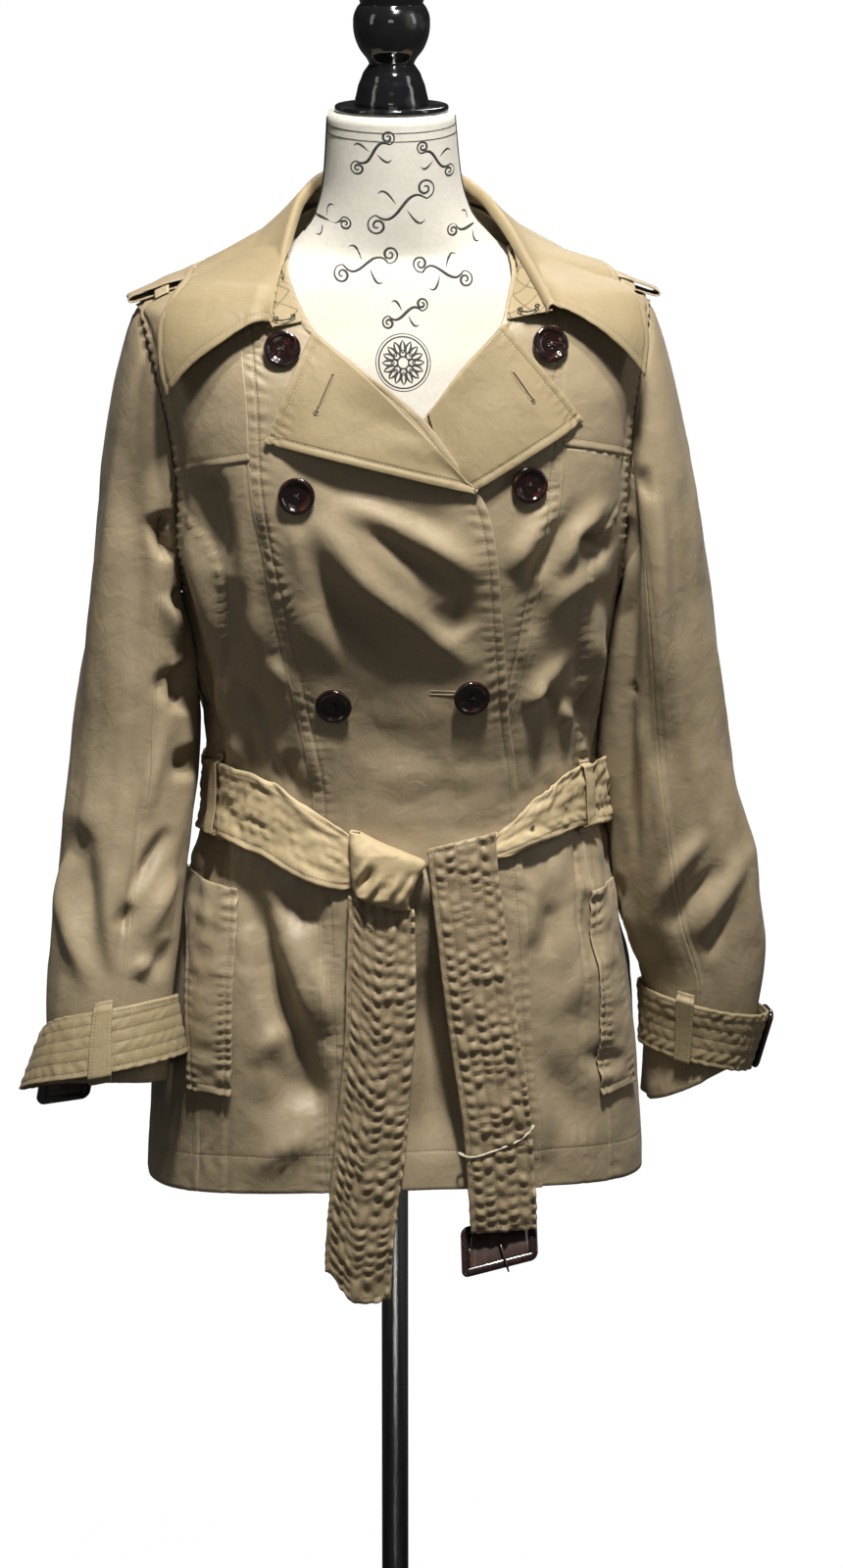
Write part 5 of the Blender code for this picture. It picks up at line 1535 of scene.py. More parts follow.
# ---------------------------------------------------------------- lapels and collar
@dataclass
class Lapel:
    """A turned-back lapel, lying on the fronts, with its keyhole buttonhole."""

    node: str
    fold_top: tuple[float, float]
    fold_end: tuple[float, float]
    edge_top: tuple[float, float]
    edge_end: tuple[float, float]
    body: GarmentBody
    over: bool
    extra: float
    hole: tuple[tuple[float, float], tuple[float, float]]
    twill: Bolt
    wall: float = 0.0018
    stand: float = 0.0055
    rows: int = 46
    columns: int = 72

    def surface(self, u: Array, v: Array) -> Array:
        """Points of the lapel's inner face.

        Args:
            u: Places down the roll.
            v: Places from the roll to the edge.

        Returns:
            The points.
        """
        down, away, body = u[..., None], v[..., None], self.body
        fold, edge = (np.array(top) + np.subtract(end, top) * down
                      for top, end in ((self.fold_top, self.fold_end), (self.edge_top, self.edge_end)))
        spot = fold * (1 - away) + edge * away
        height, turn = spot[..., 1], body.surface.turn_at(spot[..., 1], spot[..., 0])
        roll = 0.0035 * np.sin(np.pi * np.minimum(1.0, u * 0.9 + 0.08)) * np.maximum(0.0, 1 - 1.6 * v) ** 2
        if not self.over:
            roll = roll * (1 - u)
        lift = (body.over_lift(height, turn) if self.over else 0.0) + body.wall + body.gap + self.extra
        wave = 0.0007 * noise(stacked(u * 3.2, v * 1.6), 71) * ease(v, 0.25, 0.9)
        stand = self.stand * ease(v, 0.15, 1.0) * ease(u, 0.0, 0.25) * (1 - 0.8 * ease(u, 0.75, 1.0))
        return body.at(height, turn, lift + roll + wave + stand + 0.0003, hidden=False)

    def build(self) -> None:
        """Makes the lapel and its worked keyhole buttonhole."""
        inner = self.surface(*np.meshgrid(edge_spaced(self.columns, 0.4), edge_spaced(self.rows, 0.4)))
        ripple = ripples(inner, 500, 1, Pucker(Edge.HIGH, 0.0055, 0.0003, 0.01, 0.0055, 0.00045, 0.0005),
                         Pucker(Edge.START, 0.0055, 0.00075, 0.0075, 0.0075, 0.0004, 0.0003))
        core = inner * (1, 0, 1) + (0, 0.05, 0)
        outer = inner + outward(inner, core) * (self.wall + ripple)[..., None]
        Shell(self.node, outer, self.wall - 0.0003, self.twill.sewn(high=0.0062, start=0.0062), inner,
              "right_centre_front_cloth").build(core)
        (u0, v0), (u1, v1) = self.hole
        share = np.linspace(0, 1, 15)
        line = self.surface(u0 + (u1 - u0) * share, v0 + (v1 - v0) * share)
        Buttonhole(self.node + "_buttonhole", line, self.wall + 0.0001, True).build()


def frontward(normal: Array) -> Array:
    """A direction of length one, turned to look to the front."""
    return unit(normal if normal[1] < 0 else -normal)


def plug(centre: Array, frame: Sequence[Array], radius: float, top: float, low: float, steps: int) -> Solid:
    """A thin round plug that lies in a face.

    Args:
        centre: Its middle.
        frame: Two directions in the face and the one out of it.
        radius: Its radius.
        top: How far it stands out of the face.
        low: How far it starts behind it, below zero.
        steps: How many sides it has.

    Returns:
        The plug's points and faces.
    """
    points, faces = lathe([(0, top), (radius, top), (radius, low), (0, low)], steps)
    return points @ np.stack(frame) + centre, faces


@dataclass
class Buttonhole:
    """A worked buttonhole along a line on the cloth, with or without a keyhole eye at its end."""

    name: str
    line: Array
    lift: float
    eyed: bool
    bead: float = 0.0006
    half: float = 0.00135
    eye: float = 0.0022

    def build(self) -> None:
        """Makes the ridge of thread, and the painted shade inside it: a dark strand along the slit and a dark disk in
        any keyhole eye.
        """
        way = unit(self.line[-1] - self.line[0])
        face = frontward(np.cross(way, np.cross(np.array((0.0, -1.0, 0.15)), way)))
        side, middle = np.cross(face, way), self.line + face * self.lift
        ends = [middle + side * self.half * sign for sign in (1, -1)]
        if self.eyed:
            a = np.linspace(0.35, 2 * np.pi - 0.35, 16)[:, None]
            turnback = middle[-1] + way * self.eye + (-way * np.cos(a) + side * np.sin(a)) * self.eye
        else:
            a = np.linspace(0, np.pi, 7)[:, None]
            turnback = middle[-1] + (way * np.sin(a) + side * np.cos(a)) * self.half
        a = np.linspace(np.pi, 0, 5)[1:-1, None]
        start = middle[0] + (-way * np.sin(a) + side * np.cos(a)) * self.half
        ring = np.concatenate([ends[0], turnback, ends[1][::-1], start])
        tight = np.sin(np.arange(len(ring)) * 2.2) * 0.0001
        ridge = strand(ring, self.bead + tight, 6, closed=True)
        add_piece(self.name, ridge, ThreadAndSlitShade((0.34, 0.26, 0.15)), "light_cloth")
        # Painted shade: a dark strand lies along the slit, and a dark disk fills the keyhole eye.
        parts = [strand(middle - face * 0.0002, 0.00045, 6)]
        if self.eyed:
            parts.append(plug(middle[-1] + way * self.eye, (side, way, face), self.eye * 0.6, 0.0002, -0.0001, 14))
        add_piece(self.name + "_slit", joined(parts), ThreadAndSlitShade((0.1, 0.07, 0.04)), "light_cloth")


COLLAR_LINES = Table(
    "along fold_x fold_y fold_z edge_x edge_y edge_z",
    (0, 0, 0.07, 1.24, 0, 0.12, 1.158),
    (0.3, 0.046, 0.056, 1.238, 0.1, 0.104, 1.157),
    (0.5, 0.072, 0.022, 1.224, 0.146, 0.05, 1.166),
    (0.6, 0.081, -0.002, 1.2115, 0.158, 0.02, 1.169),
    (0.66, 0.086, -0.018, 1.203, 0.1655, 0, 1.168),
    (0.73, 0.0905, -0.033, 1.1935, 0.169, -0.021, 1.165),
    (0.83, 0.099, -0.06, 1.174, 0.1735, -0.044, 1.148),
    (1, 0.11, -0.106, 1.148, 0.1785, -0.088, 1.09))


@dataclass
class Collar:
    """The collar: a stand round the neck and the wide fall turned down over it, with its hook and eye."""

    body: GarmentBody
    twill: Bolt
    neck_share: float = 0.55
    wall: float = 0.0018
    rolled: float = 0.09
    hook_radius: float = 0.0008

    def neck(self, along: Array, lift: float) -> Array:
        """Neckline on the positive side.

        Args:
            along: Places from the centre back (0) to the front end (1).
            lift: Stand-off from the body's surface.

        Returns:
            The points.
        """
        top, behind = NECK - 0.004, along <= self.neck_share
        t = np.clip((along - self.neck_share) / (1 - self.neck_share), 0, 1)
        measure = np.where(behind, top, top - (top - 1.154) * t)
        front = self.body.surface.turn_at(measure, NECKLINE.read("across", measure) + 0.004)
        return self.body.smooth(measure, np.where(behind, np.pi - along / self.neck_share * np.pi / 2, front), lift)

    def line(self, which: str, along: Array) -> Array:
        """The fold line or the outer edge.

        Args:
            which: "fold" or "edge".
            along: Places from the right end (-1) to the left end (1).

        Returns:
            The points.
        """
        side, forward = np.where(along < 0, -1, 1), ease(np.abs(along), 0.4, 1.0)
        x, y, z = (COLLAR_LINES.read(f"{which}_{axis}", np.abs(along)) for axis in "xyz")
        return stacked(side * x + 0.004 * forward, y, z + 0.005 * side * forward)

    def stand_point(self, along: Array, share: Array) -> Array:
        """Points of the collar's stand.

        Args:
            along: Places from the right end (-1) to the left end (1).
            share: Places from the neckline (0) to under the fold (1).

        Returns:
            The points.
        """
        low = self.neck(np.abs(along), self.body.wall + self.body.gap + 0.0020)
        low = low * stacked(np.where(along < 0, -1, 1), 1, 1)
        return low + (self.line("fold", along) - (0, 0, 0.0022) - low) * share[..., None]

    def fall_point(self, along: Array, share: Array) -> Array:
        """Points of the collar's fall, which rolls over the fold and hangs in a curve.

        Args:
            along: Places from the right end (-1) to the left end (1).
            share: Places from the fold (0) to the outer edge (1).

        Returns:
            The points.
        """
        fold, edge = self.line("fold", along), self.line("edge", along)
        out = unit((edge - fold) * (1, 1, 0))
        side = (ease(np.abs(along), 0.12, 0.42) * (1 - ease(np.abs(along), 0.78, 1.0)))[..., None]
        a = fold + out * 0.0012 + UP * 0.0006
        b = a + out * (0.012 + 0.011 * side) - UP * (0.006 + 0.020 * side)
        c = edge - out * (0.010 + 0.012 * side) + UP * (0.016 - 0.006 * side)
        t = np.clip((share - self.rolled) / (1 - self.rolled), 0, 1)[..., None]
        fall = (1 - t)**3 * a + 3 * (1 - t)**2 * t * b + 3 * (1 - t) * t * t * c + t**3 * edge
        k = np.clip(share / self.rolled, 0, 1)[..., None]
        tucked, crest = fold - out * 0.0024 - UP * 0.0050, fold - out * 0.0016 + UP * 0.0030
        roll = (1 - k)**2 * tucked + 2 * (1 - k) * k * crest + k**2 * a
        return np.where(share[..., None] < self.rolled, roll, fall)

    def build(self) -> None:
        """Makes the stand, the fall and the hook and eye."""
        body = self.body
        u, v = np.meshgrid(np.linspace(-1, 1, 150), np.linspace(0, 1, 18))
        stand = body.kept_clear(self.stand_point(u, v), 2 * body.wall + body.gap + 0.0008)
        core = stand * (0.4, 0.4, 1) - (0, 0.02, 0.03)
        Shell("collar_stand", stand + outward(stand, core) * body.wall, 0.0013, self.twill.sewn(zigzag=True), stand,
              edge=0.45).build(core)
        u, v = np.meshgrid(edge_spaced(200, 0.3) * 2 - 1, edge_spaced(44, 0.3))
        far = np.abs(u)
        room = 0.0034 + 0.0030 * ease(far, 0.68, 0.86) + 0.0100 * ease(far, 0.78, 1.0) * ease(v, 0.0, 0.25)
        fall = body.kept_clear(self.fall_point(u, v), body.wall + body.gap + room)
        core = fall * (0.3, 0.3, 1) - (0, 0, 0.1)
        wave = 0.0012 * noise(stacked(u * 7.0, v * 1.3), 81) * ease(v, 0.3, 0.8) * (1 - ease(v, 0.85, 1.0))
        ripple = ripples(fall, 600, 1, Pucker(Edge.HIGH, 0.0055, 0.0006, 0.01, 0.0055, 0.00045, 0.0005),
                         Pucker(Edge.START, 0.0055, 0.00045, 0.009, 0.006, 0.00045, 0.0005),
                         Pucker(Edge.END, 0.0055, 0.00045, 0.009, 0.006, 0.00045, 0.0005))
        lift = self.wall + np.maximum(0.0, wave) + ripple
        Shell("collar_fall", fall + outward(fall, core) * lift[..., None], self.wall - 0.0002,
              self.twill.sewn(high=0.0062, start=0.0062, end=0.0062), fall, "collar_stand_cloth").build(core)
        for side, name in ((-1, "collar_eye"), (1, "collar_hook")):
            self._hook(side, name)

    def _hook(self, side: int, name: str) -> None:
        """Makes the bent wire of the hook or the eye, sewn along the stand's front end.

        Args:
            side: -1 for the eye's end, 1 for the hook's.
            name: The node that it stands for.
        """
        spot = lambda along, share: self.stand_point(np.array(side * along), np.array(share))
        way, out = unit(spot(0.995, 0.80) - spot(0.995, 0.20)), unit(spot(0.995, 0.5) - spot(0.93, 0.5))
        middle = spot(0.985, 0.50) + frontward(np.cross(way, out)) * (self.hook_radius + 0.0020)
        turn = np.linspace(0, 2 * np.pi, 15)[:, None]
        right, left = (middle + sign * way * 0.0068 + (out * np.cos(turn) - sign * way * np.sin(turn)) * 0.0015
                       for sign in (1, -1))
        bow = np.linspace(0, 1, 13)[:, None]
        sag = out * np.sin(np.pi * bow) * (0.0016 if side < 0 else 0.0030)
        bar = (right[0] + out * 0.0004) * (1 - bow) + (left[0] + out * 0.0004) * bow + sag
        wire = strand(np.concatenate([right[::-1], bar[1:-1], left]), self.hook_radius * 0.75, 8)
        add_piece(name + "_wire", wire, Metal((0.05, 0.045, 0.04), 0.35), "hook_wire", name)


# ---------------------------------------------------------------- epaulettes and pockets
@dataclass
class Epaulette:
    """A shoulder strap that folds under at the shoulder tip, with its loop."""

    side: int
    word: str
    body: GarmentBody
    twill: Bolt
    path: tuple[tuple[float, float], ...] = (
        (0.152, 0.0016), (0.162, 0.0018), (0.174, 0.0021), (0.188, 0.0024), (0.198, 0.0027), (0.2065, 0.0034),
        (0.209, 0.005), (0.2065, 0.0067), (0.195, 0.0072), (0.178, 0.0064), (0.168, 0.0054), (0.156, 0.0044))
    wall: float = 0.0014
    tip: float = 0.188

    def shoulder(self, out: Array, y: Array) -> Array:
        """Height of the shoulder's cloth, carried on in a straight slope past its tip.

        Args:
            out: Distances from the middle.
            y: Distances backwards.

        Returns:
            The heights.
        """
        at = np.minimum(out, self.tip)
        inner = self.body.roof(self.side * at, y)
        slope = (inner - self.body.roof(self.side * (at - 0.02), y)) / 0.02
        return inner + slope * np.maximum(0.0, out - self.tip) + self.body.wall * 1.1 + self.body.gap

    def build(self) -> None:
        """Makes the strap and the loop."""
        line, v = curve(self.path, 8), edge_spaced(21, 0.3)[:, None]
        y = (2 * v - 1) * (0.0200 - 0.004 * ease(line[:, 0], 0.17, 0.21)) + 0.002
        out, high = np.broadcast_to(line[:, 0], y.shape), line[:, 1]
        pressed = 1 - 0.92 * ease(y, -0.012, 0.016)
        high = np.where(high > 0.0034, 0.0034 + (high - 0.0034) * pressed, high)
        step = ease(np.linspace(0, 1, len(line)), 0.45, 0.62) * 0.0022
        base = stacked(self.side * out, y, self.shoulder(out, y) + high + step * (1 - pressed))
        middle = np.minimum(out, 0.198)
        core = stacked(self.side * middle, y, self.shoulder(middle, y) + 0.0052)
        Shell(f"{self.word}_epaulette", base + outward(base, core) * self.wall, self.wall - 0.0002,
              self.twill.sewn(low=0.0045, high=0.0045), base, f"{self.word}_back_cloth").build(core)
        u, w = np.meshgrid(np.linspace(0, 1, 7), np.linspace(-1, 1, 41))
        y, out = w * 0.0240 + 0.002, 0.1788 + 0.0106 * u
        edge = ease(np.abs(y - 0.002), 0.0202, 0.0236)
        loop = stacked(self.side * out, y, self.shoulder(out, y) + 0.0048 * (1 - edge) + 0.0006 * edge + 0.0012)
        Shell(f"{self.word}_epaulette_loop", loop, 0.0011, self.twill.sewn(), loop,
              f"{self.word}_epaulette_cloth").build(loop * (1, 0, 0) + (0, 0, 1.1))


@dataclass
class PocketWelt:
    """A slanted pocket welt that lies on the front, sewn down along its sides."""

    side: int
    word: str
    ends: tuple[tuple[float, float, float], tuple[float, float, float]]
    body: GarmentBody
    twill: Bolt

    def build(self) -> None:
        """Makes the welt, from its ends' heights and distances sideways."""
        body, over = self.body, self.side < 0
        u, v = np.meshgrid(edge_spaced(30, 0.3), edge_spaced(80, 0.2))
        m, inner, outer = (foot * (1 - v) + top * v for foot, top in zip(*self.ends))
        inner, outer = (body.surface.turn_at(m, self.side * across) for across in (inner, outer))
        turn = inner + (outer - inner) * u
        lift = (body.over_lift(m, turn) if over else 0.0) + body.wall + body.gap + (0.0016 if over else 0.0003)
        base = body.at(m, turn, lift)
        puffs = noise(stacked(u * 2.2, m / 0.0105), 90 + self.side) * 0.0012 * np.sin(np.pi * np.clip(u, 0, 1))
        ripple = ripples(base, 700, 1, Pucker(Edge.START, 0.0055, 0.00115, 0.0085, 0.007),
                         Pucker(Edge.END, 0.0055, 0.00115, 0.0085, 0.007), Pucker(Edge.LOW, 0.006, 0.0002))
        points = base + body.surface.normal(m, turn) * (body.wall + puffs + 0.0008 + ripple)[..., None]
        Shell(f"{self.word}_pocket_welt", points, 0.0013, self.twill.sewn(start=0.0055, end=0.0055, low=0.006), base,
              f"{self.word}_side_front_cloth", "hung").build()


# ---------------------------------------------------------------- belt
def quilted(across: Array) -> tuple[Array, Array, Array]:
    """Lanes between rows of quilting: places in lanes, the lanes' numbers and how full each lane is there."""
    lane = (across - QUILT_START) / QUILT_GAP
    return lane, np.floor(lane), np.abs(np.sin(np.pi * lane)) ** 0.7


@dataclass
class Belt:
    """The quilted belt: its band and loops, the knot, the two hanging ends, the keeper, buckle and prong."""

    body: GarmentBody
    # The band's, loops' and knot's paler copy of the cloth: painted light.
    twill: Bolt
    # The hanging ends' darker copy of the cloth: painted shade.
    hanging: Bolt
    wall: float = 0.0024
    slack: float = 0.0072
    slack_turn: float = 272.0
    hang: float = 0.0075
    tail_lift: float = 0.006
    quilt_depth: float = 0.0033

    def quilt(self, across: Array, along: Array, seed: int) -> Array:
        """Small cross ridges between the belt's rows of stitches.

        Args:
            across: Distance over the belt's width.
            along: Distance along the belt.
            seed: Chooses one pattern.

        Returns:
            Lift of each point, from 0 at the rows and the belt's two edges.
        """
        lane, row, within = quilted(across)
        within = within * ease(across, 0.0, 0.003) * ease(across.max() - across, 0.0, 0.003)
        slant = 0.0022 * (lane - row) * np.where(row % 2 == 0, 1, -1)
        beat = (along + slant) / 0.0108 + 0.5 * np.sin(12.9 * row + seed)
        beat = beat + 0.75 * noise(stacked(along / 0.021, row * 2.3 + 0.5), seed)
        ridge = np.sqrt(0.5 + 0.5 * np.sin(2 * np.pi * beat))
        uneven = 0.88 + 0.75 * noise(stacked(along / 0.014, row * 5.1 + 0.5), seed + 1)
        return self.quilt_depth * within * (0.08 + ridge * np.clip(uneven, 0.40, 1.3))

    def band_point(self, degrees: Array, share: Array) -> Array:
        """Points of the band's inner face.

        Args:
            degrees: Turns round the coat, in degrees.
            share: Places over the band's width.

        Returns:
            The points.
        """
        body, (centre, half) = self.body, BELT_RUN.row(degrees)
        measure, turn = centre + (2 * share - 1) * half, np.radians(degrees)
        extra = (1 - ease(degrees, -330.0, -306.0)) * (body.overlap_lift + 0.0006)
        base = np.where(degrees > -90, body.over_lift(measure, turn), 0.0)
        return body.at(measure, turn, body.wall + body.gap + 0.0008 + self.droop(degrees, share)
                       + np.maximum(extra, base))

    def droop(self, degrees: Array | float, share: Array | float) -> Array:
        """How far the band hangs clear of the coat, most at its lower edge beside the knot.

        Args:
            degrees: Turns round the coat, in degrees.
            share: Places over the band's width.

        Returns:
            The distance at each place.
        """
        beside = ease(degrees, -100.0, -60.0) * (1 - ease(degrees, -24.0, -12.0)) + 0.6 * ease(
            -degrees, 285.0, 305.0) * (1 - ease(-degrees, 325.0, 345.0))
        return self.slack * bump(degrees, -self.slack_turn, 18.0) + self.hang * beside * (1.15 - share)

    def build(self) -> None:
        """Makes every piece of the belt."""
        self._band()
        self._eyelets()
        self._loops()
        self._knot()
        self._tails()

    def _band(self) -> None:
        """Makes the band round the waist, crinkled where the knot pulls it."""
        u, v = np.meshgrid(np.linspace(0, 1, 430), edge_spaced(26, 0.3))
        first, last = BELT_RUN.data[0, 0], BELT_RUN.data[-1, 0]
        degrees = last + (first - last) * u
        base = self.band_point(degrees, v)
        along, across = lengths(base, 1), lengths(base, 0)
        pull = ease(degrees, -75.0, -30.0) + ease(-degrees, 290.0, 330.0)
        slant = np.where(degrees < -180, -1, 1)
        skew = stacked((along + across * 0.9 * slant) / 0.034, (across - along * 0.30 * slant) / 0.0085)
        soft = np.abs(noise(skew + 0.5 * noise(skew * 0.6, 44)[..., None], 41)) * 0.0034 * (0.60 + 0.40 * pull)
        lift = self.wall - 0.0006 + 0.40 * self.quilt(across, along, 42) + soft - 0.0008
        outer = base + outward(base, base * UPRIGHT) * lift[..., None]
        Shell("belt_band", outer, 0.0018, self.twill.sewn(low=0.004, high=0.004), base, "right_back_cloth").build()

    def _eyelets(self) -> None:
        """Makes the punched holes, each a near-black disk of painted shade, with their sewn rims."""
        for k, (degrees, share) in enumerate(((-312.5, 0.48), (-327.5, 0.42), (-300.0, 0.52))):
            spot = self.band_point(degrees + np.array((-1.5, 0.0, 1.5, 0.0)), share + np.array((0, 0, 0, 0.1)))
            way, up = unit(spot[2] - spot[0]), unit(spot[3] - spot[1])
            face = frontward(np.cross(way, up))
            turn, centre = around(18)[:, None], spot[1] + face * (self.wall + 0.0003)
            rim = strand(centre + (way * np.cos(turn) + up * np.sin(turn)) * 0.0019, 0.00045, 6, closed=True)
            add_piece(f"belt_eyelet_{k}", rim, ThreadAndSlitShade((0.3, 0.23, 0.13)), "light_cloth")
            # Painted shade: a flat near-black disk on the band stands for the hole.
            hole = plug(centre, (way, up, face), 0.0016, 0.0001, -0.0002, 16)
            add_piece(f"belt_eyelet_{k}_hole", hole, InkAndHoleShade(), "light_cloth")

    def _loops(self) -> None:
        """Makes the two carrier loops and the pale thread tacks at their ends."""
        body = self.body
        u, v = np.meshgrid(np.linspace(0, 1, 9), np.linspace(-1, 1, 61))
        for word, degrees in (("right", -68.0), ("left", -300.0)):
            centre, half = BELT_RUN.row(degrees)
            measure, turn = centre + v * (half + 0.0050), math.radians(degrees) + (u - 0.5) * 0.0126 / 0.15
            off = 1 - ease(np.abs(v) * (half + 0.0050), half + 0.0006, half + 0.0030)
            base = body.over_lift(measure, turn) * (degrees > -90) + off * self.droop(degrees, (v + 1) / 2)
            lift = base + body.wall + body.gap + off * (self.wall + 0.0018 + body.gap + 0.0004) + 0.0006
            points = body.at(measure, turn, lift + body.wall)
            Shell(f"{word}_belt_loop", points, 0.0013, self.twill.sewn(start=0.0016, end=0.0016), points,
                  "belt_band_cloth").build()
            for end, row, way in (("top", -1, -1), ("foot", 0, 1)):
                tack = strand(points[row] + (0, -0.0003, 0.0012 * way), 0.00055, 6)
                add_piece(f"{word}_belt_loop_{end}_tack", tack, ThreadAndSlitShade((0.62, 0.53, 0.36)), "light_cloth")

    def _knot(self) -> None:
        """Makes the knot: one wrap of the belt, pinched and folded."""
        body = self.body
        turn, height = np.meshgrid(np.linspace(0, 2 * np.pi, 101), np.linspace(0.68, 0.74, 58))
        middle, half = KNOT_ROWS.row(height)
        deep = 0.0045 + 0.0050 * np.minimum(1.0, half / 0.022)
        x = middle + half * power(np.cos(turn), 0.62)
        lying = body.smooth(height, body.surface.turn_at(height, x), body.over_lift(height) + body.wall)[..., 1]
        base = stacked(x, lying - 0.0012 - deep * (1 + power(np.sin(turn), 0.7)), height)
        bend = np.zeros_like(height)
        for across, up, slope, depth, wide in KNOT_CREASES:
            off, along = base[..., 0] / MM - across, base[..., 2] / MM - up
            bend += depth * MM * bump(off, along * slope * 0.55, wide) * bump(along, 0, 8.5)
        front = ease(np.sin(turn), 0.1, 0.6) * ease(half, 0.006, 0.014)
        soft = np.abs(noise(stacked(base[..., 0] - 0.5 * base[..., 2], base[..., 2] * 0.5) / 0.007, 52))
        bend = (bend + 0.0004 * noise(base / 0.006, 51) + 0.0016 * soft) * front
        outer = base + stacked(0, -1, 0.15) * bend[..., None]
        outer[:, -1] = outer[:, 0]
        core = np.broadcast_to(base.mean(axis=1, keepdims=True), base.shape)
        Shell("belt_knot", outer, 0.0014, self.twill.sewn(), base, "right_centre_front_cloth", round=True,
              edge=0.45).build(core)

    def tail_point(self, table: Table, height: Array, u: Array) -> Array:
        """Points of a hanging end.

        Args:
            table: The end's run.
            height: Heights of the points.
            u: Places over its width.

        Returns:
            The points.
        """
        body, (across, half) = self.body, table.row(height)
        m = np.maximum(height, 0.460)
        off = body.over_lift(m) + body.wall + self.tail_lift + 0.0010 * ease(height, 0.69, 0.72)
        point = body.smooth(m, body.surface.turn_at(m, across + (2 * u - 1) * half), off)
        return stacked(point[..., 0], point[..., 1], height)

    def _tails(self) -> None:
        """Makes the two hanging ends, the keeper, the buckle and its prong."""
        u, v = np.meshgrid(edge_spaced(36, 0.25), np.linspace(0, 1, 150))
        plain_low = 0.3854 - 0.0262 * ease(u, 0.0, 0.48) + 0.003 * ease(u, 0.6, 1.0)
        plain_high = 0.6895 - 0.0105 * np.minimum(1.0, u / 0.66)
        for name, table, low, high, seed in (("belt_tail_plain", PLAIN_TAIL, plain_low, plain_high, 61),
                                             ("belt_tail_buckle", BUCKLED_TAIL, 0.4148, 0.7255 + 0.0115 * u, 62)):
            base = self.tail_point(table, low + (high - low) * v, u)
            across, along = lengths(base, 1), lengths(base, 0)
            curl = 0.0012 * noise(stacked(along / 0.05, across / 0.05), seed + 9) * ease(v, 0.0, 0.1)
            lift = self.wall - 0.0006 + self.quilt(across, along, seed) - 0.0002 + np.maximum(curl, -0.0004)
            Shell(name, base + outward(base, base * (1, 0, 1)) * lift[..., None], 0.0018,
                  self.hanging.sewn(low=0.0035, high=0.0035, quilted=Edge.START), base, "belt_knot_cloth",
                  "hung").build(base * (1, 0, 1))
        self._keeper()
        self._buckle()

    def _keeper(self) -> None:
        """Makes the pale cord that keeps the end together."""
        body, turn, m = self.body, around(60), np.full(60, 0.4865)
        across = BUCKLED_TAIL.read("across", m)
        x = across + 0.0300 * power(np.cos(turn), 0.35)
        rest = body.smooth(m, body.surface.turn_at(m, x), body.over_lift(m) + body.wall + self.tail_lift)[:, 1]
        y = rest - self.wall / 2 - 0.0003 - 0.0028 * power(np.sin(turn), 0.6)
        line = stacked(x, y, m - 0.0035 + (x - across) * 0.30 + 0.0075 * ((x - across) / 0.030) ** 4)
        cord = strand(line, 0.00085, 8, closed=True)
        add_piece("belt_keeper_cord", cord, ThreadAndSlitShade((0.66, 0.6, 0.46)), "keeper_cord", "belt_keeper")

    def _buckle(self) -> None:
        """Makes the buckle behind the end, and its prong."""
        hang, thick = self.tail_point(BUCKLED_TAIL, np.array(0.4148), np.array(0.5)), 0.004
        centre, surface = Vector((0.0728, float(hang[1]) + 0.0013 + thick / 2, 0.4027)), self.body.surface
        facing = surface.normal(np.array(0.460), surface.turn_at(np.array(0.460), np.array(centre.x)))
        place = (Matrix.Translation(centre) @ Matrix.Rotation(math.atan2(facing[0], -facing[1]), 4, "Z")
                 @ Matrix.Rotation(math.radians(-10.0), 4, "Y") @ Matrix.Rotation(math.radians(90.0 - 34.0), 4, "X"))
        Buckle("belt_buckle", 0.064, 0.04, 0.0066, thick, place, 0.029, 0.0045, 0.26).build()
        line = np.array(((0, 0.0006, -0.0006), (0, -0.004, 0.0002), (0, -0.01, 0.0002), (0, -0.018, 0),
                         (0, -0.025, -0.0003))) + (0, 0, thick / 2 + 0.0016)
        prong = strand(placed((line, []), place)[0], np.array((0.0012, 0.0012, 0.0012, 0.0011, 0.0007)), 10)
        add_piece("buckle_prong_wire", prong, Metal((0.1, 0.09, 0.085), 0.3), "dark_buckle", "buckle_prong")


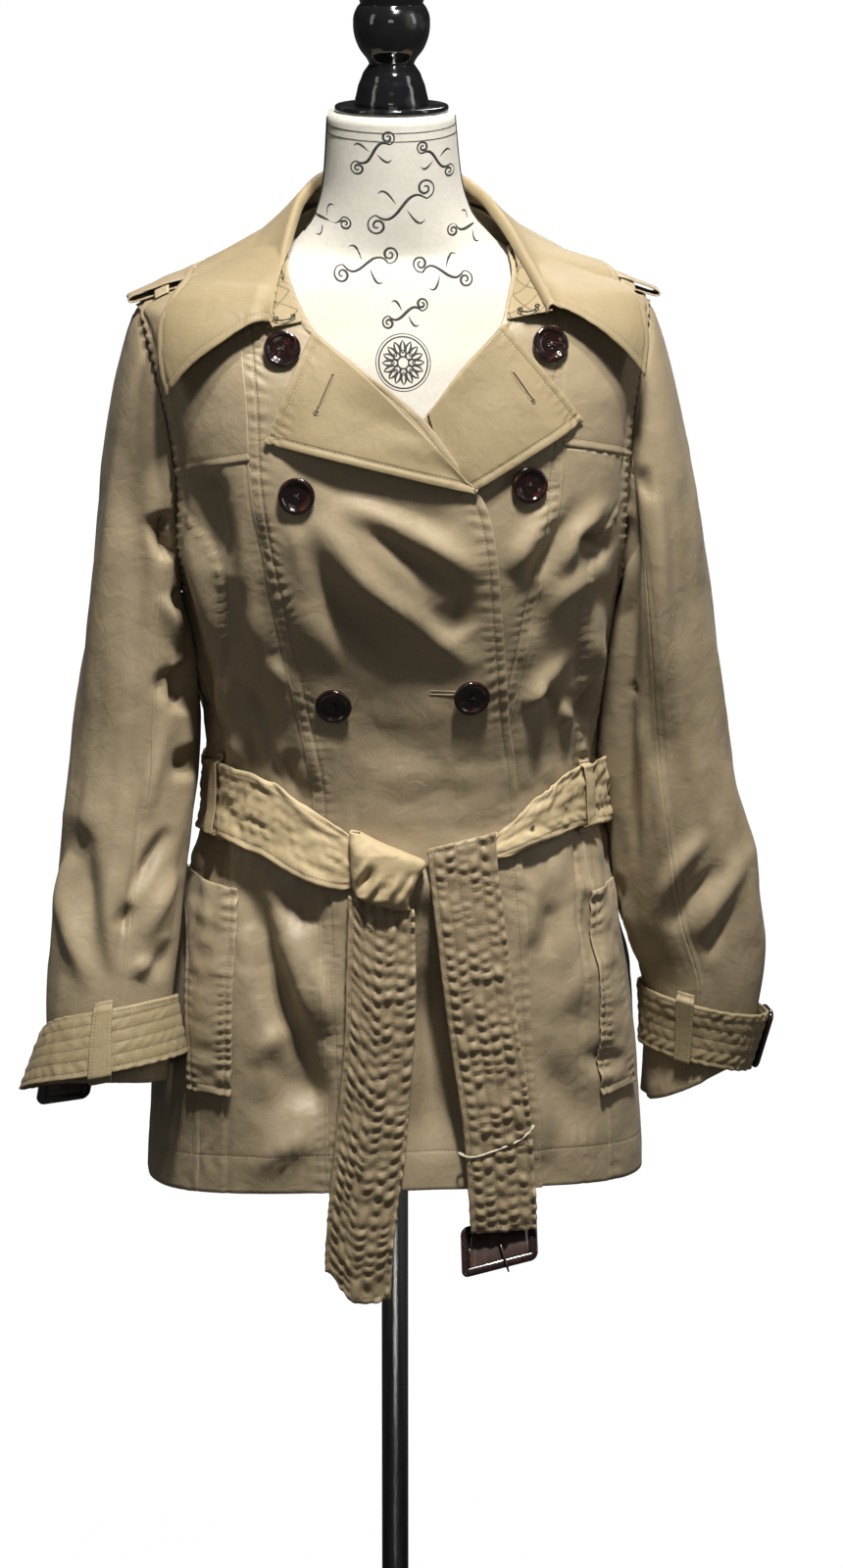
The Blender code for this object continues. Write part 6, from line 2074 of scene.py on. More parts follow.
@dataclass
class Buckle:
    """A flat frame buckle with rounded bars and a middle bar."""

    node: str
    long: float
    high: float
    bar: float
    thick: float
    place: Matrix
    plate: float = 0.018
    corner: float = 0.006
    skew: float = 0.0

    def build(self) -> None:
        """Makes the frame as a rounded bar round its outline, and the middle bar."""
        across, up, radius = self.long / 2 - self.bar / 2, self.high / 2 - self.bar / 2, self.corner - self.bar * 0.3
        x, y = across - radius, up - radius
        line = np.array([(cx + radius * math.cos(a), cy + radius * math.sin(a), 0.0)
                         for cx, cy, start in ((x, y, 0), (-x, y, 90), (-x, -y, 180), (x, -y, 270))
                         for a in np.radians(start + np.linspace(0, 90, 9))])
        frame = Tortoise((0.012, 0.006, 0.006), (0.04, 0.014, 0.012), 90.0, 0.56, 0.16)
        self._piece("frame", self._bar(line, self.bar, True), frame, self.node)
        reach = across - self.bar / 2 + 0.0008
        points, faces = self._bar(stacked(np.linspace(-reach, reach, 9), 0, 0), self.plate, False)
        points[:, 2] = points[:, 2] * 0.5 - self.thick * 0.12 - 5.0 * points[:, 1] ** 2
        bridge = Tortoise((0.04, 0.022, 0.018), (0.075, 0.04, 0.03), 60.0, 0.5, 0.3)
        self._piece("bridge", (points, faces), bridge)

    def _piece(self, name: str, solid: Solid, finish: Finish, *nodes: str) -> None:
        """Makes one part of the buckle, skewed and put in its place."""
        points, faces = solid
        points[:, 0] += self.skew * points[:, 1]
        add_piece(f"{self.node}_{name}", placed((points, faces), self.place), finish, "dark_buckle", *nodes)

    def _bar(self, line: Array, width: float, closed: bool) -> Solid:
        """A bar of softly squared section along a flat line.

        Args:
            line: The line of its middle.
            width: Its width.
            closed: Whether its end meets its start.

        Returns:
            The bar's points and faces.
        """
        ways = unit(np.roll(line, -1, axis=0) - np.roll(line, 1, axis=0) if closed else np.gradient(line, axis=0))
        side, a = stacked(ways[:, 1], -ways[:, 0], 0), around(20)
        x, z = power(np.cos(a), 0.55) * width / 2, power(np.sin(a), 0.55) * self.thick / 2
        points = line[:, None] + side[:, None] * x[None, :, None] + UP * z[None, :, None]
        return points.reshape(-1, 3), ring_faces(len(line), len(a), closed=closed)


# ---------------------------------------------------------------- cuffs and buttons
@dataclass
class CuffStrap:
    """A quilted strap round the sleeve's end, with its loop and buckle."""

    word: str
    form: SleeveForm
    buckle_turn: float
    loop_turn: float
    seat: float
    clear: float
    twill: Bolt

    def build(self) -> None:
        """Makes the strap, the loop and the buckle."""
        form = self.form
        core = np.array((form.side * form.sections.data[1, 1], -form.sections.data[1, 2], 0))
        angle, share = np.meshgrid(np.linspace(0, 2 * np.pi, 165), edge_spaced(26, 0.3))
        base = form.cuff_point(angle, share, form.gap + 0.0012)
        base = form.body.kept_clear(base, form.wall + 2 * form.trim_wall + 2 * form.gap)
        across, along = lengths(base, 0), lengths(base, 1)
        _, row, full = quilted(across)
        slant = (along + np.where(row % 2 == 0, 1, -1) * across * 0.8) / 0.0105 + row * 0.4
        puff = full * (0.55 + 0.55 * np.sin(2 * np.pi * slant + 1.5 * noise(stacked(angle * 5.0, row), 95))
                       * ease(noise(stacked(angle * 3.0, row + 9.0), 94), -0.5, 0.5))
        dimple = noise(stacked(angle * 9.0, share * 2.5), 96 + form.side)
        lift = form.trim_wall + 0.0012 * np.clip(puff, 0, 1.4) + 0.0012 * np.abs(dimple)
        lift = lift + (lift[:, :1] - lift[:, -1:]) * (angle / (2 * np.pi)) ** 4
        outer = base + outward(base, base * UPRIGHT + core) * lift[..., None]
        outer[:, -1] = outer[:, 0]
        Shell(f"{self.word}_cuff_strap", outer, 0.0014, self.twill.sewn(high=0.0035, quilted=Edge.LOW), base,
              f"{self.word}_upper_sleeve_cloth", round=True).build(outer * UPRIGHT + core)
        u, v = np.meshgrid(np.linspace(-0.5, 0.5, 9), np.linspace(-0.16, 1.16, 41))
        over = 1 - ease(np.abs(v - 0.5), 0.53, 0.62)
        points = form.cuff_point(np.radians(self.loop_turn + u * 14.6), v, form.gap + over * (
            form.trim_wall + 6 * form.gap) + form.wall + 0.0004)
        Shell(f"{self.word}_cuff_loop", points, 0.0012, self.twill.sewn(start=0.0016, end=0.0016), points,
              f"{self.word}_cuff_strap_cloth").build(points * UPRIGHT + core)
        self._buckle(core)

    def _buckle(self, core: Array) -> None:
        """Makes the strap's buckle.

        Args:
            core: The middle of the arm, which the buckle looks away from.
        """
        form, angle = self.form, math.radians(self.buckle_turn)
        spot = lambda a, s: form.cuff_point(np.array(a), np.array(s), form.gap + form.trim_wall)
        middle, up = spot(angle, self.seat), unit(spot(angle, 0.9) - spot(angle, 0.1))
        normal = unit(np.cross(spot(angle + 0.1, 0.5) - spot(angle - 0.1, 0.5), up))
        if normal.dot((middle - core) * (1, 1, 0)) < 0:
            normal = -normal
        place = seated(middle + normal * (0.0020 + self.clear), normal, up)
        if form.side > 0:
            place = place @ Matrix.Rotation(math.radians(90.0), 4, "Z")
        Buckle(f"{self.word}_cuff_buckle", 0.05, 0.032, 0.0078, 0.004, place).build()


@dataclass
class Button:
    """A dished four-hole button, sewn on with crossed thread."""

    node: str
    across: float
    height: float
    off: float
    spin: float
    body: GarmentBody
    radius: float = 0.0145
    thick: float = 0.0042

    def build(self) -> None:
        """Makes the button and its thread."""
        place = self._seat()
        solid = placed(self._dish(), place)
        add_piece(self.node + "_shell", solid, Tortoise(), "tortoise_button", self.node)
        lines = [np.array([(0.0021 * c, sign * 0.0021 * c + slide, self.thick * 0.52 + h) for c, h in (
            (-1.0, -0.0006), (-0.7, 0.0003), (0.0, 0.0005), (0.7, 0.0003), (1.0, -0.0006))])
            for sign in (1, -1) for slide in (-0.0003, 0.0003)]
        thread = placed(joined([strand(line, 0.0003, 6) for line in lines]), place)
        add_piece(self.node + "_thread", thread, ThreadAndSlitShade((0.035, 0.026, 0.02)), "tortoise_button")

    def _seat(self) -> Matrix:
        """The button's place on the cloth, raised to clear the creases under it."""
        body, surface = self.body, self.body.surface
        m, x = np.array(self.height), np.array(self.across)
        turn, rim = surface.turn_at(m, x), np.linspace(0, 2 * np.pi, 9)
        lift = float(body.over_lift(m, turn)) if x < OVER_FRONT_EDGE.read("across", m) else 0.0
        near = m + 0.5 * self.radius * np.sin(rim)
        beside = surface.turn_at(near, x + 0.5 * self.radius * np.cos(rim))
        lift += body.wall + self.off + float(np.mean(body.folds(near, beside))) + 0.0006
        place = seated(body.smooth(m, turn, lift), surface.normal(m, turn), UP)
        return place @ Matrix.Rotation(math.radians(self.spin), 4, "Z")

    def _dish(self) -> Solid:
        """The button as turned rings, with its rim, dish and four holes."""
        r, t = self.radius, self.thick
        shares = np.concatenate([np.linspace(0.0, 0.42, 22), np.linspace(0.44, 1.0, 24)])[1:]
        radii, angles = np.meshgrid(shares * r, around(64), indexing="ij")
        level = t * (0.52 + 0.10 * ease(radii, 0.52 * r, 0.62 * r) + 0.36 * ease(radii, 0.66 * r, 0.80 * r)
                     - 0.10 * ease(radii, 0.88 * r, 0.96 * r) - 0.42 * ease(radii, 0.955 * r, r) ** 2)
        x, y, holes = radii * np.cos(angles), radii * np.sin(angles), np.ones_like(radii)
        for a in math.pi / 4 + around(4):
            holes *= ease(np.hypot(x - 0.0023 * math.cos(a), y - 0.0023 * math.sin(a)), 0.0009, 0.00125)
        level = np.where(holes < 1, 0.0006 + (level - 0.0006) * holes, level)
        under = [stacked(q * np.cos(angles[0]), q * np.sin(angles[0]), h)
                 for q, h in ((r * 0.995, t * 0.28), (r * 0.93, 0.0002), (r * 0.5, 0.0))]
        return capped(np.concatenate([stacked(x, y, level), under]), float(level[0].mean()), 0.0)


# ---------------------------------------------------------------- dress form and stand
@dataclass
class DressForm:
    """The limbless linen form with its neck cap and finial, on a pole and a round base."""

    surface: GirthSurface
    bottom: float = 0.57
    neck_top: float = 1.293
    shift: float = -0.0015
    cap_radius: float = 0.0447
    cap_thick: float = 0.005
    pole_radius: float = 0.011
    base_radius: float = 0.16
    base_height: float = 0.026
    gap: float = 0.0003

    def build(self) -> None:
        """Makes the form, its seams, its flourishes and the stand."""
        low, high = self.surface.rings.data[0, 0], self.surface.rings.data[-1, 0]
        measure, turn = np.meshgrid(np.linspace(low, high, 120), around(128), indexing="ij")
        linen = self.surface.base(measure, turn).reshape(-1, 3), ring_faces(*measure.shape)
        add_piece("form_body_linen", linen, Linen(), "form_linen", "form_body")
        self._seams()
        self._flourishes()
        self._turnings()

    def spot(self, across: Array, height: Array, lift: float = 0.0) -> Array:
        """Points on the form's front.

        Args:
            across: Their distances from the middle, to the wearer's left.
            height: Their heights.
            lift: Their stand-off from the linen.

        Returns:
            The points.
        """
        fine = np.linspace(1.0, 1.388, 300)
        measure = np.interp(height, self.surface.rings.read("height", fine), fine)
        turn = self.surface.turn_at(measure, across)
        return self.surface.base(measure, turn) + self.surface.normal(measure, turn) * lift

    def _seams(self) -> None:
        """Makes dark strands down the neck's sides, which darken its outline there, and the two rings sewn round its
        top.
        """
        measure = np.linspace(1.292, 1.3845, 26)
        for side, name in ((-1, "right"), (1, "left")):
            line = self.surface.base(measure, np.full_like(measure, side * math.pi / 2))
            dark_strand = strand(line, 0.0011, 8)
            add_piece(f"form_neck_dark_strand_{name}", dark_strand, ThreadAndSlitShade((0.02, 0.018, 0.018)), "form_linen")
        turn = around(90)
        for k, measure in enumerate((1.38, 1.3735)):
            ring = strand(self.surface.base(measure - 0.0035 * np.cos(turn), turn), 0.00038, 6, closed=True)
            add_piece(f"form_neck_ring_{k + 1}", ring, ThreadAndSlitShade((0.05, 0.045, 0.04)), "form_linen")

    def _flourishes(self) -> None:
        """Makes plain pen flourishes and a rosette, as thin ink lines that lie on the linen."""
        parts = [part for scroll in SCROLLS for part in self._scroll(*scroll)]
        low, t = 1.108, np.linspace(0, 1, 13)
        bow = np.sin(np.pi * t)
        for ring, count, reach in ((0.0095, 8, 0.0085), (0.0165, 16, 0.006)):
            for a, hand in product(around(count), (-1, 1)):
                x = ring * np.cos(a) * (0.40 + 0.60 * t) + hand * bow * reach * 0.30 * math.sin(a)
                z = ring * np.sin(a) * (0.40 + 0.60 * t) - hand * bow * reach * 0.30 * math.cos(a)
                parts.append(self._pen(x, low + z, 0.00055 * (0.5 + bow)))
        t = np.linspace(0, 2 * np.pi, 61)
        for radius, thick in ((0.019, 0.0006), (0.0212, 0.00035), (0.0044, 0.0006)):
            parts.append(self._pen(radius * np.cos(t), low + radius * np.sin(t), np.full(61, thick)))
        add_piece("form_flourishes", joined(parts), InkAndHoleShade(), "form_linen")

    def _scroll(self, across: float, height: float, size: float, lean: float, hand: int) -> list[Solid]:
        """A long S with a curl at each end and a small leaf on each side.

        Args:
            across: Where its middle lies sideways.
            height: The height of its middle.
            size: How large it is.
            lean: How far it leans, in degrees.
            hand: 1, or -1 for its mirror image.

        Returns:
            Its strokes.
        """
        t = np.linspace(-1, 1, 33)
        strokes = [(t * size * 0.75, hand * size * 0.30 * np.sin(t * 2.6), 0.00060 + 0.00060 * (1 - t**2))]
        for end in (-1, 1):
            t = np.linspace(0, 1, 44)
            angle, radius = -0.5 * math.pi + t * 3.2 * math.pi, size * 0.30 * (1 - 0.86 * t)
            x = end * (size * 0.75 + radius * np.cos(angle))
            z = end * hand * (size * 0.30 * math.sin(2.6) + size * 0.30 + radius * np.sin(angle))
            strokes.append((x, z, 0.00055 + 0.00045 * np.sin(np.pi * t) ** 2))
            t = np.linspace(0, 1, 17)
            strokes.append((end * size * (0.15 + 0.5 * t), -end * hand * size * (0.10 + 0.42 * np.sin(t * 2.2)),
                            0.00075 * np.sin(np.pi * t) + 0.00015))
        c, s = math.cos(math.radians(lean)), math.sin(math.radians(lean))
        return [self._pen(across + x * c - z * s, height + x * s + z * c, swell) for x, z, swell in strokes]

    def _pen(self, across: Array, height: Array, half: Array) -> Solid:
        """A flat stroke of ink, laid on the linen.

        Args:
            across: Places of its middle line sideways.
            height: Their heights.
            half: Its half width at each.

        Returns:
            The stroke's points and faces.
        """
        middle = self.spot(across, height)
        face = unit(self.spot(across, height, 0.001) - middle)
        side = unit(np.cross(unit(np.gradient(middle, axis=0)), face)) * half[:, None]
        rows = np.stack([middle + side + face * 0.00006, middle + face * 0.00016, middle - side + face * 0.00006,
                         middle - face * 0.0001], axis=1)
        return rows.reshape(-1, 3), ring_faces(len(middle), 4)

    def _turnings(self) -> None:
        """Makes the turned cap, finial, pole and base."""
        top, at = self.neck_top + self.gap, np.array((self.shift, 0.0, 0.0))
        r, t, bevel = self.cap_radius, self.cap_thick, 0.0016
        corner = [(r - bevel + bevel * math.sin(a), bevel * (1 - math.cos(a))) for a in np.linspace(0, np.pi / 2, 6)]
        cap = [(0, t), (0.012, t), *((x, t - y) for x, y in corner), *corner[::-1], (0, 0)]
        self._turned("form_neck_cap", cap, 120, Lacquer(), at + UP * top)
        smooth = np.minimum(curve(FINIAL, 5, False), (0.0302, 0.1010))
        self._turned("form_finial", [*smooth, (0, 0)], 80, Lacquer(), at + UP * (top + t + self.gap))
        high, low, pole = self.bottom - self.gap, self.base_height + self.gap, self.pole_radius
        self._turned("form_pole", [(0, high), (0.029, high), (0.03, high - 0.001), (0.03, high - 0.005),
                                   (0.0285, high - 0.0065), (pole + 0.0012, high - 0.0072), (pole, high - 0.0085),
                                   (pole, low), (0, low)], 64, Metal(), slot="stand_steel")
        r, h = self.base_radius, self.base_height
        base = curve(((0, h), (0.0235, h), (0.029, h - 0.0045), (0.04, h - 0.0078), (0.09, h - 0.011),
                      (r - 0.012, h - 0.0155), (r - 0.003, h - 0.0185), (r, h - 0.0225), (r, 0.0012)), 4, False)
        self._turned("form_base", [*np.minimum(base, (r, h)), (r - 0.0012, 0), (0, 0)], 144,
                     Lacquer((0.012, 0.012, 0.013)))

    def _turned(self, node: str, profile: Sequence[Sequence[float]], steps: int, finish: Finish,
                at: Array | float = 0.0, slot: str = "black_lacquer") -> None:
        """Makes one turned piece and stands it at a place.

        Args:
            node: The node that it stands for.
            profile: Points of radius and height, from the top of the axis to its bottom.
            steps: How many sides it has.
            finish: Its finish.
            at: Where it stands.
            slot: The record's material slot.
        """
        points, faces = lathe(profile, steps)
        add_piece(node + "_turned", (points + at, faces), finish, slot, node)


# ---------------------------------------------------------------- studio
@dataclass(frozen=True)
class Studio:
    """A plain pale floor, soft light from high in front, and the camera."""

    target: tuple[float, float, float] = (0.022, 0.0, 0.75)
    azimuth: float = -5.0
    elevation: float = 13.5
    distance: float = 4.5
    lens: float = 128.0
    reach: float = 60.0

    def build(self) -> None:
        """Makes the floor, the light and the camera."""
        scene = bpy.context.scene
        scene.view_settings.view_transform = "Standard"
        scene.view_settings.look = "None"
        self._floor()
        scene.world = bpy.data.worlds.new("soft_sky")
        scene.world.use_nodes = True
        sky = scene.world.node_tree.nodes["Background"].inputs
        sky[0].default_value, sky[1].default_value = (1.0, 0.99, 0.97, 1.0), 0.022
        sun = self._light("key_sun", "SUN", 3.3, (1.0, 0.975, 0.93), (0.04, -0.32, 1.0), (0.0, 0.0, 0.0))
        sun.angle = math.radians(4.0)
        for name, place, aim, watts, size, tint in PANELS:
            panel = self._light(name, "AREA", watts, tint, place, aim)
            panel.shape, (panel.size, panel.size_y) = "RECTANGLE", size
        self._camera()

    def _floor(self) -> None:
        """Makes the floor, wide enough to fill the view."""
        mesh = bpy.data.meshes.new("floor")
        mesh.from_pydata([(x * self.reach, y * self.reach, 0.0) for x, y in ((-1, -1), (1, -1), (1, 1), (-1, 1))], [],
                         [(0, 1, 2, 3)])
        mat = bpy.data.materials.new("pale_floor")
        mat.use_nodes = True
        nodes = Nodes(mat.node_tree)
        glow = nodes.times(nodes.add("LightPath").outputs["Is Camera Ray"], 0.98)
        nodes.dress((0.05, 0.05, 0.05, 1.0), Roughness=0.95, Specular_IOR_Level=0.0, Emission_Color=(1.0,) * 4,
                    Emission_Strength=glow)
        mesh.materials.append(mat)
        self._put("floor", mesh)

    def _light(self, name: str, kind: str, power_w: float, colour: Colour, place: Sequence[float],
               aim: Sequence[float]) -> bpy.types.Light:
        """Adds a light at a place, aimed at another.

        Args:
            name: Its name.
            kind: Its type.
            power_w: Its power in watts, or a sun's strength.
            colour: Its colour.
            place: Where it stands.
            aim: Where it points.

        Returns:
            The light.
        """
        lamp = bpy.data.lights.new(name, kind)
        lamp.energy, lamp.color = power_w, colour
        obj = self._put(name, lamp)
        obj.rotation_euler = (Vector(aim) - Vector(place)).to_track_quat("-Z", "Y").to_euler()
        if kind != "SUN":
            obj.location = place
        return lamp

    def _camera(self) -> None:
        """Adds the camera."""
        a, e = math.radians(self.azimuth), math.radians(self.elevation)
        back = Vector((math.sin(a) * math.cos(e), -math.cos(a) * math.cos(e), math.sin(e)))
        lens = bpy.data.cameras.new("camera")
        lens.lens, lens.sensor_width, lens.sensor_fit = self.lens, 36.0, "AUTO"
        camera = self._put("camera", lens)
        camera.location = Vector(self.target) + back * self.distance
        camera.rotation_euler = (-back).to_track_quat("-Z", "Y").to_euler()
        bpy.context.scene.camera = camera

    def _put(self, name: str, data: bpy.types.ID) -> bpy.types.Object:
        """Adds an object to the scene."""
        obj = bpy.data.objects.new(name, data)
        bpy.context.scene.collection.objects.link(obj)
        return obj


# ---------------------------------------------------------------- the coat's own numbers
PANELS = (  # name, place, aim, watts, size, colour
    ("top_panel", (0.14, -0.62, 2.15), (0.0, -0.1, 0.9), 24.0, (0.13, 0.13), (1.0, 0.985, 0.94)),
    ("front_panel", (-0.4, -3.4, 1.95), (0.0, 0.0, 0.9), 6.0, (0.9, 0.6), (1.0, 0.98, 0.95)),
    ("side_panel_left", (2.4, -1.0, 2.0), (0.0, 0.0, 1.0), 9.5, (0.5, 1.8), (1.0, 0.98, 0.95)),
    ("side_panel_right", (-2.4, -1.0, 2.0), (0.0, 0.0, 1.0), 5.5, (0.5, 1.8), (1.0, 0.98, 0.95)),
    ("back_panel", (0.7, 2.5, 2.9), (0.0, 0.0, 0.85), 48.0, (1.0, 0.8), (1.0, 0.98, 0.95)))
SCROLLS = (  # across, height, size, turn in degrees, hand
    (-0.02, 1.266, 0.019, 16.0, 1), (0.03, 1.26, 0.017, -12.0, -1), (0.002, 1.224, 0.027, 6.0, 1),
    (-0.056, 1.212, 0.017, 24.0, -1), (0.058, 1.206, 0.017, -24.0, 1), (-0.026, 1.18, 0.023, -10.0, 1),
    (0.034, 1.174, 0.021, 12.0, -1), (0.003, 1.144, 0.017, -4.0, 1))
FINIAL = (  # radius, height
    (0, 0.101), (0.006, 0.1007), (0.0115, 0.0997), (0.0205, 0.0955), (0.0258, 0.0895), (0.0266, 0.085),
    (0.0248, 0.0795), (0.0252, 0.078), (0.0272, 0.0755), (0.0298, 0.069), (0.0302, 0.061), (0.0288, 0.052),
    (0.025, 0.043), (0.0198, 0.036), (0.0178, 0.032), (0.0186, 0.0302), (0.0222, 0.025), (0.024, 0.0205),
    (0.0246, 0.019), (0.0262, 0.015), (0.0278, 0.008), (0.029, 0.003), (0.029, 0))
KNOT_ROWS = Table(
    "height middle half", (0.68, -0.005, 0.007), (0.685, -0.0135, 0.0145), (0.6916, -0.0195, 0.022),
    (0.705, -0.018, 0.0262), (0.7165, -0.0152, 0.0295), (0.724, -0.0222, 0.0225), (0.732, -0.0326, 0.013),
    (0.74, -0.0403, 0.0045))
KNOT_CREASES = (  # across mm, height mm, direction, depth mm, half width mm
    (-33, 706, 0.9, -6.0, 4.2), (-38, 712, 0.9, 2.6, 2.4), (-25, 704, 1.1, 2.8, 2.6), (-19, 699, 1.1, -2.4, 2.2),
    (-13, 698, 1.0, 2.4, 2.4), (-6, 697, 0.9, -2.0, 2.2), (0, 699, 0.9, 1.6, 2.6), (-28, 692, 1.2, -2.4, 3.0))
PLAIN_TAIL = Table(
    "height across half_width", (0.6785, -0.0205, 0.0245), (0.6, -0.0215, 0.0268), (0.486, -0.031, 0.0268),
    (0.415, -0.0385, 0.026), (0.355, -0.041, 0.0255))
BUCKLED_TAIL = Table(
    "height across half_width", (0.738, 0.0415, 0.0265), (0.715, 0.043, 0.0262), (0.66, 0.049, 0.0265),
    (0.6, 0.0555, 0.0265), (0.486, 0.07, 0.0262), (0.4, 0.0745, 0.025))
SLEEVE_COLUMNS = "height out forward half_width half_depth"
RIGHT_SLEEVE = Table(
    SLEEVE_COLUMNS, (0.86, 0.203, 0.01, 0.0455, 0.062), (0.79, 0.2085, 0.02, 0.0495, 0.057),
    (0.72, 0.2185, 0.038, 0.0495, 0.053), (0.645, 0.228, 0.056, 0.0492, 0.051), (0.58, 0.2345, 0.07, 0.048, 0.046),
    (0.525, 0.235, 0.076, 0.046, 0.043))
LEFT_SLEEVE = Table(
    SLEEVE_COLUMNS, (0.86, 0.21, -0.002, 0.049, 0.063), (0.79, 0.217, -0.005, 0.055, 0.057),
    (0.72, 0.227, -0.006, 0.057, 0.055), (0.645, 0.2385, -0.008, 0.0605, 0.053), (0.58, 0.2535, -0.01, 0.048, 0.048),
    (0.545, 0.252, -0.01, 0.0445, 0.044), (0.47, 0.243, -0.01, 0.0385, 0.042))
CUFF_COLUMNS = "share outer inner flare_out flare_in front_up back_down"
RIGHT_CUFF = Table(
    CUFF_COLUMNS, (0, 0.531, 0.552, 0.02, 0.01, 0.013, 0.012), (1, 0.578, 0.597, 0, 0, 0.013, 0.012))
LEFT_CUFF = Table(CUFF_COLUMNS, (0, 0.505, 0.528, 0, 0, 0.003, 0), (1, 0.552, 0.578, 0.005, 0, 0.003, 0))
RIGHT_WELT = ((0.523, 0.137, 0.168), (0.6855, 0.13, 0.169))  # height, inner and outer side, at the foot and the top
LEFT_WELT = ((0.5125, 0.1564, 0.188), (0.6765, 0.1479, 0.1715))
BUTTONS = (  # name, across, height, off the cloth, spin
    ("button_collar_right", -0.0945, 1.1273, 0.0024, 12.0), ("button_collar_left", 0.1119, 1.1284, 0.0007, 40.0),
    ("button_chest_right", -0.0853, 1.0126, 0.0007, 8.0), ("button_chest_left", 0.0937, 1.0177, 0.0007, 30.0),
    ("button_waist_right", -0.0569, 0.8426, 0.0006, 0.0), ("button_waist_left", 0.05, 0.8491, 0.0002, 52.0))

# Creases, each as its depth, its half width and its path of places sideways and up, in millimetres.
CHEST_FOLDS = (
    (-8.5, 46, -88, 896, -20, 880, 66, 872), (6, 10, -60, 1010, -14, 990, 28, 966, 60, 946),
    (-5.5, 10, -46, 998, -10, 974, 20, 948, 52, 920), (-4.5, 14, 30, 930, 46, 900),
    (7.5, 12, -74, 1006, -58, 978, -36, 946, 4, 912, 36, 884, 54, 866),
    (-4, 15, -84, 980, -66, 948, -30, 900, 14, 866), (3.5, 14, -92, 960, -74, 912, -40, 872, -8, 856),
    (2.5, 8, -92, 1004, -84, 966, -76, 930), (-3, 18, -50, 836, -10, 812, 40, 806),
    (2.5, 10, -36, 1060, 10, 1046, 44, 1022))
SIDE_FRONT_FOLDS = (
    (-4, 8, -112, 1000, -116, 960, -120, 900), (-5, 5, -156, 880, -150, 840, -146, 800),
    (8, 8, -176, 1004, -160, 953, -148, 905, -143, 850), (-11.5, 10, -156, 1026, -148, 990, -138, 944),
    (3, 9, -128, 1000, -120, 924, -106, 850), (-4.5, 11, -166, 1030, -140, 1000),
    (5, 6, -146, 870, -138, 842, -134, 812), (-5, 12, -128, 862, -112, 836, -96, 790),
    (3.6, 5, -132, 815, -124, 786), (-3.6, 5, -120, 822, -112, 775), (3.6, 6, -104, 826, -98, 786),
    (-3, 6, -92, 806, -86, 764), (3, 7, -76, 824, -68, 772), (3.5, 6, -104, 884, -94, 856))
LEFT_FRONT_FOLDS = (
    (5, 8, 146, 930, 150, 880, 144, 830), (-6, 5, 152, 862, 148, 820, 142, 790),
    (5.5, 9, 78, 946, 92, 970, 116, 1010), (-5, 8, 92, 930, 108, 958, 134, 1004),
    (6, 8, 117, 942, 134, 975, 158, 1002), (-10, 8, 130, 976, 146, 966, 160, 952),
    (4.5, 10, 103, 903, 128, 932, 162, 946), (-3.5, 9, 90, 880, 100, 920, 88, 944),
    (5, 7, 97, 828, 104, 850, 116, 864, 131, 884), (3.5, 5, 92, 836, 110, 856),
    (-4.6, 6, 100, 818, 112, 842, 124, 816), (4, 6, 124, 838, 132, 812), (-5, 6, 141, 812, 150, 856),
    (3.5, 8, 140, 900, 152, 860, 150, 820))
SKIRT_FOLDS = (
    (-9, 38, -36, 596, 20, 590, 62, 600), (4, 16, -30, 700, 20, 694, 60, 704), (-8, 42, -20, 520, 24, 515, 60, 525),
    (6.5, 12, -106, 676, -94, 640, -82, 602, -86, 576),
    (-14, 12, -132, 712, -114, 660, -98, 600, -78, 540, -66, 490), (-5, 18, -112, 540, -84, 545),
    (5, 9, -88, 664, -66, 610, -64, 574), (4, 9, -124, 548, -103, 572, -84, 578),
    (-5.5, 15, -118, 500, -88, 528, -62, 520), (4, 12, -128, 452, -96, 484, -70, 492),
    (-4, 10, -104, 690, -84, 672, -66, 676), (-10, 12, 14, 700, 20, 600, 18, 470),
    (-5, 8, 34, 700, 38, 600, 36, 500), (3.6, 7, 92, 700, 100, 676, 98, 640), (-4, 8, 108, 690, 118, 660, 112, 630),
    (4, 12, 124, 574, 136, 620, 126, 668), (-3.6, 7, 138, 668, 150, 640, 148, 612), (-3.5, 10, 139, 550, 177, 534),
    (-4.5, 15, 104, 566, 126, 520, 146, 478), (3.5, 11, 100, 560, 108, 500, 104, 460),
    (3.5, 6, 140, 700, 146, 680, 160, 672))
BACK_FOLDS = (
    (-2.4, 13, -120, 1060, -70, 1020, -20, 1005), (3, 12, -130, 1000, -92, 948, -60, 905),
    (-2.2, 12, 122, 1055, 66, 1025, 24, 998), (3, 11, 134, 990, 88, 940, 66, 898),
    (-2.4, 10, -110, 905, -72, 860, -40, 826), (-2.2, 11, 105, 900, 78, 858, 44, 818), (2.2, 8, -60, 850, -50, 800),
    (-1.8, 7, -28, 842, -24, 792), (2, 8, 4, 850, 8, 794), (-1.8, 7, 36, 838, 34, 790), (2.2, 9, 66, 846, 58, 792),
    (3.2, 15, -96, 700, -108, 600, -112, 500), (-3, 14, -62, 700, -66, 590, -72, 480),
    (2.4, 13, -20, 705, -22, 600, -30, 520), (-2.6, 14, 20, 700, 28, 590, 30, 500),
    (3.2, 14, 58, 704, 70, 600, 76, 500), (-3, 15, 100, 690, 112, 590, 120, 480),
    (1.6, 18, -20, 1120, 0, 1060, 6, 990))
SIDE_FOLDS = (
    (2.4, 9, -60, 860, -40, 820, -46, 780), (-2.2, 8, -20, 850, -8, 800), (2.4, 9, 20, 862, 24, 800),
    (-2, 8, 50, 850, 44, 792), (2.8, 14, -70, 690, -80, 600, -84, 500), (-3, 14, -30, 700, -34, 600, -30, 470),
    (2.8, 14, 14, 700, 20, 590, 26, 480), (-2.6, 14, 60, 690, 70, 590, 76, 480))
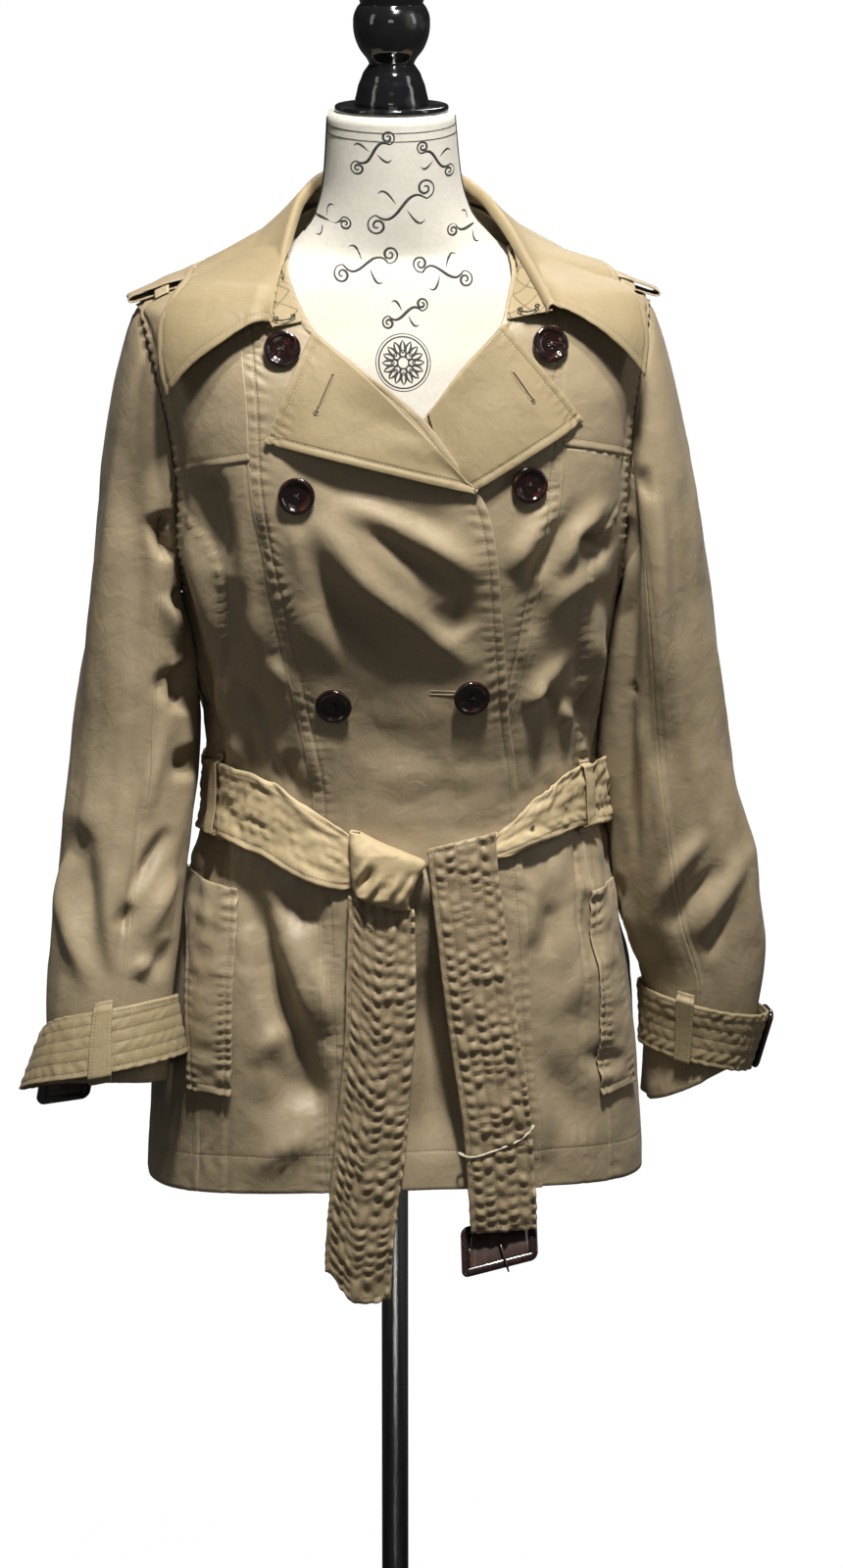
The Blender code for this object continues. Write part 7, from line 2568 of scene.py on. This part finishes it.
RIGHT_ARM_FOLDS = (
    (-1.6, 3, -188, 917, -195, 824, -204, 773, -214, 707, -226, 651, -233, 609),
    (3, 15, -248, 1080, -240, 960, -250, 840, -262, 740), (-2.6, 12, -216, 1070, -208, 960, -214, 850),
    (-17, 9, -192, 990, -184, 970, -176, 952), (-13, 7, -173, 928, -170, 908),
    (-13, 8, -180, 866, -172, 846, -178, 826), (-8, 9, -168, 800, -172, 770),
    (4.5, 6, -190, 926, -181, 903, -178, 880), (-4.5, 6, -180, 866, -190, 852, -184, 836),
    (3.5, 7, -186, 830, -198, 780, -206, 740), (-6, 6, -184, 738, -200, 716, -218, 686),
    (4.5, 7, -180, 704, -194, 680, -206, 650), (-4.5, 6, -228, 660, -216, 682), (4, 6, -204, 640, -216, 622),
    (-4, 6, -190, 650, -198, 616), (5, 7, -272, 700, -264, 655, -252, 610),
    (-5.5, 10, -256, 745, -250, 690, -240, 612), (2.5, 8, -232, 720, -236, 660, -226, 616),
    (-3.5, 9, -274, 700, -262, 722, -244, 736))
RIGHT_ARM_SIDE_FOLDS = (
    (4, 14, -40, 1060, -46, 940, -52, 800), (-4, 12, 0, 1020, -8, 900, -30, 760),
    (4.5, 10, -70, 760, -60, 690, -72, 620), (-4.5, 10, -30, 740, -50, 680, -60, 620),
    (4, 8, -10, 700, -24, 660, -34, 616))
RIGHT_ARM_BACK_FOLDS = (
    (-4, 12, -200, 1050, -214, 940, -220, 840), (4.6, 9, -190, 860, -216, 820, -240, 800),
    (-4.4, 9, -196, 780, -220, 760, -246, 752), (4.2, 9, -206, 720, -222, 680, -226, 620))
LEFT_ARM_FOLDS = (
    (-10, 8, 178, 1128, 180, 1040, 181, 950, 182, 840, 183, 740, 184, 650),
    (5.5, 8, 200, 1030, 204, 940, 208, 850, 212, 780), (-3, 4, 186, 838, 183, 828),
    (5, 6, 194, 812, 197, 730, 198, 650), (-4.5, 6, 196, 800, 194, 730, 198, 660), (-6, 6, 176, 676, 180, 640),
    (4, 7, 206, 780, 212, 720, 206, 660), (-2.8, 14, 222, 1010, 232, 900, 246, 790),
    (5, 8, 250, 720, 226, 690, 206, 644), (-5, 8, 262, 690, 238, 664, 222, 632),
    (4.5, 9, 284, 700, 262, 664, 244, 622), (-3.6, 7, 270, 660, 256, 630, 250, 606),
    (2.6, 12, 236, 1000, 252, 880, 268, 770), (-3.5, 6, 190, 1020, 196, 990))
LEFT_ARM_SIDE_FOLDS = (
    (4, 14, -10, 1060, -6, 940, 0, 800), (-4, 12, 30, 1020, 34, 900, 36, 760),
    (4.5, 11, -30, 780, -14, 700, -20, 610), (-4.2, 9, 4, 740, 12, 680, 4, 616))
LEFT_ARM_BACK_FOLDS = (
    (-4, 12, 206, 1050, 216, 940, 226, 820), (4.6, 9, 200, 860, 226, 824, 252, 806),
    (-4.4, 9, 206, 780, 236, 756, 262, 748), (4, 9, 220, 730, 240, 690, 246, 630))


def crease_set(facing: Facing, gain: float, *rows: tuple[float, ...]) -> list[Crease]:
    """Creases of one side, from rows of a depth, a half width and a path."""
    return [Crease(facing, depth * gain, width, tuple(path)) for depth, width, *path in rows]


def dressed_coat() -> None:
    """Builds the coat, piece by piece."""
    folds = [*crease_set(Facing.FRONT, 1.45, *CHEST_FOLDS, *SIDE_FRONT_FOLDS, *LEFT_FRONT_FOLDS, *SKIRT_FOLDS),
             *crease_set(Facing.BACK, 1.8, *BACK_FOLDS), *crease_set(Facing.LEFT, 1.7, *SIDE_FOLDS),
             *crease_set(Facing.RIGHT, 1.7, *SIDE_FOLDS)]
    hidden = crease_set(Facing.FRONT, 1.0, (-3.0, 12, -105, 1045, -50, 1020, 20, 990, 48, 1000))
    body = GarmentBody(GirthSurface(COAT_RINGS, rise_at_back=0.028), folds, hidden)
    CoatPanels(body, KHAKI).build()
    right = SleeveForm(-1, RIGHT_SLEEVE, RIGHT_CUFF, 0.529, 0.012, 0.0, body)
    left = SleeveForm(1, LEFT_SLEEVE, LEFT_CUFF, 0.503, 0.0, 0.022, body)
    right_folds = [*crease_set(Facing.FRONT, 1.65, *RIGHT_ARM_FOLDS), *crease_set(
        Facing.RIGHT, 1.0, *RIGHT_ARM_SIDE_FOLDS), *crease_set(Facing.BACK, 1.0, *RIGHT_ARM_BACK_FOLDS)]
    left_folds = [*crease_set(Facing.FRONT, 1.45, *LEFT_ARM_FOLDS), *crease_set(
        Facing.LEFT, 1.0, *LEFT_ARM_SIDE_FOLDS), *crease_set(Facing.BACK, 1.0, *LEFT_ARM_BACK_FOLDS)]
    Sleeve("right", right, right_folds, KHAKI).build()
    Sleeve("left", left, left_folds, KHAKI).build()
    Lapel("right_lapel", (-0.0715, 1.143), (0.0518, 1.015), (-0.1083, 1.052), (0.0508, 1.013), body, True, 0.0004,
          ((0.17, 0.215), (0.165, 0.575)), TRIM_KHAKI_PAINTED_SHADE).build()
    Lapel("left_lapel", (0.076, 1.148), (0.016, 1.074), (0.1363, 1.064), (0.035, 1.006), body, False, 0.0,
          ((0.2, 0.35), (0.205, 0.605)), TRIM_KHAKI_PAINTED_SHADE).build()
    Collar(body, TRIM_KHAKI_PAINTED_SHADE).build()
    for side, word, welt in ((-1, "right", RIGHT_WELT), (1, "left", LEFT_WELT)):
        Epaulette(side, word, body, KHAKI).build()
        PocketWelt(side, word, welt, body, KHAKI).build()
    Belt(body, BELT_KHAKI_PAINTED_LIGHT, TAIL_KHAKI_PAINTED_SHADE).build()
    CuffStrap("right", right, -62.0, 82.0, -0.14, 0.0032, TRIM_KHAKI_PAINTED_SHADE).build()
    CuffStrap("left", left, -6.0, 112.0, 0.5, 0.0015, TRIM_KHAKI_PAINTED_SHADE).build()
    for row in BUTTONS:
        Button(*row, body).build()
    across = np.linspace(0.019, 0.037, 12)
    measure = np.full_like(across, 0.852)
    turn = body.surface.turn_at(measure, across)
    line = body.at(measure, turn, body.over_lift(measure, turn) + body.wall)
    Buttonhole("front_buttonhole", line, 0.0001, False).build()


def main() -> None:
    """Loads the frame, builds the coat, the form and the studio."""
    logging.basicConfig(level=logging.INFO, format="%(name)s: %(message)s")
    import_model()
    Studio().build()
    dressed_coat()
    DressForm(GirthSurface(FORM_RINGS, lowest=0.574, highest=1.384)).build()


if __name__ == "__main__":
    main()
